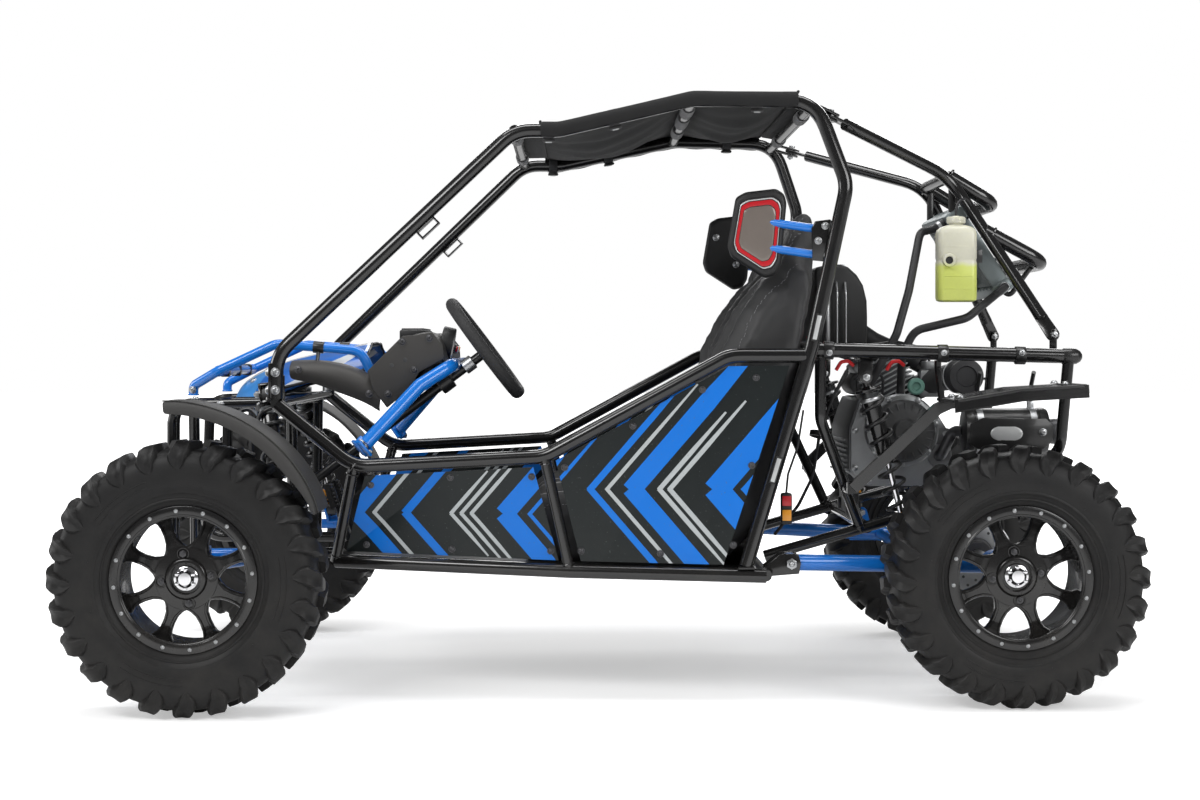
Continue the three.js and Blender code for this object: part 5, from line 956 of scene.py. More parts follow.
def build_front_arms():
    for s, hand in SIDES:
        paint, metal = "bright blue", "zinc steel"
        parts = Parts([disc((-925, s * 232, 288), (-796, s * 232, 288), 13.5, paint, 32, 1.2)])
        for x in (-898, -823):
            parts += strut(flip([(x, 232, 288), (-858, 496, 282.6)], s), THIN_TUBE, paint)
        parts.pipe(flip([(-847.5, 416.8, 284), (-762, 444, 299), (-688, 444, 299), (-688, 444, 305)], s),
            THIN_TUBE, paint, 30)
        parts.block((-880, s * 496, 231.2), (-836, s * 505, 334), paint, 2.5)
        for z in (325, 231.2):
            parts.block((-880, s * 496, z), (-836, s * 556, z + 9), paint, 3)
            parts.hexagon((-858, s * 540, z + (9 if z > 300 else 0)), (0, 0, 1 if z > 300 else -1), 30,
                9, metal)
        for x in (-925, -796):
            parts.disc((x - 1.5, s * 232, 288), (x + 1.5, s * 232, 288), 15.5, "hose rubber", 28, 0.6)
        top, foot = V(-752, s * 276, 650), V(-694, s * 428, 338)
        parts += ears(foot, foot - top, BACK, 34, paint, metal)
        finished(parts, hand + "_lower_arm", "front_" + hand + "_arm", 40,
            ["front_" + hand + "_arm"])


def build_swing_arm():
    paint, metal = "bright blue", "zinc steel"
    parts = Parts(cross_bar(716, 367.7, 279.9, THIN_TUBE, paint))
    for s in BOTH:
        parts.disc((402, s * 408, 291), (402, s * 452, 291), 20, paint, 36, 1.5)
        parts.pipe(flip([(402, 430, 291), (866, 338, 274.6)], s), ARM_TUBE, paint, 0, 5)
        parts.turned([(19, -21), (31, -21), (33, -19), (33, 19), (31, 21), (19, 21), (18, 20), (18, -20),
            (19, -21)], (866, s * 338, 274.6), RIGHT, paint, 44)
        for side in BOTH:
            face = (866, s * 338 + side * 21, 274.6)
            for a in turns(4, 0.6):
                parts.bolt((face[0] + 26.5 * cos(a), face[1], face[2] + 26.5 * sin(a)), (0, side, 0),
                    4.5, metal)
        top, foot = V(574, s * 364, 690), V(668, s * 364, 336)
        parts += ears(foot, foot - top, RIGHT, 54, paint, metal)
        outline = [(640, 262), (716, 262), (700, 300), (676, 318), (652, 306)]
        parts.prism(outline, s * 375.4, s * 381.4, paint, 1.5)
    finished(parts, "rear_swing_arm", "swing_arm", 40, ["swing_arm"])


def build_rear_axle():
    metal, dark = "zinc steel", "dark steel"
    x, z = REAR_AXLE
    parts = Parts([disc((x, -535, z), (x, 535, z), 15.5, metal, 36, 1.0)])
    teeth = []
    for i, a in enumerate(turns(TEETH * 4)):
        r = (82, 86.5, 89, 86.5)[i % 4]
        teeth.append((x + r * cos(a), z + r * sin(a)))
    parts.prism(teeth, 64.8, 70.2, metal, 0.5)
    for y, low, high in ((53, 42, 64.6), (-131, -142, -120)):
        parts.turned([(16, low - y), (32, low - y), (35, low - y + 3), (35, high - y - 3),
            (33, high - y), (16, high - y), (16, low - y)], (x, y, z), RIGHT, dark, 36)
    parts.turned([(40, -2.5), (84, -2.5), (86, -1.5), (86, 1.5), (84, 2.5), (40, 2.5), (40, -2.5)],
        (x, -117.5, z), RIGHT, metal, 64)
    parts.disc((x, -120, z), (x, -115, z), 42, dark, 40, 0.6)
    for a in turns(6):
        for y, side in ((70.2, 1), (-115, 1)):
            parts.bolt((x + 27 * cos(a), y, z + 27 * sin(a)), (0, side, 0), 5.5, metal)
    for i, a in enumerate(turns(24)):
        r = 58 + 14 * (i % 2)
        parts.disc((x + r * cos(a), -120.6, z + r * sin(a)), (x + r * cos(a), -114.4, z + r * sin(a)),
            3.4, "cast dark", 12, 0.2)
    finished(parts, "axle_sprocket_disc", "rear_axle", 35, ["rear_axle"])


def build_chain():
    """The drive chain's two runs and its turn about the sprocket."""
    y = 67.5
    drive, driven = V(700, y, 560), V(866, y, 274.6)
    small, large = 26.0, 86.0
    gap = driven - drive
    angle = atan2(gap.z, gap.x)
    spread = acos((small - large) / gap.length)
    path = []
    for centre, radius, start, end in ((drive, small, angle + spread, angle + TAU - spread),
            (driven, large, angle - spread, angle + spread)):
        steps = max(8, int(abs(end - start) * radius / 9))
        for i in range(steps + 1):
            a = start + (end - start) * i / steps
            path.append(centre + V(cos(a), 0, sin(a)) * radius)
    path.append(path[0])
    stations = [place for place, _ in spaced(path, CHAIN_PITCH)]
    link = [(6.2 * cos(a) + (6.3 if cos(a) > 0 else -6.3), 4.6 * sin(a)) for a in turns(10)]
    plate = prism([(p[0] * 0.78, p[1]) for p in link], -1.0, 1.0, "dark steel", 0)
    parts = Parts()
    for i, (a, b) in enumerate(zip(stations, stations[1:] + stations[:1])):
        wide = 4.6 if i % 2 else 6.4
        direction = b - a
        if direction.length > 20 or direction.length < 4:
            continue
        turn = Matrix.Rotation(-atan2(direction.z, direction.x), 4, "Y")
        for side in BOTH:
            parts.copied(plate, Matrix.Translation((a + b) / 2 + V(0, side * wide, 0)) @ turn)
    for point in stations:
        parts.disc(point - V(0, 4, 0), point + V(0, 4, 0), 3.6, "zinc steel", 8, 0)
    bpy.data.objects.remove(plate)
    sprocket = disc(drive - V(0, 3, 0), drive + V(0, 3, 0), 24, "zinc steel", 26, 0.8)
    finished([sprocket], "drive_sprocket", "chassis", 35)
    chain = finished(parts, "drive_chain", None, 35)
    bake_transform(chain)


def build_shocks():
    kinds = (("front", lambda s: (V(-752, s * 276, 650), V(-694, s * 428, 338)), BACK),
        ("rear", lambda s: (V(574, s * 364, 690), V(668, s * 364, 336)), RIGHT))
    for end, eyes, bolt_axis in kinds:
        for s, hand in SIDES:
            top, foot = eyes(s)
            along = (foot - top).normalized()
            length = (foot - top).length
            paint, metal = "gloss black", "chrome"
            tube_end = length * 0.53

            def ring(centre):
                return turned([(6, -11), (13, -11), (14, -10), (14, 10), (13, 11), (6, 11), (6, -11)],
                    centre, bolt_axis, "cast dark", 28)

            body = Parts([turned([(0, 7), (9.2, 7), (9.2, 20), (14, 25), (29, 26), (30, 27), (30, 31),
                (29, 32), (19, 32), (19, tube_end - 3), (18, tube_end), (8.2, tube_end),
                (8.2, tube_end - 30), (0, tube_end - 30)], top, along, paint, 36), ring(top)])
            body.turned([(19.4, 46), (24, 46), (25, 47.5), (25, 53), (24, 54.5), (19.4, 54.5),
                (19.4, 46)], top, along, "zinc steel", 18)
            for step in range(7):
                z = 36 + step * 1.4
                body.turned([(19, z), (20.4, z + 0.5), (19, z + 1.0)], top, along, "zinc steel", 28)
            rod = Parts([turned([(0, 112), (7, 112), (7, length - 32), (0, length - 32)], top, along,
                metal, 28), ring(foot)])
            rod.turned([(0, length - 34), (16, length - 34), (18, length - 32), (30, length - 32),
                (30, length - 27), (22, length - 26), (11, length - 22), (9.2, length - 8),
                (0, length - 7)], top, along, paint, 36)
            rod.turned([(7.2, length - 60), (13, length - 58), (14.5, length - 50), (14.5, length - 42),
                (12, length - 35), (7.2, length - 34), (7.2, length - 60)], top, along, "amber", 24)
            curls, wire_size = (9 if end == "front" else 8), 9.0
            low, high = 32.4 + wire_size / 2, length - 32.4 - wire_size / 2
            turn = frame_at(top, along, bolt_axis)
            path = []
            steps = curls * 28
            for i in range(steps + 1):
                a = i * TAU / 28
                share = i / steps
                # The end curls lie closer
                closed = max(0, 0.09 - min(share, 1 - share)) * 0.35
                eased = share + closed * (-1 if share < 0.5 else 1)
                run = low + min(max(eased, 0), 1) * (high - low)
                path.append(turn @ V(run, 25.5 * cos(a), 25.5 * sin(a)))
            coil = pipe(path, wire_size, "satin black", 0, 3)
            name = end + "_" + hand
            finished(body, name + "_damper", name + "_shock", 35, [name + "_shock_body"])
            finished(rod, name + "_damper_rod", name + "_shock_rod", 35, [name + "_shock_rod"])
            spring = finished([coil], name + "_coil", None, 60, [name + "_spring"])
            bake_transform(spring)


# Wheels, modelled about the origin with the axle along Y and the outer side to +Y

def smooth_at(stations, t):
    """A value between stations (t, value...), eased through them."""
    for a, b in zip(stations, stations[1:]):
        if t <= b[0]:
            share = (t - a[0]) / (b[0] - a[0])
            share = share * share * (3 - 2 * share) if len(a) == 2 else share
            return [x + share * (y - x) for x, y in zip(a[1:], b[1:])]
    return list(stations[-1][1:])


def tread_lug(radius, half, material):
    """One scooped lug from the crown over the shoulder, at the top of the tyre."""
    section = [(0.0, radius - 14, 0.04 * half), (0.3, radius - 14.5, 0.42 * half),
        (0.5, radius - 16, 0.66 * half), (0.66, radius - 23, 0.82 * half),
        (0.8, radius - 36, 0.90 * half), (1.0, radius - 62, 0.938 * half)]
    sweep = [(0.0, -3.6), (0.3, -2.2), (0.6, 0.6), (0.8, 2.6), (1.0, 2.0)]
    wide = [(0.0, 2.2), (0.15, 3.0), (0.5, 3.5), (0.72, 4.3), (0.86, 3.2), (1.0, 0.5)]
    tall = [(0.0, 13.4), (0.5, 15.2), (0.68, 13.2), (0.82, 9.0), (0.94, 5.0), (1.0, 0.8)]
    scoop = [(0.0, 0.0), (0.42, 0.5), (0.6, 6.5), (0.8, 6.0), (0.95, 2.0), (1.0, 0.0)]
    rings = []
    steps = 15
    for i in range(steps + 1):
        t = i / steps
        r, y = smooth_at(section, t)[:2]
        ahead, behind = smooth_at(section, min(t + 0.04, 1)), smooth_at(section, max(t - 0.04, 0))
        dr, dy = ahead[0] - behind[0], ahead[1] - behind[1]
        size = hypot(dr, dy) or 1
        nr, ny = dy / size, -dr / size
        turn, wide_now = smooth_at(sweep, t)[0], smooth_at(wide, t)[0]
        tall_now, scoop_now = smooth_at(tall, t)[0], smooth_at(scoop, t)[0]
        ring = []
        for across, lift in ((-1.25, -6), (-1.0, tall_now * 0.8), (-0.82, tall_now),
                (-0.45, tall_now - scoop_now * 0.6), (0.0, tall_now - scoop_now),
                (0.4, tall_now - scoop_now * 0.45), (0.78, tall_now), (1.0, tall_now * 0.75), (1.3, -6)):
            a = radians(turn + across * wide_now)
            rr, yy = r + nr * lift, y + ny * lift
            ring.append(V(rr * sin(a), yy, rr * cos(a)))
        rings.append(ring)
    return lofted(rings, material)


def build_tyre(radius, half, rim_half):
    rubber = "tyre rubber"
    bead_r = 142.5
    half_section = [(bead_r, rim_half - 7), (150, rim_half - 5.5), (153.5, rim_half + 1),
        (157, rim_half + 5), (162, rim_half + 8), (163.5, rim_half + 10.5), (166, rim_half + 10.5),
        (168, rim_half + 9), (176, half * 0.93), (178, half * 0.955), (181, half * 0.955),
        (183, half * 0.945), (radius * 0.69, half * 0.975), (radius * 0.75, half * 0.975),
        (radius * 0.80, half * 0.962), (radius - 44, half * 0.935), (radius - 32, half * 0.89),
        (radius - 21, half * 0.79), (radius - 16, half * 0.62), (radius - 14.5, half * 0.32),
        (radius - 14, 0)]
    profile = half_section + [(r, -y) for r, y in reversed(half_section[:-1])]
    profile.append(profile[0])
    parts = Parts([turned(profile, (0, 0, 0), RIGHT, rubber, 96)])
    lug = tread_lug(radius, half, rubber)
    count = 24
    for i in range(count):
        parts.copied(lug, Matrix.Rotation(i * TAU / count, 4, "Y"))
        parts.copied(lug, Matrix.Rotation((i + 0.5) * TAU / count, 4, "Y") @ MIRROR)
    bpy.data.objects.remove(lug)
    # Blank raised bars and two mould lines on the sidewall
    for start in (0.6, 2.9, 4.7):
        for side in BOTH:
            path = []
            for i in range(15):
                a = start + i * 0.045
                path.append(V(207 * cos(a), side * half * 0.975, 207 * sin(a)))
            for offset in (-6, 6):
                edge = [V(p.x * (207 + offset) / 207, p.y, p.z * (207 + offset) / 207) for p in path]
                parts.pipe(edge, 2.0, rubber, 0, 2)
    for a in turns(12, 0.2):
        for side in BOTH:
            where = V(193 * cos(a), side * half * 0.965, 193 * sin(a))
            parts.disc(where, where + V(0, side * 2.4, 0), 1.1, rubber, 8, 0)
    return joined(parts, "tyre pattern")


def build_rim(rim_half):
    paint, metal, bright = "rim black", "zinc steel", "chrome"
    h = rim_half
    parts = Parts([turned([(136, -h), (150.5, -h), (151, -h + 1), (150, -h + 5), (141, -h + 12),
        (141, h - 14), (148, h - 8), (151, h - 4), (151, h - 0.6), (150, h), (131, h), (128.5, h - 1.5),
        (127.5, h - 4), (128.5, h - 8), (134, h - 12), (136, h - 20), (136, -h)], (0, 0, 0), RIGHT,
        paint, 96)])
    parts.turned([(134.2, h - 0.2), (133, h + 0.7), (131.8, h - 0.2), (134.2, h - 0.2)], (0, 0, 0),
        RIGHT, paint, 72)
    widths = [(60, 25.5), (66, 20.5), (72, 16.5), (82, 12.8), (98, 11.4), (112, 12.2), (122, 15.0),
        (130, 20.0), (137.5, 27.0)]
    heights = [(60, 33), (72, 33), (100, 30), (122, 26), (137.5, 22)]
    rings = []
    for i in range(17):
        r = 60 + i * 77.5 / 16
        w, top = smooth_at(widths, r)[0], smooth_at(heights, r)[0]
        dip = 2.6 * sin(pi * i / 16) ** 0.5
        ring = [(-w, 12), (-w - 0.5, top - 4), (-w + 1.5, top), (-w + 4.5, top + 0.4),
            (-w + 6.5, top - dip), (w - 6.5, top - dip), (w - 4.5, top + 0.4), (w - 1.5, top),
            (w + 0.5, top - 4), (w, 12)]
        rings.append([V(x, y, r) for x, y in ring])
    spoke = lofted(rings, paint)
    for i in range(8):
        parts.copied(spoke, Matrix.Rotation((i + 0.5) * TAU / 8, 4, "Y"))
    bpy.data.objects.remove(spoke)
    parts.turned([(15, 12), (64, 12), (66, 15), (66, 30), (64, 33), (58, 34), (44, 36), (41, 41),
        (38, 43), (33, 43), (31, 41), (31, 34), (15, 34), (15, 12)], (0, 0, 0), RIGHT, paint, 64)
    parts.turned([(15, -18), (33, -18), (33, 13), (15, 13), (15, -18)], (0, 0, 0), RIGHT, "cast dark",
        36)
    for a in turns(4, 0.12):
        where = V(51 * sin(a), 33, 51 * cos(a))
        parts.turned([(9.5, -1), (13.5, -1), (13.5, 2.2), (12.5, 3.4), (10.8, 3.4), (10, 2.2),
            (9.5, -1)], where, RIGHT, paint, 28)
        parts.hexagon(where, RIGHT, 14.5, 7.5, "dark steel")
    # Castellated centre nut
    parts.turned([(0, 30), (24, 30), (26, 32), (26, 39), (24, 41), (20, 41.6), (17, 44), (15, 50),
        (13, 52), (0, 52.6)], (0, 0, 0), RIGHT, bright, 40)
    for a in turns(6):
        where = V(19.5 * sin(a), 40, 19.5 * cos(a))
        parts.disc(where, where + V(0, 8, 0), 4.3, bright, 14, 1.2)
    for a in turns(16, 0.1):
        where = V(141.5 * sin(a), h - 0.2, 141.5 * cos(a))
        parts.bolt(where, RIGHT, 3.3, metal)
    # Valve
    parts.disc((0, h - 22, 128), (4, h - 2, 118), 2.6, "hose rubber", 12, 0.6)
    return joined(parts, "rim pattern")


FRONT_HUB, REAR_HUB = (-858.03, 282.56), (865.97, 274.63)


def build_wheels():
    kinds = (("front", *FRONT_HUB, 630, 90, 70), ("rear", *REAR_HUB, 515, 103, 81))
    for end, x, radius, track, half, rim_half in kinds:
        tyre, rim = build_tyre(radius, half, rim_half), build_rim(rim_half)
        for s, hand in SIDES:
            place = Matrix.Translation((x, s * track, radius)) @ Matrix.Rotation(0 if s > 0 else pi, 4,
                "Z")
            body = "front_" + hand + "_wheel" if end == "front" else "rear_axle"
            name = end + "_" + hand
            finished([copied(tyre, place)], name + "_tyre_tread", body, 42, [name + "_tyre"])
            finished([copied(rim, place)], name + "_wheel", body, 38, [name + "_rim"])
        for obj in (tyre, rim):
            bpy.data.objects.remove(obj)


# Bodywork

def dress(node_name, finish_name):
    """Gives a carried-over CAD node its finish."""
    material = look(finish_name)
    obj = bpy.data.objects[node_name] if node_name in bpy.data.objects else frame["nodes"][node_name]
    if not obj.material_slots:
        obj.data.materials.append(material)
    for entry in obj.material_slots:
        entry.link = "OBJECT"
        entry.material = material


def level(rail, x):
    """The point of a rail at a station along it."""
    for a, b in zip(rail, rail[1:]):
        if x <= b[0] or b is rail[-1]:
            t = (x - a[0]) / (b[0] - a[0])
            return Vector([p + t * (q - p) for p, q in zip(a, b)])


def build_panels():
    """Finishes of the carried-over sheets and their fixings."""
    for s, hand in SIDES:
        dress(hand + "_front_panel", "panel paint")
        dress(hand + "_rear_panel", "panel paint")
        dress("rear_" + hand + "_fender", "gloss black")
        dress(hand + "_tie_rod", "zinc steel")
        dress(hand + "_knuckle", "satin black")
        parts = Parts()
        upper = [(-538, 462, 500), (-128, 480, 522), (268, 480, 738), (417.8, 480, 738)]
        lower = [(-588, 366, 288), (-74, 469.7, 276.5), (346, 480, 267)]
        spots = [(-500, -520, 0.1), (-500, -520, 0.88), (-330, -330, 0.93), (-320, -330, 0.08),
            (-160, -110, 0.1), (-160, -115, 0.9), (-90, -40, 0.9), (-90, -45, 0.1), (60, 80, 0.95),
            (210, 200, 0.95), (330, 240, 0.94), (345, 268, 0.1), (340, 290, 0.5), (120, 120, 0.06)]
        for top_x, foot_x, share in spots:
            top, foot = level(upper, top_x), level(lower, foot_x)
            top.z -= 21.5
            foot.z += 21.5
            place = foot.lerp(top, share)
            place.y = s * (place.y + 0.1)
            parts.bolt(place, (0, s, -0.12), 6.2, "dark steel")
        finished(parts, hand + "_panel_bolts", "chassis", 40)
    dress("floor_pan", "satin black")
    dress("steering_rack", "zinc steel")
    for name in ("throttle_pedal", "brake_pedal"):
        dress(name, "satin black")
    parts = Parts()
    for y in (-172, -292):
        turn = frame_at((-607, y, 425), (42, 0, -128), RIGHT)
        for i in range(6):
            parts.block((-24 + i * 9, -10.4, -22), (-19 + i * 9, -6, 22), "hose rubber", 1.0, turn)
    throttle, brake = parts[:6], parts[6:]
    finished(throttle, "throttle_tread", "throttle_pedal", 40)
    finished(brake, "brake_tread", "brake_pedal", 40)


def build_tie_rod_boots():
    for s, hand in SIDES:
        parts = Parts()
        folds = [(13 if i % 2 else 10, 10 + i * 5) for i in range(9)]
        parts.turned([(7.6, 8), *folds, (7.6, 56), (7.6, 8)], (-762, s * 222, 320), (0, s, 0),
            "hose rubber", 28)
        end = V(-762, s * 540, 320)
        parts.turned([(0, -13), (9, -13), (11, -9), (11, 9), (9, 13), (0, 13)], end, UP, "dark steel",
            24)
        parts.hexagon(end + V(0, 0, 12), UP, 15, 7, "zinc steel")
        parts.disc(end - V(0, s * 46, 0), end - V(0, s * 30, 0), 10, "zinc steel", 6, 0.6)
        finished(parts, hand + "_rod_end", hand + "_tie_rod", 40)


def build_nose():
    hood, lip = "hood paint", "moulded black"
    stations = [(0, -846, 606, 190), (0.08, -848, 640, 190), (0.16, -838, 674, 192),
        (0.3, -795, 700, 214), (0.5, -722, 726, 232), (0.75, -622, 750, 231), (1.0, -536, 766, 225)]
    rows = []
    steps = 18
    for i in range(steps + 1):
        t = i / steps
        x, z, half = smooth_at(stations, t)
        row = []
        for j in range(25):
            a = -1 + j / 12
            edge = abs(a)
            drop = 34 * edge ** 2.2 + (26 * max(0, (edge - 0.82) / 0.18) ** 1.5 if t > 0.12 else 0)
            crest = 7 * exp(-((edge - 0.46) / 0.06) ** 2) * min(1, max(0, (t - 0.15) * 4))
            row.append(V(x, a * half, z - drop + crest))
        rows.append(row)
    parts = Parts([grid(rows, hood, 3, 1)])
    # Black lip round the hood's edge
    for s in BOTH:
        edge = [row[24 if s > 0 else 0] for row in rows]
        parts.pipe([p + V(0, 0, -1) for p in edge], 7, lip, 0, 3)
    parts.pipe([p + V(-1, 0, 0) for p in rows[0]], 7, lip, 0, 3)
    parts.pipe([p + BACK for p in rows[-1]], 6, lip, 0, 3)
    # Two rows of louvres and the hood's fixings
    for s in BOTH:
        for i in range(5):
            x = -690 + i * 20
            parts.block((x - 6, s * 150 - 30, 708 + i * 4), (x + 6, s * 150 + 30, 716 + i * 4), lip, 3)
        for x, y, z in ((-800, 165, 678), (-560, 195, 740)):
            parts.bolt((x, s * y, z), (0, s * 0.35, 1), 7, "zinc steel")
    finished(parts, "nose_hood", "chassis", 45, ["nose_cowl"])


def build_side_cowls():
    """Curved mouldings between the pillar's foot and the dash."""
    grey = "moulded grey"
    for s, hand in SIDES:
        top = [(-700, 722), (-653, 724), (-600, 720), (-550, 706), (-510, 684), (-490, 668)]
        low = [(-700, 690), (-655, 686), (-605, 666), (-560, 650), (-522, 634), (-498, 616)]
        rows = []
        for (ax, az), (bx, bz) in zip(top, low):
            row = [V(ax, s * 262, az + 6), V(ax, s * 282, az + 3), V(ax, s * 298, az - 4)]
            for i in range(1, 5):
                t = i / 4
                row.append(V(ax + (bx - ax) * t, s * (300 + 12 * sin(pi * t)),
                    az - 4 + (bz - az + 4) * t))
            row.append(V(bx + 2, s * 292, bz - 8))
            rows.append(row)
        shell = grid(rows, grey, 3, 2)
        if s < 0:
            tidy(shell)
        parts = Parts([shell])
        for x, z in ((-678, 706), (-520, 652)):
            parts.bolt((x, s * 311, z), (0, s, 0.1), 7, "dark steel")
        # Stay to the hood's bar
        parts.pipe([(-640, s * 290, 706), (-640, s * 262, 740), (-640, s * 253, 752)], 9, "satin black",
            12)
        finished(parts, hand + "_side_cowl", "chassis", 45)


def build_dash():
    grey, dark, steel = "moulded grey", "moulded black", "dark steel"
    profile = [(-522, 706), (-500, 742), (-446, 784), (-410, 793), (-374, 794), (-360, 772), (-353, 730)]
    rows = []
    for x, z in profile:
        row = []
        for j in range(21):
            a = -1 + j / 10
            edge = abs(a)
            facet = 0 if edge < 0.42 else (edge - 0.42) * 34
            raise_by = 8 if 0.42 < edge < 0.9 and x > -505 and x < -360 else 0
            row.append(V(x, a * 314, z - facet * (1 if z > 735 else 0.4) - (8 - raise_by)))
        rows.append(row)
    parts = Parts([grid(rows, grey, 3, 1)])
    for s in BOTH:
        # Faceted cheek with its bolts and two small holes
        outline = [(-524, 703), (-446, 781), (-420, 783), (-380, 790), (-356, 760), (-354, 730),
            (-408, 701), (-430, 664), (-480, 621), (-512, 664)]
        low, high = sorted((s * 312, s * 318))
        parts.prism(outline, low, high, grey, 2.0)
        ridge = [(-500, 706), (-446, 762), (-392, 768), (-384, 734), (-424, 722), (-462, 672)]
        low, high = sorted((s * 312, s * 317.8))
        parts.prism(ridge, low, high, grey, 1.6)
        for x, z in ((-446, 768), (-386, 776), (-478, 652), (-420, 706)):
            parts.bolt((x, s * 317.5, z), (0, s, 0), 7, steel)
        for x, z in ((-470, 716), (-440, 728)):
            parts.disc((x, s * 312, z), (x, s * 318.4, z), 5, "cast dark", 18, 0.6)
    # Fuse box with ribs, an instrument and switches on the driver's side
    parts.block((-470, -120, 772), (-410, 120, 797), dark, 5)
    for i in range(14):
        y = -104 + i * 16
        parts.block((-466, y - 3, 794), (-414, y + 3, 800.5), dark, 1.5)
    parts.disc((-372, -150, 764), (-344, -150, 758), 42, dark, 44, 3)
    parts.disc((-346, -150, 759.6), (-343, -150, 759), 34, "rim black", 40, 0.8)
    for y, name in ((-60, "warm red"), (-20, "light silver"), (20, "amber")):
        parts.disc((-360, y, 756), (-343, y, 752), 11, dark, 24, 1.5)
        parts.disc((-345, y, 752.5), (-338, y, 751), 7, name, 20, 1.2)
    finished(parts, "dash_panel", "chassis", 40, ["dash_cowl"])


def build_front_fenders():
    grey = "fender plastic"
    hub_x, hub_z = FRONT_HUB
    for s, hand in SIDES:
        rows = []
        steps = 26
        for i in range(steps + 1):
            t = i / steps
            angle = 1.69 + t * (0.46 - 1.69)
            radius = 366 + t * (306 - 366)
            ends = 9 * (exp(-((t) / 0.05) ** 2) + exp(-((1 - t) / 0.05) ** 2))
            row = []
            lip = min(27.0, radius - 296.0)
            for y, drop in ((508, 7), (510, 2), (518, 0), (560, -1.2), (606, -2.2), (652, -1.4),
                    (690, 0.4), (697, 3.2), (701, lip * 0.6), (701.5, lip)):
                r = radius - drop - ends * 0.2 + 1.5
                row.append(V(hub_x + r * cos(angle), s * y, hub_z + r * sin(angle)))
            rows.append(row)
        shell = grid(rows, grey, 3, 1)
        if s > 0:
            tidy(shell)
        parts = Parts([shell])
        for t in (0.08, 0.2):
            angle = 1.69 + t * (0.46 - 1.69)
            r = 366 + t * (306 - 366) + 2
            parts.bolt((hub_x + r * cos(angle), s * 524, hub_z + r * sin(angle)),
                (cos(angle), 0, sin(angle)), 7, "zinc steel")
        rib = [row[6] for row in rows]
        parts.pipe([p + UP for p in rib], 3.2, grey, 0, 2)
        finished(parts, "front_" + hand + "_mudguard", hand + "_knuckle", 45,
            ["front_" + hand + "_fender"])


def build_fender_trim():
    """Bolts and a bound edge on the rear fenders."""
    for s, hand in SIDES:
        parts = Parts([pipe(flip([(727, 408, 643), (727, 606, 643), (865, 606, 667), (1001, 606, 675),
            (1001, 408, 675)], s), 8, "satin black", 18)])
        for x, y, z in ((745, 466, 650), (965, 466, 678), (745, 566, 650), (965, 566, 678)):
            parts.bolt((x, s * y, z), UP, 7, "zinc steel")
        finished(parts, "rear_" + hand + "_fender_trim", "chassis", 40)


def build_guards():
    dark, grey = "moulded black", "light silver"
    shares = [(-0.36, 0.4), (-0.2, 0.46), (0.32, 0.5), (0.46, 0.44), (0.5, 0.34), (0.4, -0.36),
        (0.3, -0.47), (0.12, -0.5), (-0.44, -0.26), (-0.5, -0.14)]

    def outline(scale):
        corners = [V(331 + 128 * scale * x, 0, 1002 + 194 * scale * z) for x, z in shares]
        count = len(corners)
        loop = []
        for i in range(count):
            before, here, after = corners[i - 1], corners[i], corners[(i + 1) % count]
            into, out = (before - here), (after - here)
            cut = min(7 * scale, into.length * 0.45, out.length * 0.45)
            a, b = here + into.normalized() * cut, here + out.normalized() * cut
            for k in range(4):
                t = k / 3
                loop.append(a * (1 - t) ** 2 + here * 2 * t * (1 - t) + b * t * t)
        return loop

    for s, hand in SIDES:
        metal = "zinc steel"

        def ring(scale, y):
            return [V(p.x, s * y, p.z) for p in outline(scale)]

        pad = lofted([ring(0.86, 407.5), ring(0.93, 409), ring(0.985, 414), ring(1.0, 424),
            ring(1.0, 430), ring(0.95, 438.5), ring(0.90, 440.6), ring(0.84, 441), ring(0.83, 438.5)],
            dark)
        line = lofted([ring(0.80, 437), ring(0.80, 440), ring(0.785, 440.6), ring(0.77, 440),
            ring(0.77, 437)], grey)
        red = lofted([ring(0.75, 437), ring(0.75, 440.2), ring(0.69, 440.9), ring(0.64, 440.2),
            ring(0.64, 437)], "warm red")
        plate = lofted([ring(0.66, 437), ring(0.60, 439.6), ring(0.56, 440), ring(0.3, 440.2)],
            "guard plate")
        parts = Parts([pad, line, red, plate])
        for x, z in ((300, 1040), (352, 970), (352, 1042)):
            parts.bolt((x, s * 408, z), (0, -s, 0), 7, metal)
        for hand_z in BOTH:
            z = 984 + hand_z * 28
            parts.pipe(flip([(336, 424, z + 18), (444, 457.5, z), (480, 457.5, z)], s), 18,
                "bright blue", 45)
            parts.disc((479, s * 457.5, z), (483, s * 457.5, z), 7.5, metal, 20, 0.8)
        parts.block((448, s * 457 - 5, 992 - 22), (478, s * 457 + 5, 992 + 6), "bright blue", 2)
        finished(parts, hand + "_side_guard", "chassis", 40, [hand + "_shoulder_guard"])


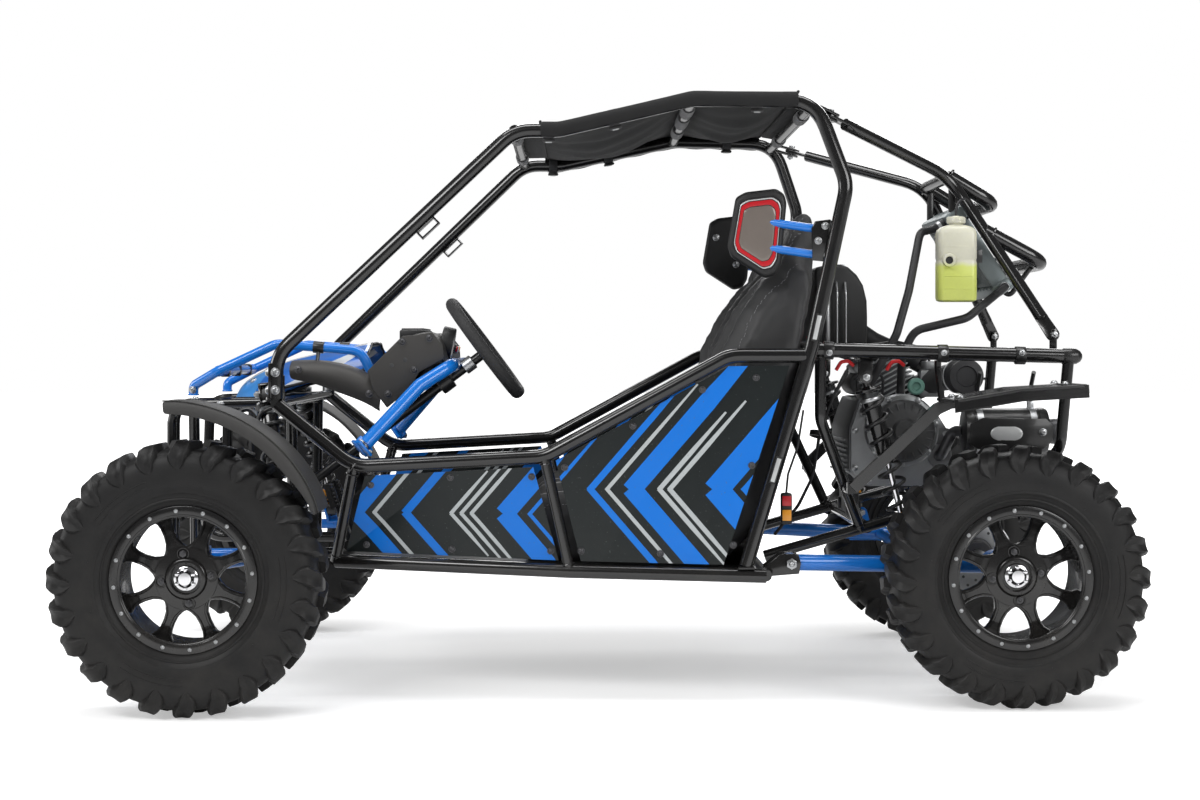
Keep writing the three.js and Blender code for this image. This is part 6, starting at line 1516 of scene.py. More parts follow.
def build_steering():
    axis = V(211, 0, 158).normalized()
    centre = V(-262, -230, 748)
    turn = frame_at(centre, (158, 0, -211), axis)
    foam, dark, metal = "grip foam", "satin black", "zinc steel"
    path = []
    for a in turns(72):
        flat = 0.86 / cos(a) * 1.02 if cos(a) > 0.86 else 1
        r = 131 * min(flat, 1)
        path.append(turn @ V(r * cos(a), r * sin(a), 0))
    parts = Parts([pipe(path, 29, foam, 0, 5, True)])
    for a in (0.0, radians(122), radians(238)):
        tangent = V(-sin(a), cos(a), 0)
        outward = V(cos(a), sin(a), 0)
        rings = []
        for r, wide, thick, lift in ((26, 22, 2.2, -14), (48, 17, 2.2, -13), (78, 14, 2.2, -9),
                (104, 16, 2.2, -4), (126, 20, 2.4, 0)):
            rings.append([turn @ (outward * r + tangent * (wide * x) + V(0, 0, lift + thick * z)) for x,
                z in ((-1, -1), (1, -1), (1, 1), (-1, 1))])
        parts.append(soften(lofted(rings, dark), 1.0, 2, 30))
        for r in (62, 90):
            hole = turn @ (outward * r + V(0, 0, -6))
            parts.disc(hole - axis * 1.2, hole + axis * 1.2, 5.5, metal, 20, 0.5)
    parts.turned([(0, -18), (34, -18), (36, -16), (36, -10), (34, -8), (24, -6), (22, 4), (18, 8),
        (0, 9)], centre, axis, dark, 44)
    for a in turns(6):
        parts.bolt(turn @ V(29 * cos(a), 29 * sin(a), -9), axis, 4.5, metal)
    parts.pipe([centre - axis * 12, V(-679, -230, 435.7)], 22, dark)
    parts.turned([(11, -66), (17, -64), (17, -40), (11, -38), (11, -66)], centre, axis, metal, 28)
    joint = V(-660, -230, 450)
    parts.turned([(0, -12), (15, -12), (17, -10), (17, 10), (15, 12), (0, 12)], joint, axis, "cast dark",
        28)
    finished(parts, "steering_wheel_rim", "steering_wheel", 40, ["steering_wheel"])
    # Column bearing, its bracket to the dash bar and the switch box
    mid = centre - axis * 118
    fixed = Parts([turned([(11.5, -16), (21, -16), (22, -15), (22, 15), (21, 16), (11.5, 16),
        (11.5, -16)], mid, axis, dark, 32)])
    fixed.block((-356, -246, 668), (-340, -214, 704), dark, 3)
    fixed.block((-388, -200, 690), (-346, -168, 716), "moulded black", 5)
    fixed.disc((-350, -184, 703), (-338, -184, 703), 8, "red rubber", 22, 2)
    finished(fixed, "column_bearing", "chassis", 40)


# Engine, exhaust, cooling and intake

def build_engine():
    silver, dark, steel = "cast silver", "cast dark", "zinc steel"
    clutch, intake = (684, -172, 566), (824, -146, 690)
    parts = Parts()
    outline = [(566, 472), (602, 436), (770, 436), (806, 472), (798, 560), (770, 604), (720, 640),
        (590, 640), (566, 569)]
    parts.prism(outline, -150, 150, silver, 10)
    for y, wide in ((-166, 12), (150, 14)):
        parts.prism([(686 + (x - 686) * 0.98, 538 + (z - 538) * 0.98) for x, z in outline], y - 6,
            y + wide - 6, silver, 4)
        for x, z in outline:
            place = (686 + (x - 686) * 0.9, y - 6 if y < 0 else y + wide - 6, 538 + (z - 538) * 0.88)
            parts.bolt(place, (0, -1 if y < 0 else 1, 0), 6, steel)
    for i in range(8):
        z = 462 + i * 11
        parts.block((560, -140 + i * 4, z), (568, 140 - i * 4, z + 4.5), silver, 1.5)
    # Cylinder with its fins, tilted forward
    tilt = Matrix.Translation((676, 0, 666)) @ Matrix.Rotation(-0.5, 4, "Y")
    for i in range(9):
        parts.block((-62, -66, -40 + i * 11), (62, 66, -36 + i * 11), silver, 2.5, tilt)
    parts.block((-48, -52, -52), (48, 52, 62), dark, 12, tilt)
    parts.block((-58, -60, 60), (58, 60, 84), silver, 9, tilt)
    for x in (-40, 40):
        for y in (-42, 42):
            parts.hexagon(tilt @ V(x, y, 84), tilt.to_3x3() @ UP, 13, 8, steel)
    # Spark plug and its lead
    plug = tilt @ V(0, -60, 74)
    parts.disc(plug, plug + V(-4, -24, 4), 8, "hose rubber", 20, 2)
    parts.pipe([plug + V(-4, -24, 4), plug + V(-20, -52, 0), plug + V(-50, -50, -60), (600, -150, 620)],
        7, "hose rubber", 26, 3)
    # Clutch cover: a ribbed black dome in a grey housing
    parts.turned([(0, -4), (80, -4), (84, 0), (84, 14), (80, 19), (72, 21), (70, 27), (0, 27)], clutch,
        LEFT, silver, 56)
    parts.turned([(0, 20), (71, 20), (71, 40), (69, 50), (62, 58), (48, 62), (30, 63), (28, 68),
        (24, 74), (0, 74)], clutch, LEFT, dark, 56)
    for a in turns(20):
        rib = block((30, -2.2, -4), (66, 2.2, 4), dark, 1.4)
        rib.data.transform(aim((684, -230, 566), LEFT, a))
        parts.append(rib)
    for a in turns(7, 0.2):
        parts.bolt((684 + 77 * cos(a), -192, 566 + 77 * sin(a)), LEFT, 6, steel)
    # Starter, oil plug, side housing
    parts.disc((612, -40, 670), (612, 120, 670), 28, dark, 32, 4)
    parts.turned([(0, 0), (16, 0), (18, 3), (18, 10), (14, 14), (0, 15)], (774, -156, 500), LEFT, dark,
        24)
    parts.turned([(0, 0), (52, 0), (56, 4), (56, 16), (50, 24), (30, 28), (0, 28)], (650, 158, 540),
        RIGHT, silver, 44)
    for a in turns(6):
        parts.bolt((650 + 48 * cos(a), 180, 540 + 48 * sin(a)), RIGHT, 6, steel)
    # Mounts on the cradle
    for x, floor in ((588, 366.5), (786, 424.5)):
        parts.block((x - 12, -86, floor), (x + 12, 86, 484), dark, 3)
        for y in (-70, 70):
            parts.disc((x - 17, y, floor + 16), (x + 17, y, floor + 16), 15, "hose rubber", 26, 2)
    # Carburettor, intake duct and the drum filter
    parts.pipe([(702, 0, 640), (756, -60, 668), (800, -120, 688), intake], 58, dark, 40, 4)
    parts.block((742, -92, 640), (792, -44, 704), silver, 7)
    parts.disc((767, -68, 704), (767, -68, 724), 20, silver, 28, 3)
    ribs = [(37 + 3 * ((i + 1) % 2), 4 + i * 3.1) for i in range(22)]
    ribs = [(0, 0), (40, 0), *ribs, (40, 74), (38, 80), (24, 82), (22, 77), (0, 77)]
    parts.turned(ribs, intake, LEFT, "hose rubber", 48)
    parts.turned([(40.5, 8), (42, 8.5), (42, 14), (40.5, 14.5), (40.5, 8)], intake, LEFT, steel, 40)
    # Lower coolant hose with its clamps
    lower = [(921.8, -160, 894.6), (921.8, -179, 894.6), (822, -243, 822), (703, -243, 794),
        (674.5, -243, 737), (684, -172, 678), (684, -150, 618)]
    parts.pipe(lower, 19, "hose rubber", 45, 4)
    for a, b in ((lower[0], lower[1]), (lower[5], lower[6])):
        place = Vector(a).lerp(Vector(b), 0.5)
        axis = Vector(b) - Vector(a)
        parts.turned([(9.6, -4), (10.9, -4), (10.9, 4), (9.6, 4), (9.6, -4)], place, axis, steel, 28)
    # Wiring and control cables across the engine
    for points in ([(640, -176, 636), (640, -196, 690), (590, -210, 720), (540, -230, 735)],
            [(767, -68, 722), (760, -80, 752), (680, -120, 770), (560, -150, 752)],
            [(612, 40, 698), (590, 60, 730), (540, 80, 744)]):
        parts.pipe(points, 6.5, "hose rubber", 30, 3)
    finished(parts, "engine_block", "chassis", 35, ["engine"])


def build_muffler():
    black, light, steel = "satin black", "light silver", "zinc steel"
    front = (812, -226, 566)
    parts = Parts([turned([(0, 0), (30, 0), (48, 4), (53, 12), (54, 18), (54, 22), (52.5, 24),
        (52.5, 168), (54, 170), (54, 182), (50, 190), (34, 194), (0, 194)], front, BACK, black, 56)])
    parts.turned([(0, 190), (24, 190), (27, 194), (29, 206), (29, 222), (27, 223), (24, 223), (24, 200),
        (0, 200)], front, BACK, "dark steel", 44)
    parts.turned([(24.5, 214), (27.6, 214), (28.9, 218), (28.6, 222), (24.5, 222.6), (24.5, 214)], front,
        BACK, light, 40)
    for x in (848, 968):
        parts.turned([(52.6, -7), (54, -7), (54, 7), (52.6, 7), (52.6, -7)], (x, -226, 566), BACK, steel,
            48)
        parts.block((x - 7, -232, 618), (x + 7, -218, 634), steel, 2)
        parts.pipe([(x, -226, 630), (x, -226, 660), (x, -262, 700)], 10, black, 20)
    # Oval shield on the side
    rings = []
    for grow, y in ((0.94, -279), (1.0, -280.3), (1.0, -281.8), (0.94, -283), (0.86, -283.4)):
        rings.append([V(903 + 36 * grow * cos(a), y + 3 * abs(sin(a)) ** 2, 563 + 20 * grow * sin(a))
            for a in turns(44)])
    parts.lofted(rings, light)
    parts.prism([(820, 540), (838, 528), (986, 528), (1006, 546), (1008, 580), (992, 596), (850, 598),
        (822, 584)], -281, -277, black, 1.5)
    parts.bolt((984, -281, 566), LEFT, 7, steel)
    exhaust = [(818, -226, 566), (797.5, -201, 566), (770.5, -197, 508), (770.5, -172, 508)]
    parts.pipe(exhaust, 25, "dark steel", 24, 4)
    parts.turned([(13, -2), (25, -2), (26, 0), (26, 6), (13, 7), (13, -2)], (770.5, -174, 508), LEFT,
        steel, 28)
    finished(parts, "exhaust", "chassis", 35, ["muffler"])


def build_radiator():
    grey, dark, steel = "radiator grey", "satin black", "zinc steel"
    along = V(124, 0, -190).normalized()
    turn = frame_at((868, 0, 977), along, (-along.z, 0, along.x))
    parts = Parts()
    parts.block((-85, -146, -17), (85, 146, 17), dark, 2, turn)
    fin = block((-82, -0.8, -20.5), (82, 0.8, 20.5), grey, 0)
    for i in range(57):
        parts.copied(fin, turn @ Matrix.Translation((0, -140 + i * 5, 0)))
    bpy.data.objects.remove(fin)
    for i in range(12):
        x = -76 + i * 13.8
        parts.block((x - 1.7, -145, -19.4), (x + 1.7, 145, 19.4), grey, 0.4, turn)
    for hand in BOTH:
        parts.block((hand * 98 - 15, -160, -27), (hand * 98 + 15, 160, 27), grey, 9, turn)
        parts.block((-90, hand * 150 - 5, -20), (90, hand * 150 + 5, 20), grey, 2, turn)
        for i in range(9):
            y = -144 + i * 36
            parts.block((hand * 86 - 3, y - 3, -28), (hand * 86 + 3, y + 3, 28), grey, 1, turn)
    neck = turn @ V(-98, -60, 20)
    up = turn.to_3x3() @ UP
    parts.disc(neck, neck + up * 22, 14, grey, 28, 1)
    parts.turned([(0, 0), (18, 0), (20, 2), (20, 9), (17, 12), (0, 13)], neck + up * 20, up, steel, 28)
    # Fan and its shroud on the engine's side
    hub = turn @ V(0, 20, -30)
    out = turn.to_3x3() @ V(0, 0, -1)
    parts.turned([(74, -8), (78, -8), (78, 6), (74, 6), (74, -8)], hub, out, dark, 48)
    parts.turned([(0, -4), (24, -4), (24, 12), (20, 15), (0, 15)], hub, out, dark, 32)
    for i in range(7):
        blade = block((20, -9, -1), (72, 9, 1), dark, 0.6)
        blade.data.transform(aim(hub, out, i * TAU / 7) @ Matrix.Rotation(0.5, 4, "X"))
        parts.append(blade)
    for a in turns(4, 0.78):
        tip = turn @ V(76 * cos(a), 20 + 76 * sin(a), -30)
        root = turn @ V(84 * cos(a), 20 + 120 * sin(a), -14)
        parts.pipe([tip, root], 7, dark, 0, 2)
    # Hangers and the tank's bracket
    for s in BOTH:
        parts.block((800, s * 130, 1042), (812, s * 154, 1134), dark, 2)
        parts.pipe(flip([(806, 142, 1128), (806, 150, 1146)], s), 14, dark)
        parts.pipe([turn @ V(96, s * 120, 0), turn @ V(128, s * 122, 6), V(995, s * 140, 950)], 12, dark,
            20)
    parts.block((831, -232, 947), (859, -130, 977), dark, 2)
    parts.block((822, -236, 902), (846, -226, 1000), dark, 2)
    for z in (915, 988):
        parts.bolt((834, -236, z), LEFT, 6, steel)
    finished(parts, "radiator_core", "chassis", 35, ["radiator"])


def build_hoses():
    rubber, steel = "hose rubber", "zinc steel"
    points = [(791.3, -130, 1044.5), (769, -130, 1029.9), (722.6, -202, 1018), (684, -281, 882),
        (654, -300, 786), (596, -281, 670), (596, -210, 610), (596, -172.4, 610)]
    parts = Parts([pipe(points, 19, rubber, 45, 4)])
    for end, inner in ((points[0], points[1]), (points[7], points[6])):
        axis = Vector(inner) - Vector(end)
        parts.turned([(9.6, -4), (10.9, -4), (10.9, 4), (9.6, 4), (9.6, -4)],
            Vector(end) + axis.normalized() * 14, axis, steel, 28)
    finished(parts, "upper_coolant_hose", "chassis", 40, ["upper_hose"])


def build_bottle():
    plastic, black = "bottle plastic", "moulded black"
    parts = Parts()

    def section(half_x, half_y, z, corner):
        points = []
        for cx, cy, start in ((1, 1, 0), (-1, 1, 90), (-1, -1, 180), (1, -1, 270)):
            for k in range(6):
                a = radians(start + k * 18)
                points.append(V(793 + cx * (half_x - corner) + corner * cos(a),
                    -262 + cy * (half_y - corner) + corner * sin(a), z))
        return points

    stations = ((36, 22, 858, 12), (42, 28, 861, 13), (43.6, 29.6, 867, 14), (43.6, 29.6, 946, 14),
        (42.6, 28.6, 949, 14), (42.6, 28.6, 953, 14), (43.6, 29.6, 956, 14), (43.6, 29.6, 1010, 14),
        (41, 27, 1020, 14), (33, 22, 1026, 14), (20, 18, 1030, 12))
    parts.lofted([section(*station) for station in stations], plastic)
    parts.disc((793, -262, 1024), (793, -262, 1036), 16, plastic, 32, 1.5)
    grip = [(0, 0), (19, 0), (20.6, 1.5), (20.6, 13), (18.5, 15.5), (8, 16), (7, 17.5), (0, 17.8)]
    parts.turned(grip, (793, -262, 1033.6), UP, plastic, 36)
    for a in turns(26):
        x, y = 793 + 20.3 * cos(a), -262 + 20.3 * sin(a)
        parts.block((x - 0.9, y - 0.9, 1035.5), (x + 0.9, y + 0.9, 1046), plastic, 0.3)
    # Side spout with its dark mouth
    parts.turned([(0, 0), (15, 0), (15, 12), (13.6, 14), (9, 14), (8, 8), (0, 8)], (771, -290, 950),
        LEFT, plastic, 32)
    parts.turned([(0, 0), (8.4, 0), (8.4, 1.4), (0, 1.4)], (771, -298.4, 950), LEFT, black, 24)
    # Moulded ribs
    for z in (886, 914, 980):
        parts.block((760, -292.6, z), (826, -291.2, z + 2), plastic, 0.6)
    finished(parts, "coolant_tank", "chassis", 40, ["coolant_bottle"])


OVERFLOW = [(0.793, -0.262, 1.0500), (0.793, -0.262, 1.0640), (0.797, -0.258, 1.0780),
    (0.806, -0.248, 1.0880), (0.818, -0.234, 1.0920), (0.829, -0.217, 1.0890), (0.837, -0.200, 1.0810),
    (0.841, -0.184, 1.0700), (0.842, -0.168, 1.0600), (0.840, -0.152, 1.0530), (0.836, -0.136, 1.0510),
    (0.831, -0.120, 1.0530), (0.827, -0.106, 1.0580), (0.824, -0.094, 1.0640), (0.8225, -0.082, 1.0700),
    (0.8220, -0.074, 1.0740)]


def build_overflow_hose():
    """The thin hose from the tank's cap to the radiator's neck."""
    path = route([V(*p) / METRE for p in OVERFLOW], 18, 5)
    length = sum((b - a).length for a, b in zip(path, path[1:])) * METRE
    hose = finished([pipe(path, 6, "hose rubber", 0, 3)], "overflow_hose", "chassis", 50)
    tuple(OVERFLOW[0])


def build_air_box():
    dark, steel = "moulded black", "zinc steel"
    shares = [(-0.5, 0), (0.5, 0), (0.5, 0.35), (0.49, 0.55), (0.42, 0.74), (0.3, 0.87), (0.14, 0.965),
        (0, 1), (-0.3, 0.99), (-0.46, 0.965), (-0.5, 0.93)]
    outline = [(548 + x * 121, 761.5 + z * 185) for x, z in shares]
    rings = []
    for y, scale in ((-168, 0.8), (-166, 0.93), (-158, 1.0), (158, 1.0), (166, 0.93), (168, 0.8)):
        rings.append([V(548 + (x - 548) * scale, y, 854 + (z - 854) * scale) for x, z in outline])
    parts = Parts([lofted(rings, dark)])
    for i in range(9):
        y = -140 + i * 35
        parts.pipe([(607, y, 800), (607, y, 855), (597, y, 893), (572, y, 931), (548, y, 944)], 5, dark,
            12, 2)
    for y in (-100, 100):
        parts.block((530, y - 16, 940), (566, y + 16, 949), steel, 2)
        parts.block((604, y - 8, 790), (612, y + 8, 830), steel, 2)
    parts.pipe([(609, -60, 790), (640, -50, 770), (700, -20, 745), (752, -56, 716)], 44, "hose rubber",
        60, 4)
    # Steel post and two thin rods beside the box
    parts.disc((512, -196, 762), (512, -196, 900), 7, steel, 20, 1)
    parts.disc((512, -196, 900), (512, -196, 912), 11, "moulded black", 24, 2)
    for x in (536, 556):
        parts.pipe([(x, -184, 760), (x, -184, 880), (x, -172, 905)], 5, steel, 14, 2)
    parts.block((500, -200, 756), (568, -178, 762), "satin black", 1.5)
    finished(parts, "air_cleaner", "chassis", 40, ["air_box"])


def build_small_parts():
    """Lamp, straps, knob, cables and the like."""
    black, red, amber = "satin black", "warm red", "amber"
    parts = Parts()
    # Tail lamp pair behind the hoop's foot
    parts.block((384, -424, 372), (408, -400, 440), "moulded black", 5)
    parts.block((386, -428, 412), (406, -423, 434), red, 3)
    parts.block((386, -428, 380), (406, -423, 404), amber, 3)
    parts.pipe([(396, -412, 440), (400, -410, 480), (420, -420, 540), (430, -440, 620)], 5,
        "hose rubber", 30, 2)
    # Red knob and strap loops on the waist bar
    parts.disc((452, -352, 770), (468, -352, 790), 10, "red rubber", 26, 4)
    for x, y in ((462, -376), (528, -372), (640, -366)):
        parts.pipe([(x - 18, y + 4, 706), (x - 8, y - 2, 724), (x + 8, y - 2, 726),
            (x + 20, y + 4, 716)], 8, "red rubber", 10, 3)
    # Brown-green port beside the intake
    parts.turned([(0, 0), (17, 0), (19, 2), (19, 16), (16, 19), (10, 19), (8, 12), (0, 12)],
        (706, -236, 668), LEFT, "teal port", 32)
    # Cable bundle from the engine to the swing pivot
    rng = random.Random(5)
    for i in range(6):
        jitter = [rng.uniform(-8, 8) for _ in range(6)]
        parts.pipe([(560, -160 - i * 6, 700 + jitter[0]), (520, -220 + jitter[1], 640),
            (486, -262 + jitter[2], 560), (470, -286 + jitter[3], 470), (440, -250 + jitter[4], 400),
            (392, -200 + jitter[5], 330)], 6.0, "hose rubber", 60, 2)
    parts.turned([(20, -6), (23, -6), (23, 6), (20, 6), (20, -6)], (487, -262, 560), (0.2, 0.2, 1),
        black, 26)
    finished(parts, "wiring_and_lamp", "chassis", 40)


# Soft goods

CLOTH_FRAMES = 20
SEAT_SECTIONS = 34


def floor_height(x):
    """Height of the floor pan's upper face at a station."""
    return 267.0 + (346 - x) * 0.0226 + 3.0


def seat_rings(side):
    """Sections across a bucket seat, from its inner to its outer edge."""
    spacing, half = side * 226, 192 - 1.0
    waist, top, front, cushion = 756, 1062, -178, 118
    lean = (474 - 428) / (1066 - 756)
    rings = []
    for i in range(SEAT_SECTIONS + 1):
        across = -1 + 2 * i / SEAT_SECTIONS
        edge = abs(across)
        rise = exp(-((edge - 0.80) / 0.13) ** 2)
        bolster = 58 * rise
        inset = 16 * max(0, (edge - 0.93) / 0.07) ** 2
        crown = 10 * max(0, 1 - (edge / 0.62) ** 2)
        head = max(0, edge - 0.58) / 0.42
        top_z = top - (top - waist) * 0.42 * sqrt(head)

        def back_x(z):
            return 427 + (z - waist) * lean

        def face_x(z, share):
            return back_x(z) - (116 + bolster) * share

        knee_z = floor_height(front) + 8 + cushion - 8 + bolster * 0.8
        hip_x, hip_z = 336 - bolster, floor_height(0) + cushion + 8
        middle = (waist + top_z) / 2
        outline = [(front + 10 + inset, floor_height(front) + 9 + inset),
            (front + inset, floor_height(front) + 60), (front + 12 + inset, knee_z - 26 - inset),
            (front + 40, knee_z - 4 + crown * 0.4 - inset), (front + 110, knee_z + crown - inset),
            (40, knee_z - 12 + crown - inset), (hip_x - 120, hip_z - 2 + crown * 0.6 - inset),
            (hip_x - 64, hip_z + 16), (hip_x - 34, hip_z + 62), (face_x(560, 1) - 16, 560),
            (face_x(640, 1) - crown, 640), (face_x(waist, 0.98) - crown, waist),
            (face_x(840, 0.8) - crown * 0.6, min(840, top_z - 60)),
            (face_x(middle + 40, 0.6), middle + 36), (face_x(top_z, 0.44), top_z - 40),
            (face_x(top_z, 0.36), top_z - 12), (face_x(top_z, 0.2), top_z),
            (back_x(top_z) - 8, top_z - 10), (back_x(top_z) - inset * 0.4, top_z - 50),
            (back_x(waist) - inset * 0.4, waist), (392 - inset * 0.4, 560),
            (352 - inset * 0.4, floor_height(330) + 120), (272, floor_height(272) + 26 + inset),
            (160, floor_height(160) + 10 + inset), (0, floor_height(0) + 9 + inset)]
        rings.append([V(x, spacing + across * half * (1 - max(0, (z - waist) / (top - waist)) * 0.30), z)
            for x, z in outline])
    return rings


def puffed(obj, voxel, pressure, cap):
    """Swells a pad like stuffed fabric, within a cap."""
    modify(obj, "REMESH", mode="VOXEL", voxel_size=voxel * METRE)
    rest = [v.co.copy() for v in obj.data.vertices]
    pick(obj)
    cloth = obj.modifiers.new("Cloth", "CLOTH")
    cloth.settings.quality = 4
    cloth.settings.mass = 0.3
    cloth.settings.tension_stiffness = 30
    cloth.settings.compression_stiffness = 30
    cloth.settings.bending_stiffness = 2.0
    cloth.settings.use_pressure = True
    cloth.settings.uniform_pressure_force = pressure
    cloth.settings.effector_weights.gravity = 0.0
    scene = bpy.context.scene
    for number in range(1, CLOTH_FRAMES + 1):
        scene.frame_set(number)
    graph = bpy.context.evaluated_depsgraph_get()
    moved = [v.co.copy() for v in obj.evaluated_get(graph).data.vertices]
    obj.modifiers.remove(cloth)
    for vertex, before, after in zip(obj.data.vertices, rest, moved):
        shift = after - before
        if shift.length > cap * METRE:
            shift = shift.normalized() * cap * METRE
        vertex.co = before + shift
    scene.frame_set(1)


def build_seats():
    cover, thread = "leatherette", "stitching"
    source = lofted(seat_rings(1), cover)
    source.data.transform(Matrix.Scale(METRE, 4))
    puffed(source, 7, 4.0, 5)
    modify(source, "SMOOTH", factor=0.5, iterations=4)
    centre, half = 0.226, 0.191
    low, high = V(-0.1836, 0.0345, 0.2845), V(0.4735, 0.4175, 1.0655)
    for vertex in source.data.vertices:
        p = vertex.co
        across = abs(p.y - centre) / half
        if p.z > 0.40 and p.x < 0.43:
            depth = 0.0
            for g in (0.30, 0.62):
                depth += 0.0045 * exp(-((across
                    - g * (1 - max(0, (p.z - 0.756) / 0.31) * 0.3)) / 0.022) ** 2)
            if across < 0.62:
                for z in (0.52, 0.60, 0.68, 0.76, 0.84, 0.92):
                    depth += 0.0035 * exp(-((p.z - z) / 0.006) ** 2)
                for x in (-0.10, -0.02, 0.06, 0.14):
                    if p.z < 0.47:
                        depth += 0.0035 * exp(-((p.x - x) / 0.006) ** 2)
            inward = V(0.08, centre, 0.62) - p if p.z < 0.5 else V(0.45, p.y, p.z) - p
            if p.z < 0.48:
                inward = V(0, 0, -1)
            inward.normalize()
            vertex.co = p + inward * depth
        vertex.co.x += 0.0012 * sin(p.z * 150 + p.y * 40) * sin(p.x * 90) * (1 if across > 0.6 else 0.3)
        for i in range(3):
            vertex.co[i] = min(max(vertex.co[i], low[i]), high[i])
    for s, hand in SIDES:
        seat = copied(source, Matrix.Identity(4) if s > 0 else MIRROR)
        seat.name = seat.data.name = hand + "_bucket_seat"
        pick(seat)
        bpy.ops.object.shade_smooth()
        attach(seat, "chassis")
        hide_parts(hand + "_seat")
        # Stitched seams that follow the cover, a finger's width from each groove
        surface = [(v.co.copy(), v.normal.copy()) for v in seat.data.vertices]
        find = KDTree(len(surface))
        for i, (place, _) in enumerate(surface):
            find.insert(place, i)
        find.balance()
        points, faces = [], []
        rings = seat_rings(s)
        for share in (0.56, 0.66, 0.93):
            for sign in BOTH:
                loop = route(rings[round((1 + sign * share) / 2 * SEAT_SECTIONS)][2:17], 60, 5)
                for place, direction in spaced(loop, 7.0):
                    where, normal = surface[find.find(place * METRE)[1]]
                    lift, up = (where + normal * 0.0006) / METRE, normal * 0.7
                    a, b = lift - direction * 2.0, lift + direction * 2.0
                    wide = direction.cross(normal).normalized() * 0.55
                    start = len(points)
                    points += [a - wide, b - wide, b + wide, a + wide, a.lerp(b, 0.3) + up,
                        a.lerp(b, 0.7) + up]
                    for face in ((0, 1, 5, 4), (1, 2, 5), (2, 3, 4, 5), (3, 0, 4), (3, 2, 1, 0)):
                        faces.append([start + k for k in face])
        seams = tidy(mesh_of("seams", points, faces, thread), 0.001)
        finished([seams], hand + "_seat_stitching", "chassis", 30)
        # Seat runners under the cushion
        parts = Parts()
        rail = floor_height(-150)
        for y in (110, 330):
            parts.block((-150, s * y - 12, rail + 2), (210, s * y + 12, rail + 10), "satin black", 2)
        finished(parts, hand + "_seat_runners", "chassis", 40)
    bpy.data.objects.remove(source)


def roof_line(x):
    """Half width and height of the cage's top rails at a station."""
    return smooth_at([(-194, 415, 1226), (-98, 418, 1226), (190, 440, 1290), (455, 455, 1286)], x)


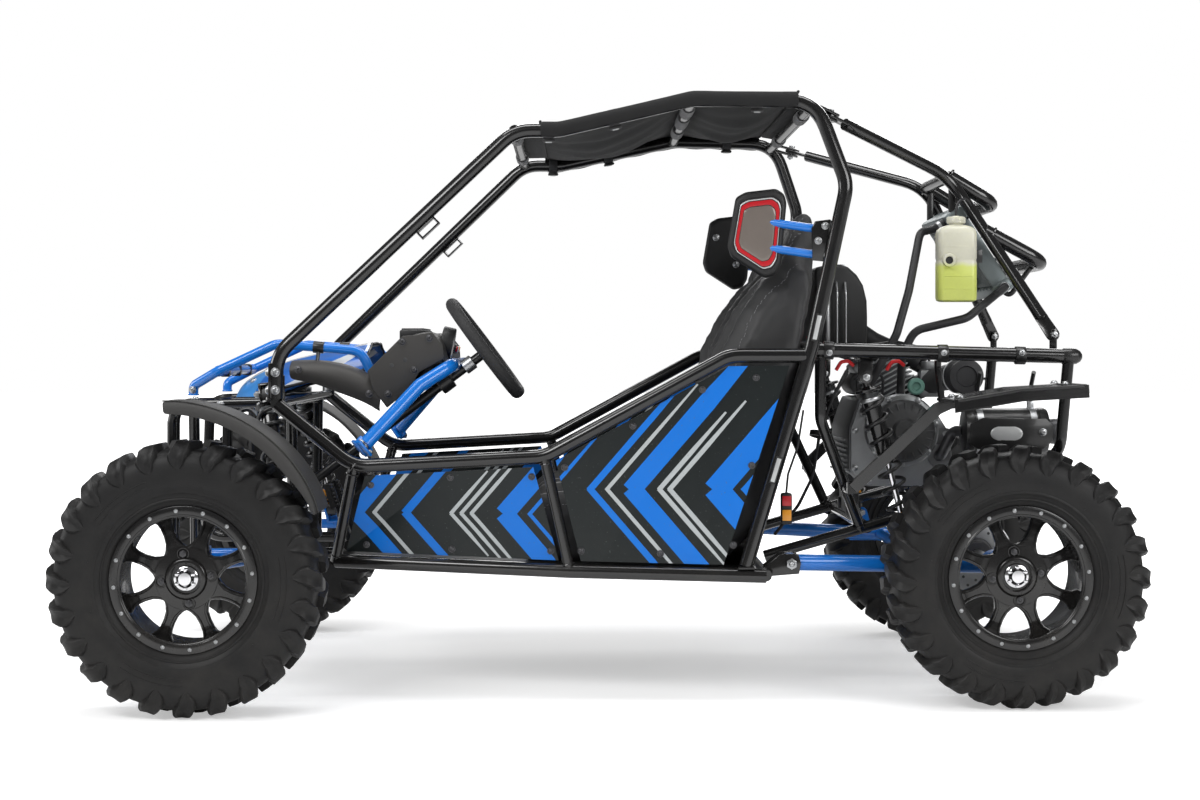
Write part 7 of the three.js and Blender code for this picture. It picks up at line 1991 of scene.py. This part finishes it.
def build_canopy():
    canvas, webbing, buckle = "canvas", "webbing", "moulded black"
    rows = []
    steps, cols = 60, 44
    for i in range(steps + 1):
        x = -138 + i * (417 + 138) / steps
        half, z = roof_line(x)
        bay = 0.0
        if x < 175:
            bay = sin(pi * (x + 138) / (175 + 138))
        elif x > 205:
            bay = sin(pi * min(1, (x - 205) / (417 - 205)))
        bay = max(0, bay)
        row = []
        skirt = half + 18.5
        drop = [(-skirt, -15.5), (-skirt - 0.5, -4), (-skirt, 8), (-skirt + 5, 15), (-skirt + 12, 18.6)]
        for y, dz in drop:
            wave = 1.3 * sin(x * 0.09 + 1) * (1 if dz < 0 else 0.3)
            row.append(V(x, y + wave * 0.4, z + dz + (wave if dz < -10 else 0)))
        for j in range(1, cols):
            across = -1 + 2 * j / cols
            y = across * (half + 4)
            fold = 0.14 * cos(across * 9 + x * 0.012) + 0.09 * sin(across * 21 + x * 0.03)
            dip = (1 - across * across) ** 0.8 * (1 + fold)
            near_rail = exp(-((1 - abs(across)) / 0.10) ** 2)
            pucker = near_rail * 1.6 * sin(x * 0.16 + sin(x * 0.05) * 3)
            ripple = 1.8 * sin(x * 0.055 + across * 4) * bay
            row.append(V(x, y, z + min(17.8 - bay * 44 * dip + pucker * 0.6 + ripple, 19.2)))
        for y, dz in reversed(drop):
            wave = 1.3 * sin(x * 0.085 + 2.3) * (1 if dz < 0 else 0.3)
            row.append(V(x, -y + wave * 0.4, z + dz + (wave if dz < -10 else 0)))
        rows.append(row)
    shell = grid(rows, canvas, 3, 1, 0)
    for a, b in zip(rows, rows[1:]):
        for p, q, r, t in zip(a, a[1:], b[1:], b):
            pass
    canopy = finished([shell], "canvas_roof", "chassis", 60, ["canopy"])
    # Hems and seams
    trims = Parts()
    for row in (rows[0], rows[-1]):
        trims.pipe(row[4:-4], 6.5, canvas, 0, 2)
    for index in (6, -7):
        line = [row[index] + V(0, 0, 2.0) for row in rows]
        trims.pipe(line, 2.4, "black webbing", 0, 2)
    for share in (0.62, 0.66):
        line = [p + V(0, 0, 2.0) for p in rows[int(share * steps)][5:-5]]
        trims.pipe(line, 2.4, "black webbing", 0, 2)
    canopy_trim = finished(trims, "canvas_hems", "chassis", 50)
    straps = Parts()

    def band(centre, axis, radius, width, material):
        """A strap wound round a tube."""
        turn = frame_at(centre, axis, UP)
        rings = []
        for x, r in ((-0.5, 0.2), (-0.5, 1.8), (-0.42, 2.4), (0.42, 2.4), (0.5, 1.8), (0.5, 0.2),
                (-0.5, 0.2)):
            rings.append([turn @ V(x * width, (radius + r) * cos(a), (radius + r) * sin(a))
                for a in turns(28)])
        straps.lofted(rings, material, False)
        return turn

    # Grey sleeves on the front, middle and rear bars
    for x, y, z, width in ((190, -250, 1290, 120), (190, -40, 1290, 140), (190, 190, 1290, 110),
            (-194, -270, 1226, 80), (-194, 210, 1226, 80), (444.5, -270, 1271.6, 80),
            (444.5, 230, 1271.6, 80)):
        band(V(x, y, z), RIGHT, 13.0, width, webbing)
    # Buckled straps round the side tubes
    for s in BOTH:
        for x in (-120, 20, 330):
            half, z = roof_line(x)
            ahead, behind = roof_line(x + 10), roof_line(x - 10)
            turn = band(V(x, s * half, z), (20, s * (ahead[0] - behind[0]), ahead[1] - behind[1]), 16.4,
                22, "black webbing")
            straps.block((-13, -9, -25), (13, 9, -19), buckle, 2, turn)
            straps.block((-7, -6, -26.5), (7, 6, -24), "light silver", 1, turn)
    # Flaps that hold the canvas to the front and rear bars
    for outline in ([(-190, 1236.5), (-134, 1238), (-134, 1241.5), (-190, 1240)],
            [(411, 1290), (449, 1283.5), (449, 1287), (411, 1294)]):
        straps.prism(outline, -330, 330, canvas, 1)
    trim = finished(straps, "canvas_straps", "chassis", 40)


# Floor, light and camera

def seen_straight(path, glossy):
    """How much of a ray sees the studio as white: all of a straight one, a share of a glossy one."""
    glossy = output(path, "Is Glossy Ray") * glossy
    return output(path, "Is Camera Ray").to("MAXIMUM", output(path, "Is Transmission Ray").to("MAXIMUM",
        glossy))


def build_stage():
    c = bpy.context.scene.kart_stage
    scene = bpy.context.scene
    deselect()
    bpy.ops.mesh.primitive_plane_add(size=60, location=(0, 0, 0))
    floor = bpy.context.object
    floor.name = floor.data.name = "floor"
    material = bpy.data.materials.new("floor")
    material.use_nodes = True
    tree = material.node_tree
    tree.nodes.clear()
    # White grows with the distance from the kart, so that the floor has no edge
    reach = output(node(tree, "VectorMath", {0: output(node(tree, "TexCoord"), "Object")},
        operation="LENGTH"), "Value")
    far = ((reach - 1.2) * 0.35).to("MAXIMUM", 0.0).to("MINIMUM", 1.0)
    seen = seen_straight(node(tree, "LightPath"), 0.2)
    glow = node(tree, "Emission", {"Color": (1, 1, 1), "Strength": seen * (far + c.floor_glow)})
    diffuse = node(tree, "BsdfDiffuse", {"Color": (0.80, 0.80, 0.80)})
    both = node(tree, "AddShader", {0: output(diffuse), 1: output(glow)})
    node(tree, "OutputMaterial", {"Surface": output(both)})
    floor.data.materials.append(material)

    world = scene.world = bpy.data.worlds.new("studio")
    world.use_nodes = True
    tree = world.node_tree
    tree.nodes.clear()
    path = node(tree, "LightPath")
    matt = 1.0 - output(path, "Is Glossy Ray") * 0.75
    fill = node(tree, "Background", {"Color": (1, 1, 1), "Strength": matt * c.fill})
    white = node(tree, "Background", {"Color": (1, 1, 1), "Strength": 1.0})
    blend = node(tree, "MixShader", {0: seen_straight(path, 0.05), 1: output(fill), 2: output(white)})
    node(tree, "OutputWorld", {"Surface": output(blend)})

    # Name, place, target, width, height and power
    lamps = (
        ("key", (-2.6, -3.4, 3.6), (0.1, 0, 0.5), 3.0, 1.2, 105),
        ("side", (3.0, -3.0, 2.2), (0.2, 0, 0.5), 2.2, 1.6, 60),
        ("top", (0.0, -0.4, 4.4), (0, 0, 0.6), 4.4, 1.4, 110),
        ("back", (0.6, 3.6, 2.8), (0, 0, 0.6), 3.6, 1.4, 70),
        ("front", (-4.6, 0.4, 1.8), (-0.6, 0, 0.5), 2.2, 1.4, 45),
        ("low", (0.0, -4.2, 0.75), (0, 0, 0.45), 5.0, 0.4, 14),
    )
    for name, place, target, wide, high, power in lamps:
        light = bpy.data.lights.new(name, "AREA")
        light.shape = "RECTANGLE"
        light.size, light.size_y = wide, high
        light.energy = power * c.lamps
        lamp = bpy.data.objects.new(name, light)
        scene.collection.objects.link(lamp)
        lamp.location = place
        lamp.visible_glossy = name != "low"
        lamp.rotation_euler = (Vector(target) - Vector(place)).to_track_quat("-Z", "Y").to_euler()

    camera_data = bpy.data.cameras.new("camera")
    camera = bpy.data.objects.new("camera", camera_data)
    scene.collection.objects.link(camera)
    camera.location = (-0.0585, -4.760, 0.750)
    camera.rotation_euler = (radians(90), 0, 0)
    camera_data.sensor_width = 36
    camera_data.lens = 60.06
    camera_data.shift_x = 0.0192
    camera_data.shift_y = -0.0417
    camera_data.clip_end = 200
    scene.camera = camera
    scene.view_settings.view_transform = "Standard"


# Settings, operators and the panel

class KartColours(bpy.types.PropertyGroup):
    """Paint and cover colours."""
    frame: bpy.props.FloatVectorProperty(name="Frame", description="Colour of the black tubes",
        subtype="COLOR", size=3, min=0, max=1, default=(0.005, 0.005, 0.0055))
    blue: bpy.props.FloatVectorProperty(name="Blue parts", description="Colour of the bars and arms",
        subtype="COLOR", size=3, min=0, max=1, default=(0.0, 0.175, 0.66))
    cowl: bpy.props.FloatVectorProperty(name="Cowls", description="Colour of the grey mouldings",
        subtype="COLOR", size=3, min=0, max=1, default=(0.040, 0.038, 0.036))
    seat: bpy.props.FloatVectorProperty(name="Seats", description="Colour of the seat covers",
        subtype="COLOR", size=3, min=0, max=1, default=(0.030, 0.030, 0.031))
    canvas: bpy.props.FloatVectorProperty(name="Roof", description="Colour of the canvas roof",
        subtype="COLOR", size=3, min=0, max=1, default=(0.006, 0.006, 0.0065))


class KartStage(bpy.types.PropertyGroup):
    """Light levels of the studio."""
    lamps: bpy.props.FloatProperty(name="Lamps", description="Level of all the lamps", default=1.0,
        min=0, max=4, subtype="FACTOR")
    fill: bpy.props.FloatProperty(name="Fill", description="Level of the even light all round",
        default=0.26, min=0, max=2, subtype="FACTOR")
    floor_glow: bpy.props.FloatProperty(name="Floor white",
        description="How white the floor looks to the camera", default=0.44, min=0, max=1,
        subtype="FACTOR")


class KartPiece:
    bl_options = {"REGISTER", "UNDO"}

    @classmethod
    def poll(cls, context):
        return context.mode == "OBJECT" or context.object is None


class KART_OT_stage(KartPiece, bpy.types.Operator):
    """Makes the floor, the lamps, the world and the camera"""
    bl_idname = "kart.stage"
    bl_label = "Build Stage"

    def execute(self, context):
        build_stage()
        return {"FINISHED"}


class KART_OT_overflow_hose(KartPiece, bpy.types.Operator):
    """Makes the thin hose of the coolant tank"""
    bl_idname = "kart.overflow_hose"
    bl_label = "Build Overflow Hose"

    def execute(self, context):
        build_overflow_hose()
        return {"FINISHED"}


class KART_OT_frame_tubes(KartPiece, bpy.types.Operator):
    """Makes the black tubes: lower frame, roll cage with its strips, rack and rear struts"""
    bl_idname = "kart.frame_tubes"
    bl_label = "Build Frame"

    def execute(self, context):
        build_lower_frame()
        build_roll_cage()
        build_reflectors()
        build_rear_frame()
        build_rear_brace()
        return {"FINISHED"}


class KART_OT_blue_bars(KartPiece, bpy.types.Operator):
    """Makes the bars over the nose and under the dash"""
    bl_idname = "kart.blue_bars"
    bl_label = "Build Blue Bars"

    def execute(self, context):
        build_brush_guard()
        build_dash_hoop()
        return {"FINISHED"}


class KART_OT_arms(KartPiece, bpy.types.Operator):
    """Makes both lower arms and the rear swing arm"""
    bl_idname = "kart.arms"
    bl_label = "Build Arms"

    def execute(self, context):
        build_front_arms()
        build_swing_arm()
        return {"FINISHED"}


class KART_OT_driveline(KartPiece, bpy.types.Operator):
    """Makes the axle, the sprockets, the brake disc and the chain"""
    bl_idname = "kart.driveline"
    bl_label = "Build Driveline"

    def execute(self, context):
        build_rear_axle()
        build_chain()
        return {"FINISHED"}


class KART_OT_shocks(KartPiece, bpy.types.Operator):
    """Makes the four dampers, their rods and their springs"""
    bl_idname = "kart.shocks"
    bl_label = "Build Shocks"

    def execute(self, context):
        build_shocks()
        return {"FINISHED"}


class KART_OT_wheels(KartPiece, bpy.types.Operator):
    """Makes the four tyres and rims"""
    bl_idname = "kart.wheels"
    bl_label = "Build Wheels"

    def execute(self, context):
        build_wheels()
        return {"FINISHED"}


class KART_OT_panels(KartPiece, bpy.types.Operator):
    """Gives the carried-over sheets and rods their finish and fixings"""
    bl_idname = "kart.panels"
    bl_label = "Finish Panels"

    def execute(self, context):
        build_panels()
        return {"FINISHED"}


class KART_OT_tie_rods(KartPiece, bpy.types.Operator):
    """Makes the boots and ends of the tie rods"""
    bl_idname = "kart.tie_rods"
    bl_label = "Build Rod Ends"

    def execute(self, context):
        build_tie_rod_boots()
        return {"FINISHED"}


class KART_OT_cowls(KartPiece, bpy.types.Operator):
    """Makes the nose hood, the mouldings beside it and the dash"""
    bl_idname = "kart.cowls"
    bl_label = "Build Cowls"

    def execute(self, context):
        build_nose()
        build_side_cowls()
        build_dash()
        return {"FINISHED"}


class KART_OT_fenders(KartPiece, bpy.types.Operator):
    """Makes both front mudguards and the trim of the rear fenders"""
    bl_idname = "kart.fenders"
    bl_label = "Build Fenders"

    def execute(self, context):
        build_front_fenders()
        build_fender_trim()
        return {"FINISHED"}


class KART_OT_guards(KartPiece, bpy.types.Operator):
    """Makes the two guards beside the riders' shoulders"""
    bl_idname = "kart.guards"
    bl_label = "Build Side Guards"

    def execute(self, context):
        build_guards()
        return {"FINISHED"}


class KART_OT_steering(KartPiece, bpy.types.Operator):
    """Makes the wheel, the column and its bearing"""
    bl_idname = "kart.steering"
    bl_label = "Build Steering"

    def execute(self, context):
        build_steering()
        return {"FINISHED"}


class KART_OT_engine(KartPiece, bpy.types.Operator):
    """Makes the engine with its lower hose, and the exhaust"""
    bl_idname = "kart.engine"
    bl_label = "Build Engine"

    def execute(self, context):
        build_engine()
        build_muffler()
        return {"FINISHED"}


class KART_OT_cooling(KartPiece, bpy.types.Operator):
    """Makes the radiator, its upper hose and the coolant tank"""
    bl_idname = "kart.cooling"
    bl_label = "Build Cooling"

    def execute(self, context):
        build_radiator()
        build_hoses()
        build_bottle()
        return {"FINISHED"}


class KART_OT_air_box(KartPiece, bpy.types.Operator):
    """Makes the air cleaner and its duct"""
    bl_idname = "kart.air_box"
    bl_label = "Build Air Box"

    def execute(self, context):
        build_air_box()
        return {"FINISHED"}


class KART_OT_small_parts(KartPiece, bpy.types.Operator):
    """Makes the lamp, the red fittings and the wiring"""
    bl_idname = "kart.small_parts"
    bl_label = "Build Small Parts"

    def execute(self, context):
        build_small_parts()
        return {"FINISHED"}


class KART_OT_seats(KartPiece, bpy.types.Operator):
    """Makes both padded bucket seats with their stitching"""
    bl_idname = "kart.seats"
    bl_label = "Build Seats"

    def execute(self, context):
        build_seats()
        return {"FINISHED"}


class KART_OT_canopy(KartPiece, bpy.types.Operator):
    """Makes the canvas roof with its hems and straps"""
    bl_idname = "kart.canopy"
    bl_label = "Build Canopy"

    def execute(self, context):
        build_canopy()
        return {"FINISHED"}


# Every operator above, in the order they are called in
PIECES = KartPiece.__subclasses__()


class KART_PT_panel(bpy.types.Panel):
    """Lists the kart's settings and pieces."""
    bl_label = "Off-road kart"
    bl_idname = "KART_PT_panel"
    bl_space_type = "VIEW_3D"
    bl_region_type = "UI"
    bl_category = "Kart"

    def draw(self, context):
        layout = self.layout
        colours, stage = context.scene.kart_colours, context.scene.kart_stage
        for name in ("frame", "blue", "cowl", "seat", "canvas"):
            layout.prop(colours, name)
        for name in ("lamps", "fill", "floor_glow"):
            layout.prop(stage, name)
        for piece in PIECES:
            layout.operator(piece.bl_idname)


CLASSES = (KartColours, KartStage, *PIECES, KART_PT_panel)


def register():
    for each in CLASSES:
        bpy.utils.register_class(each)
    bpy.types.Scene.kart_colours = bpy.props.PointerProperty(type=KartColours)
    bpy.types.Scene.kart_stage = bpy.props.PointerProperty(type=KartStage)


def unregister():
    del bpy.types.Scene.kart_stage
    del bpy.types.Scene.kart_colours
    for each in reversed(CLASSES):
        bpy.utils.unregister_class(each)


def main():
    register()
    for piece in PIECES:
        if getattr(bpy.ops.kart, piece.bl_idname.split(".")[1])() != {"FINISHED"}:
            raise RuntimeError(piece.bl_label + " did not finish")
    clear_stamps()


if __name__ == "__main__":
    main()
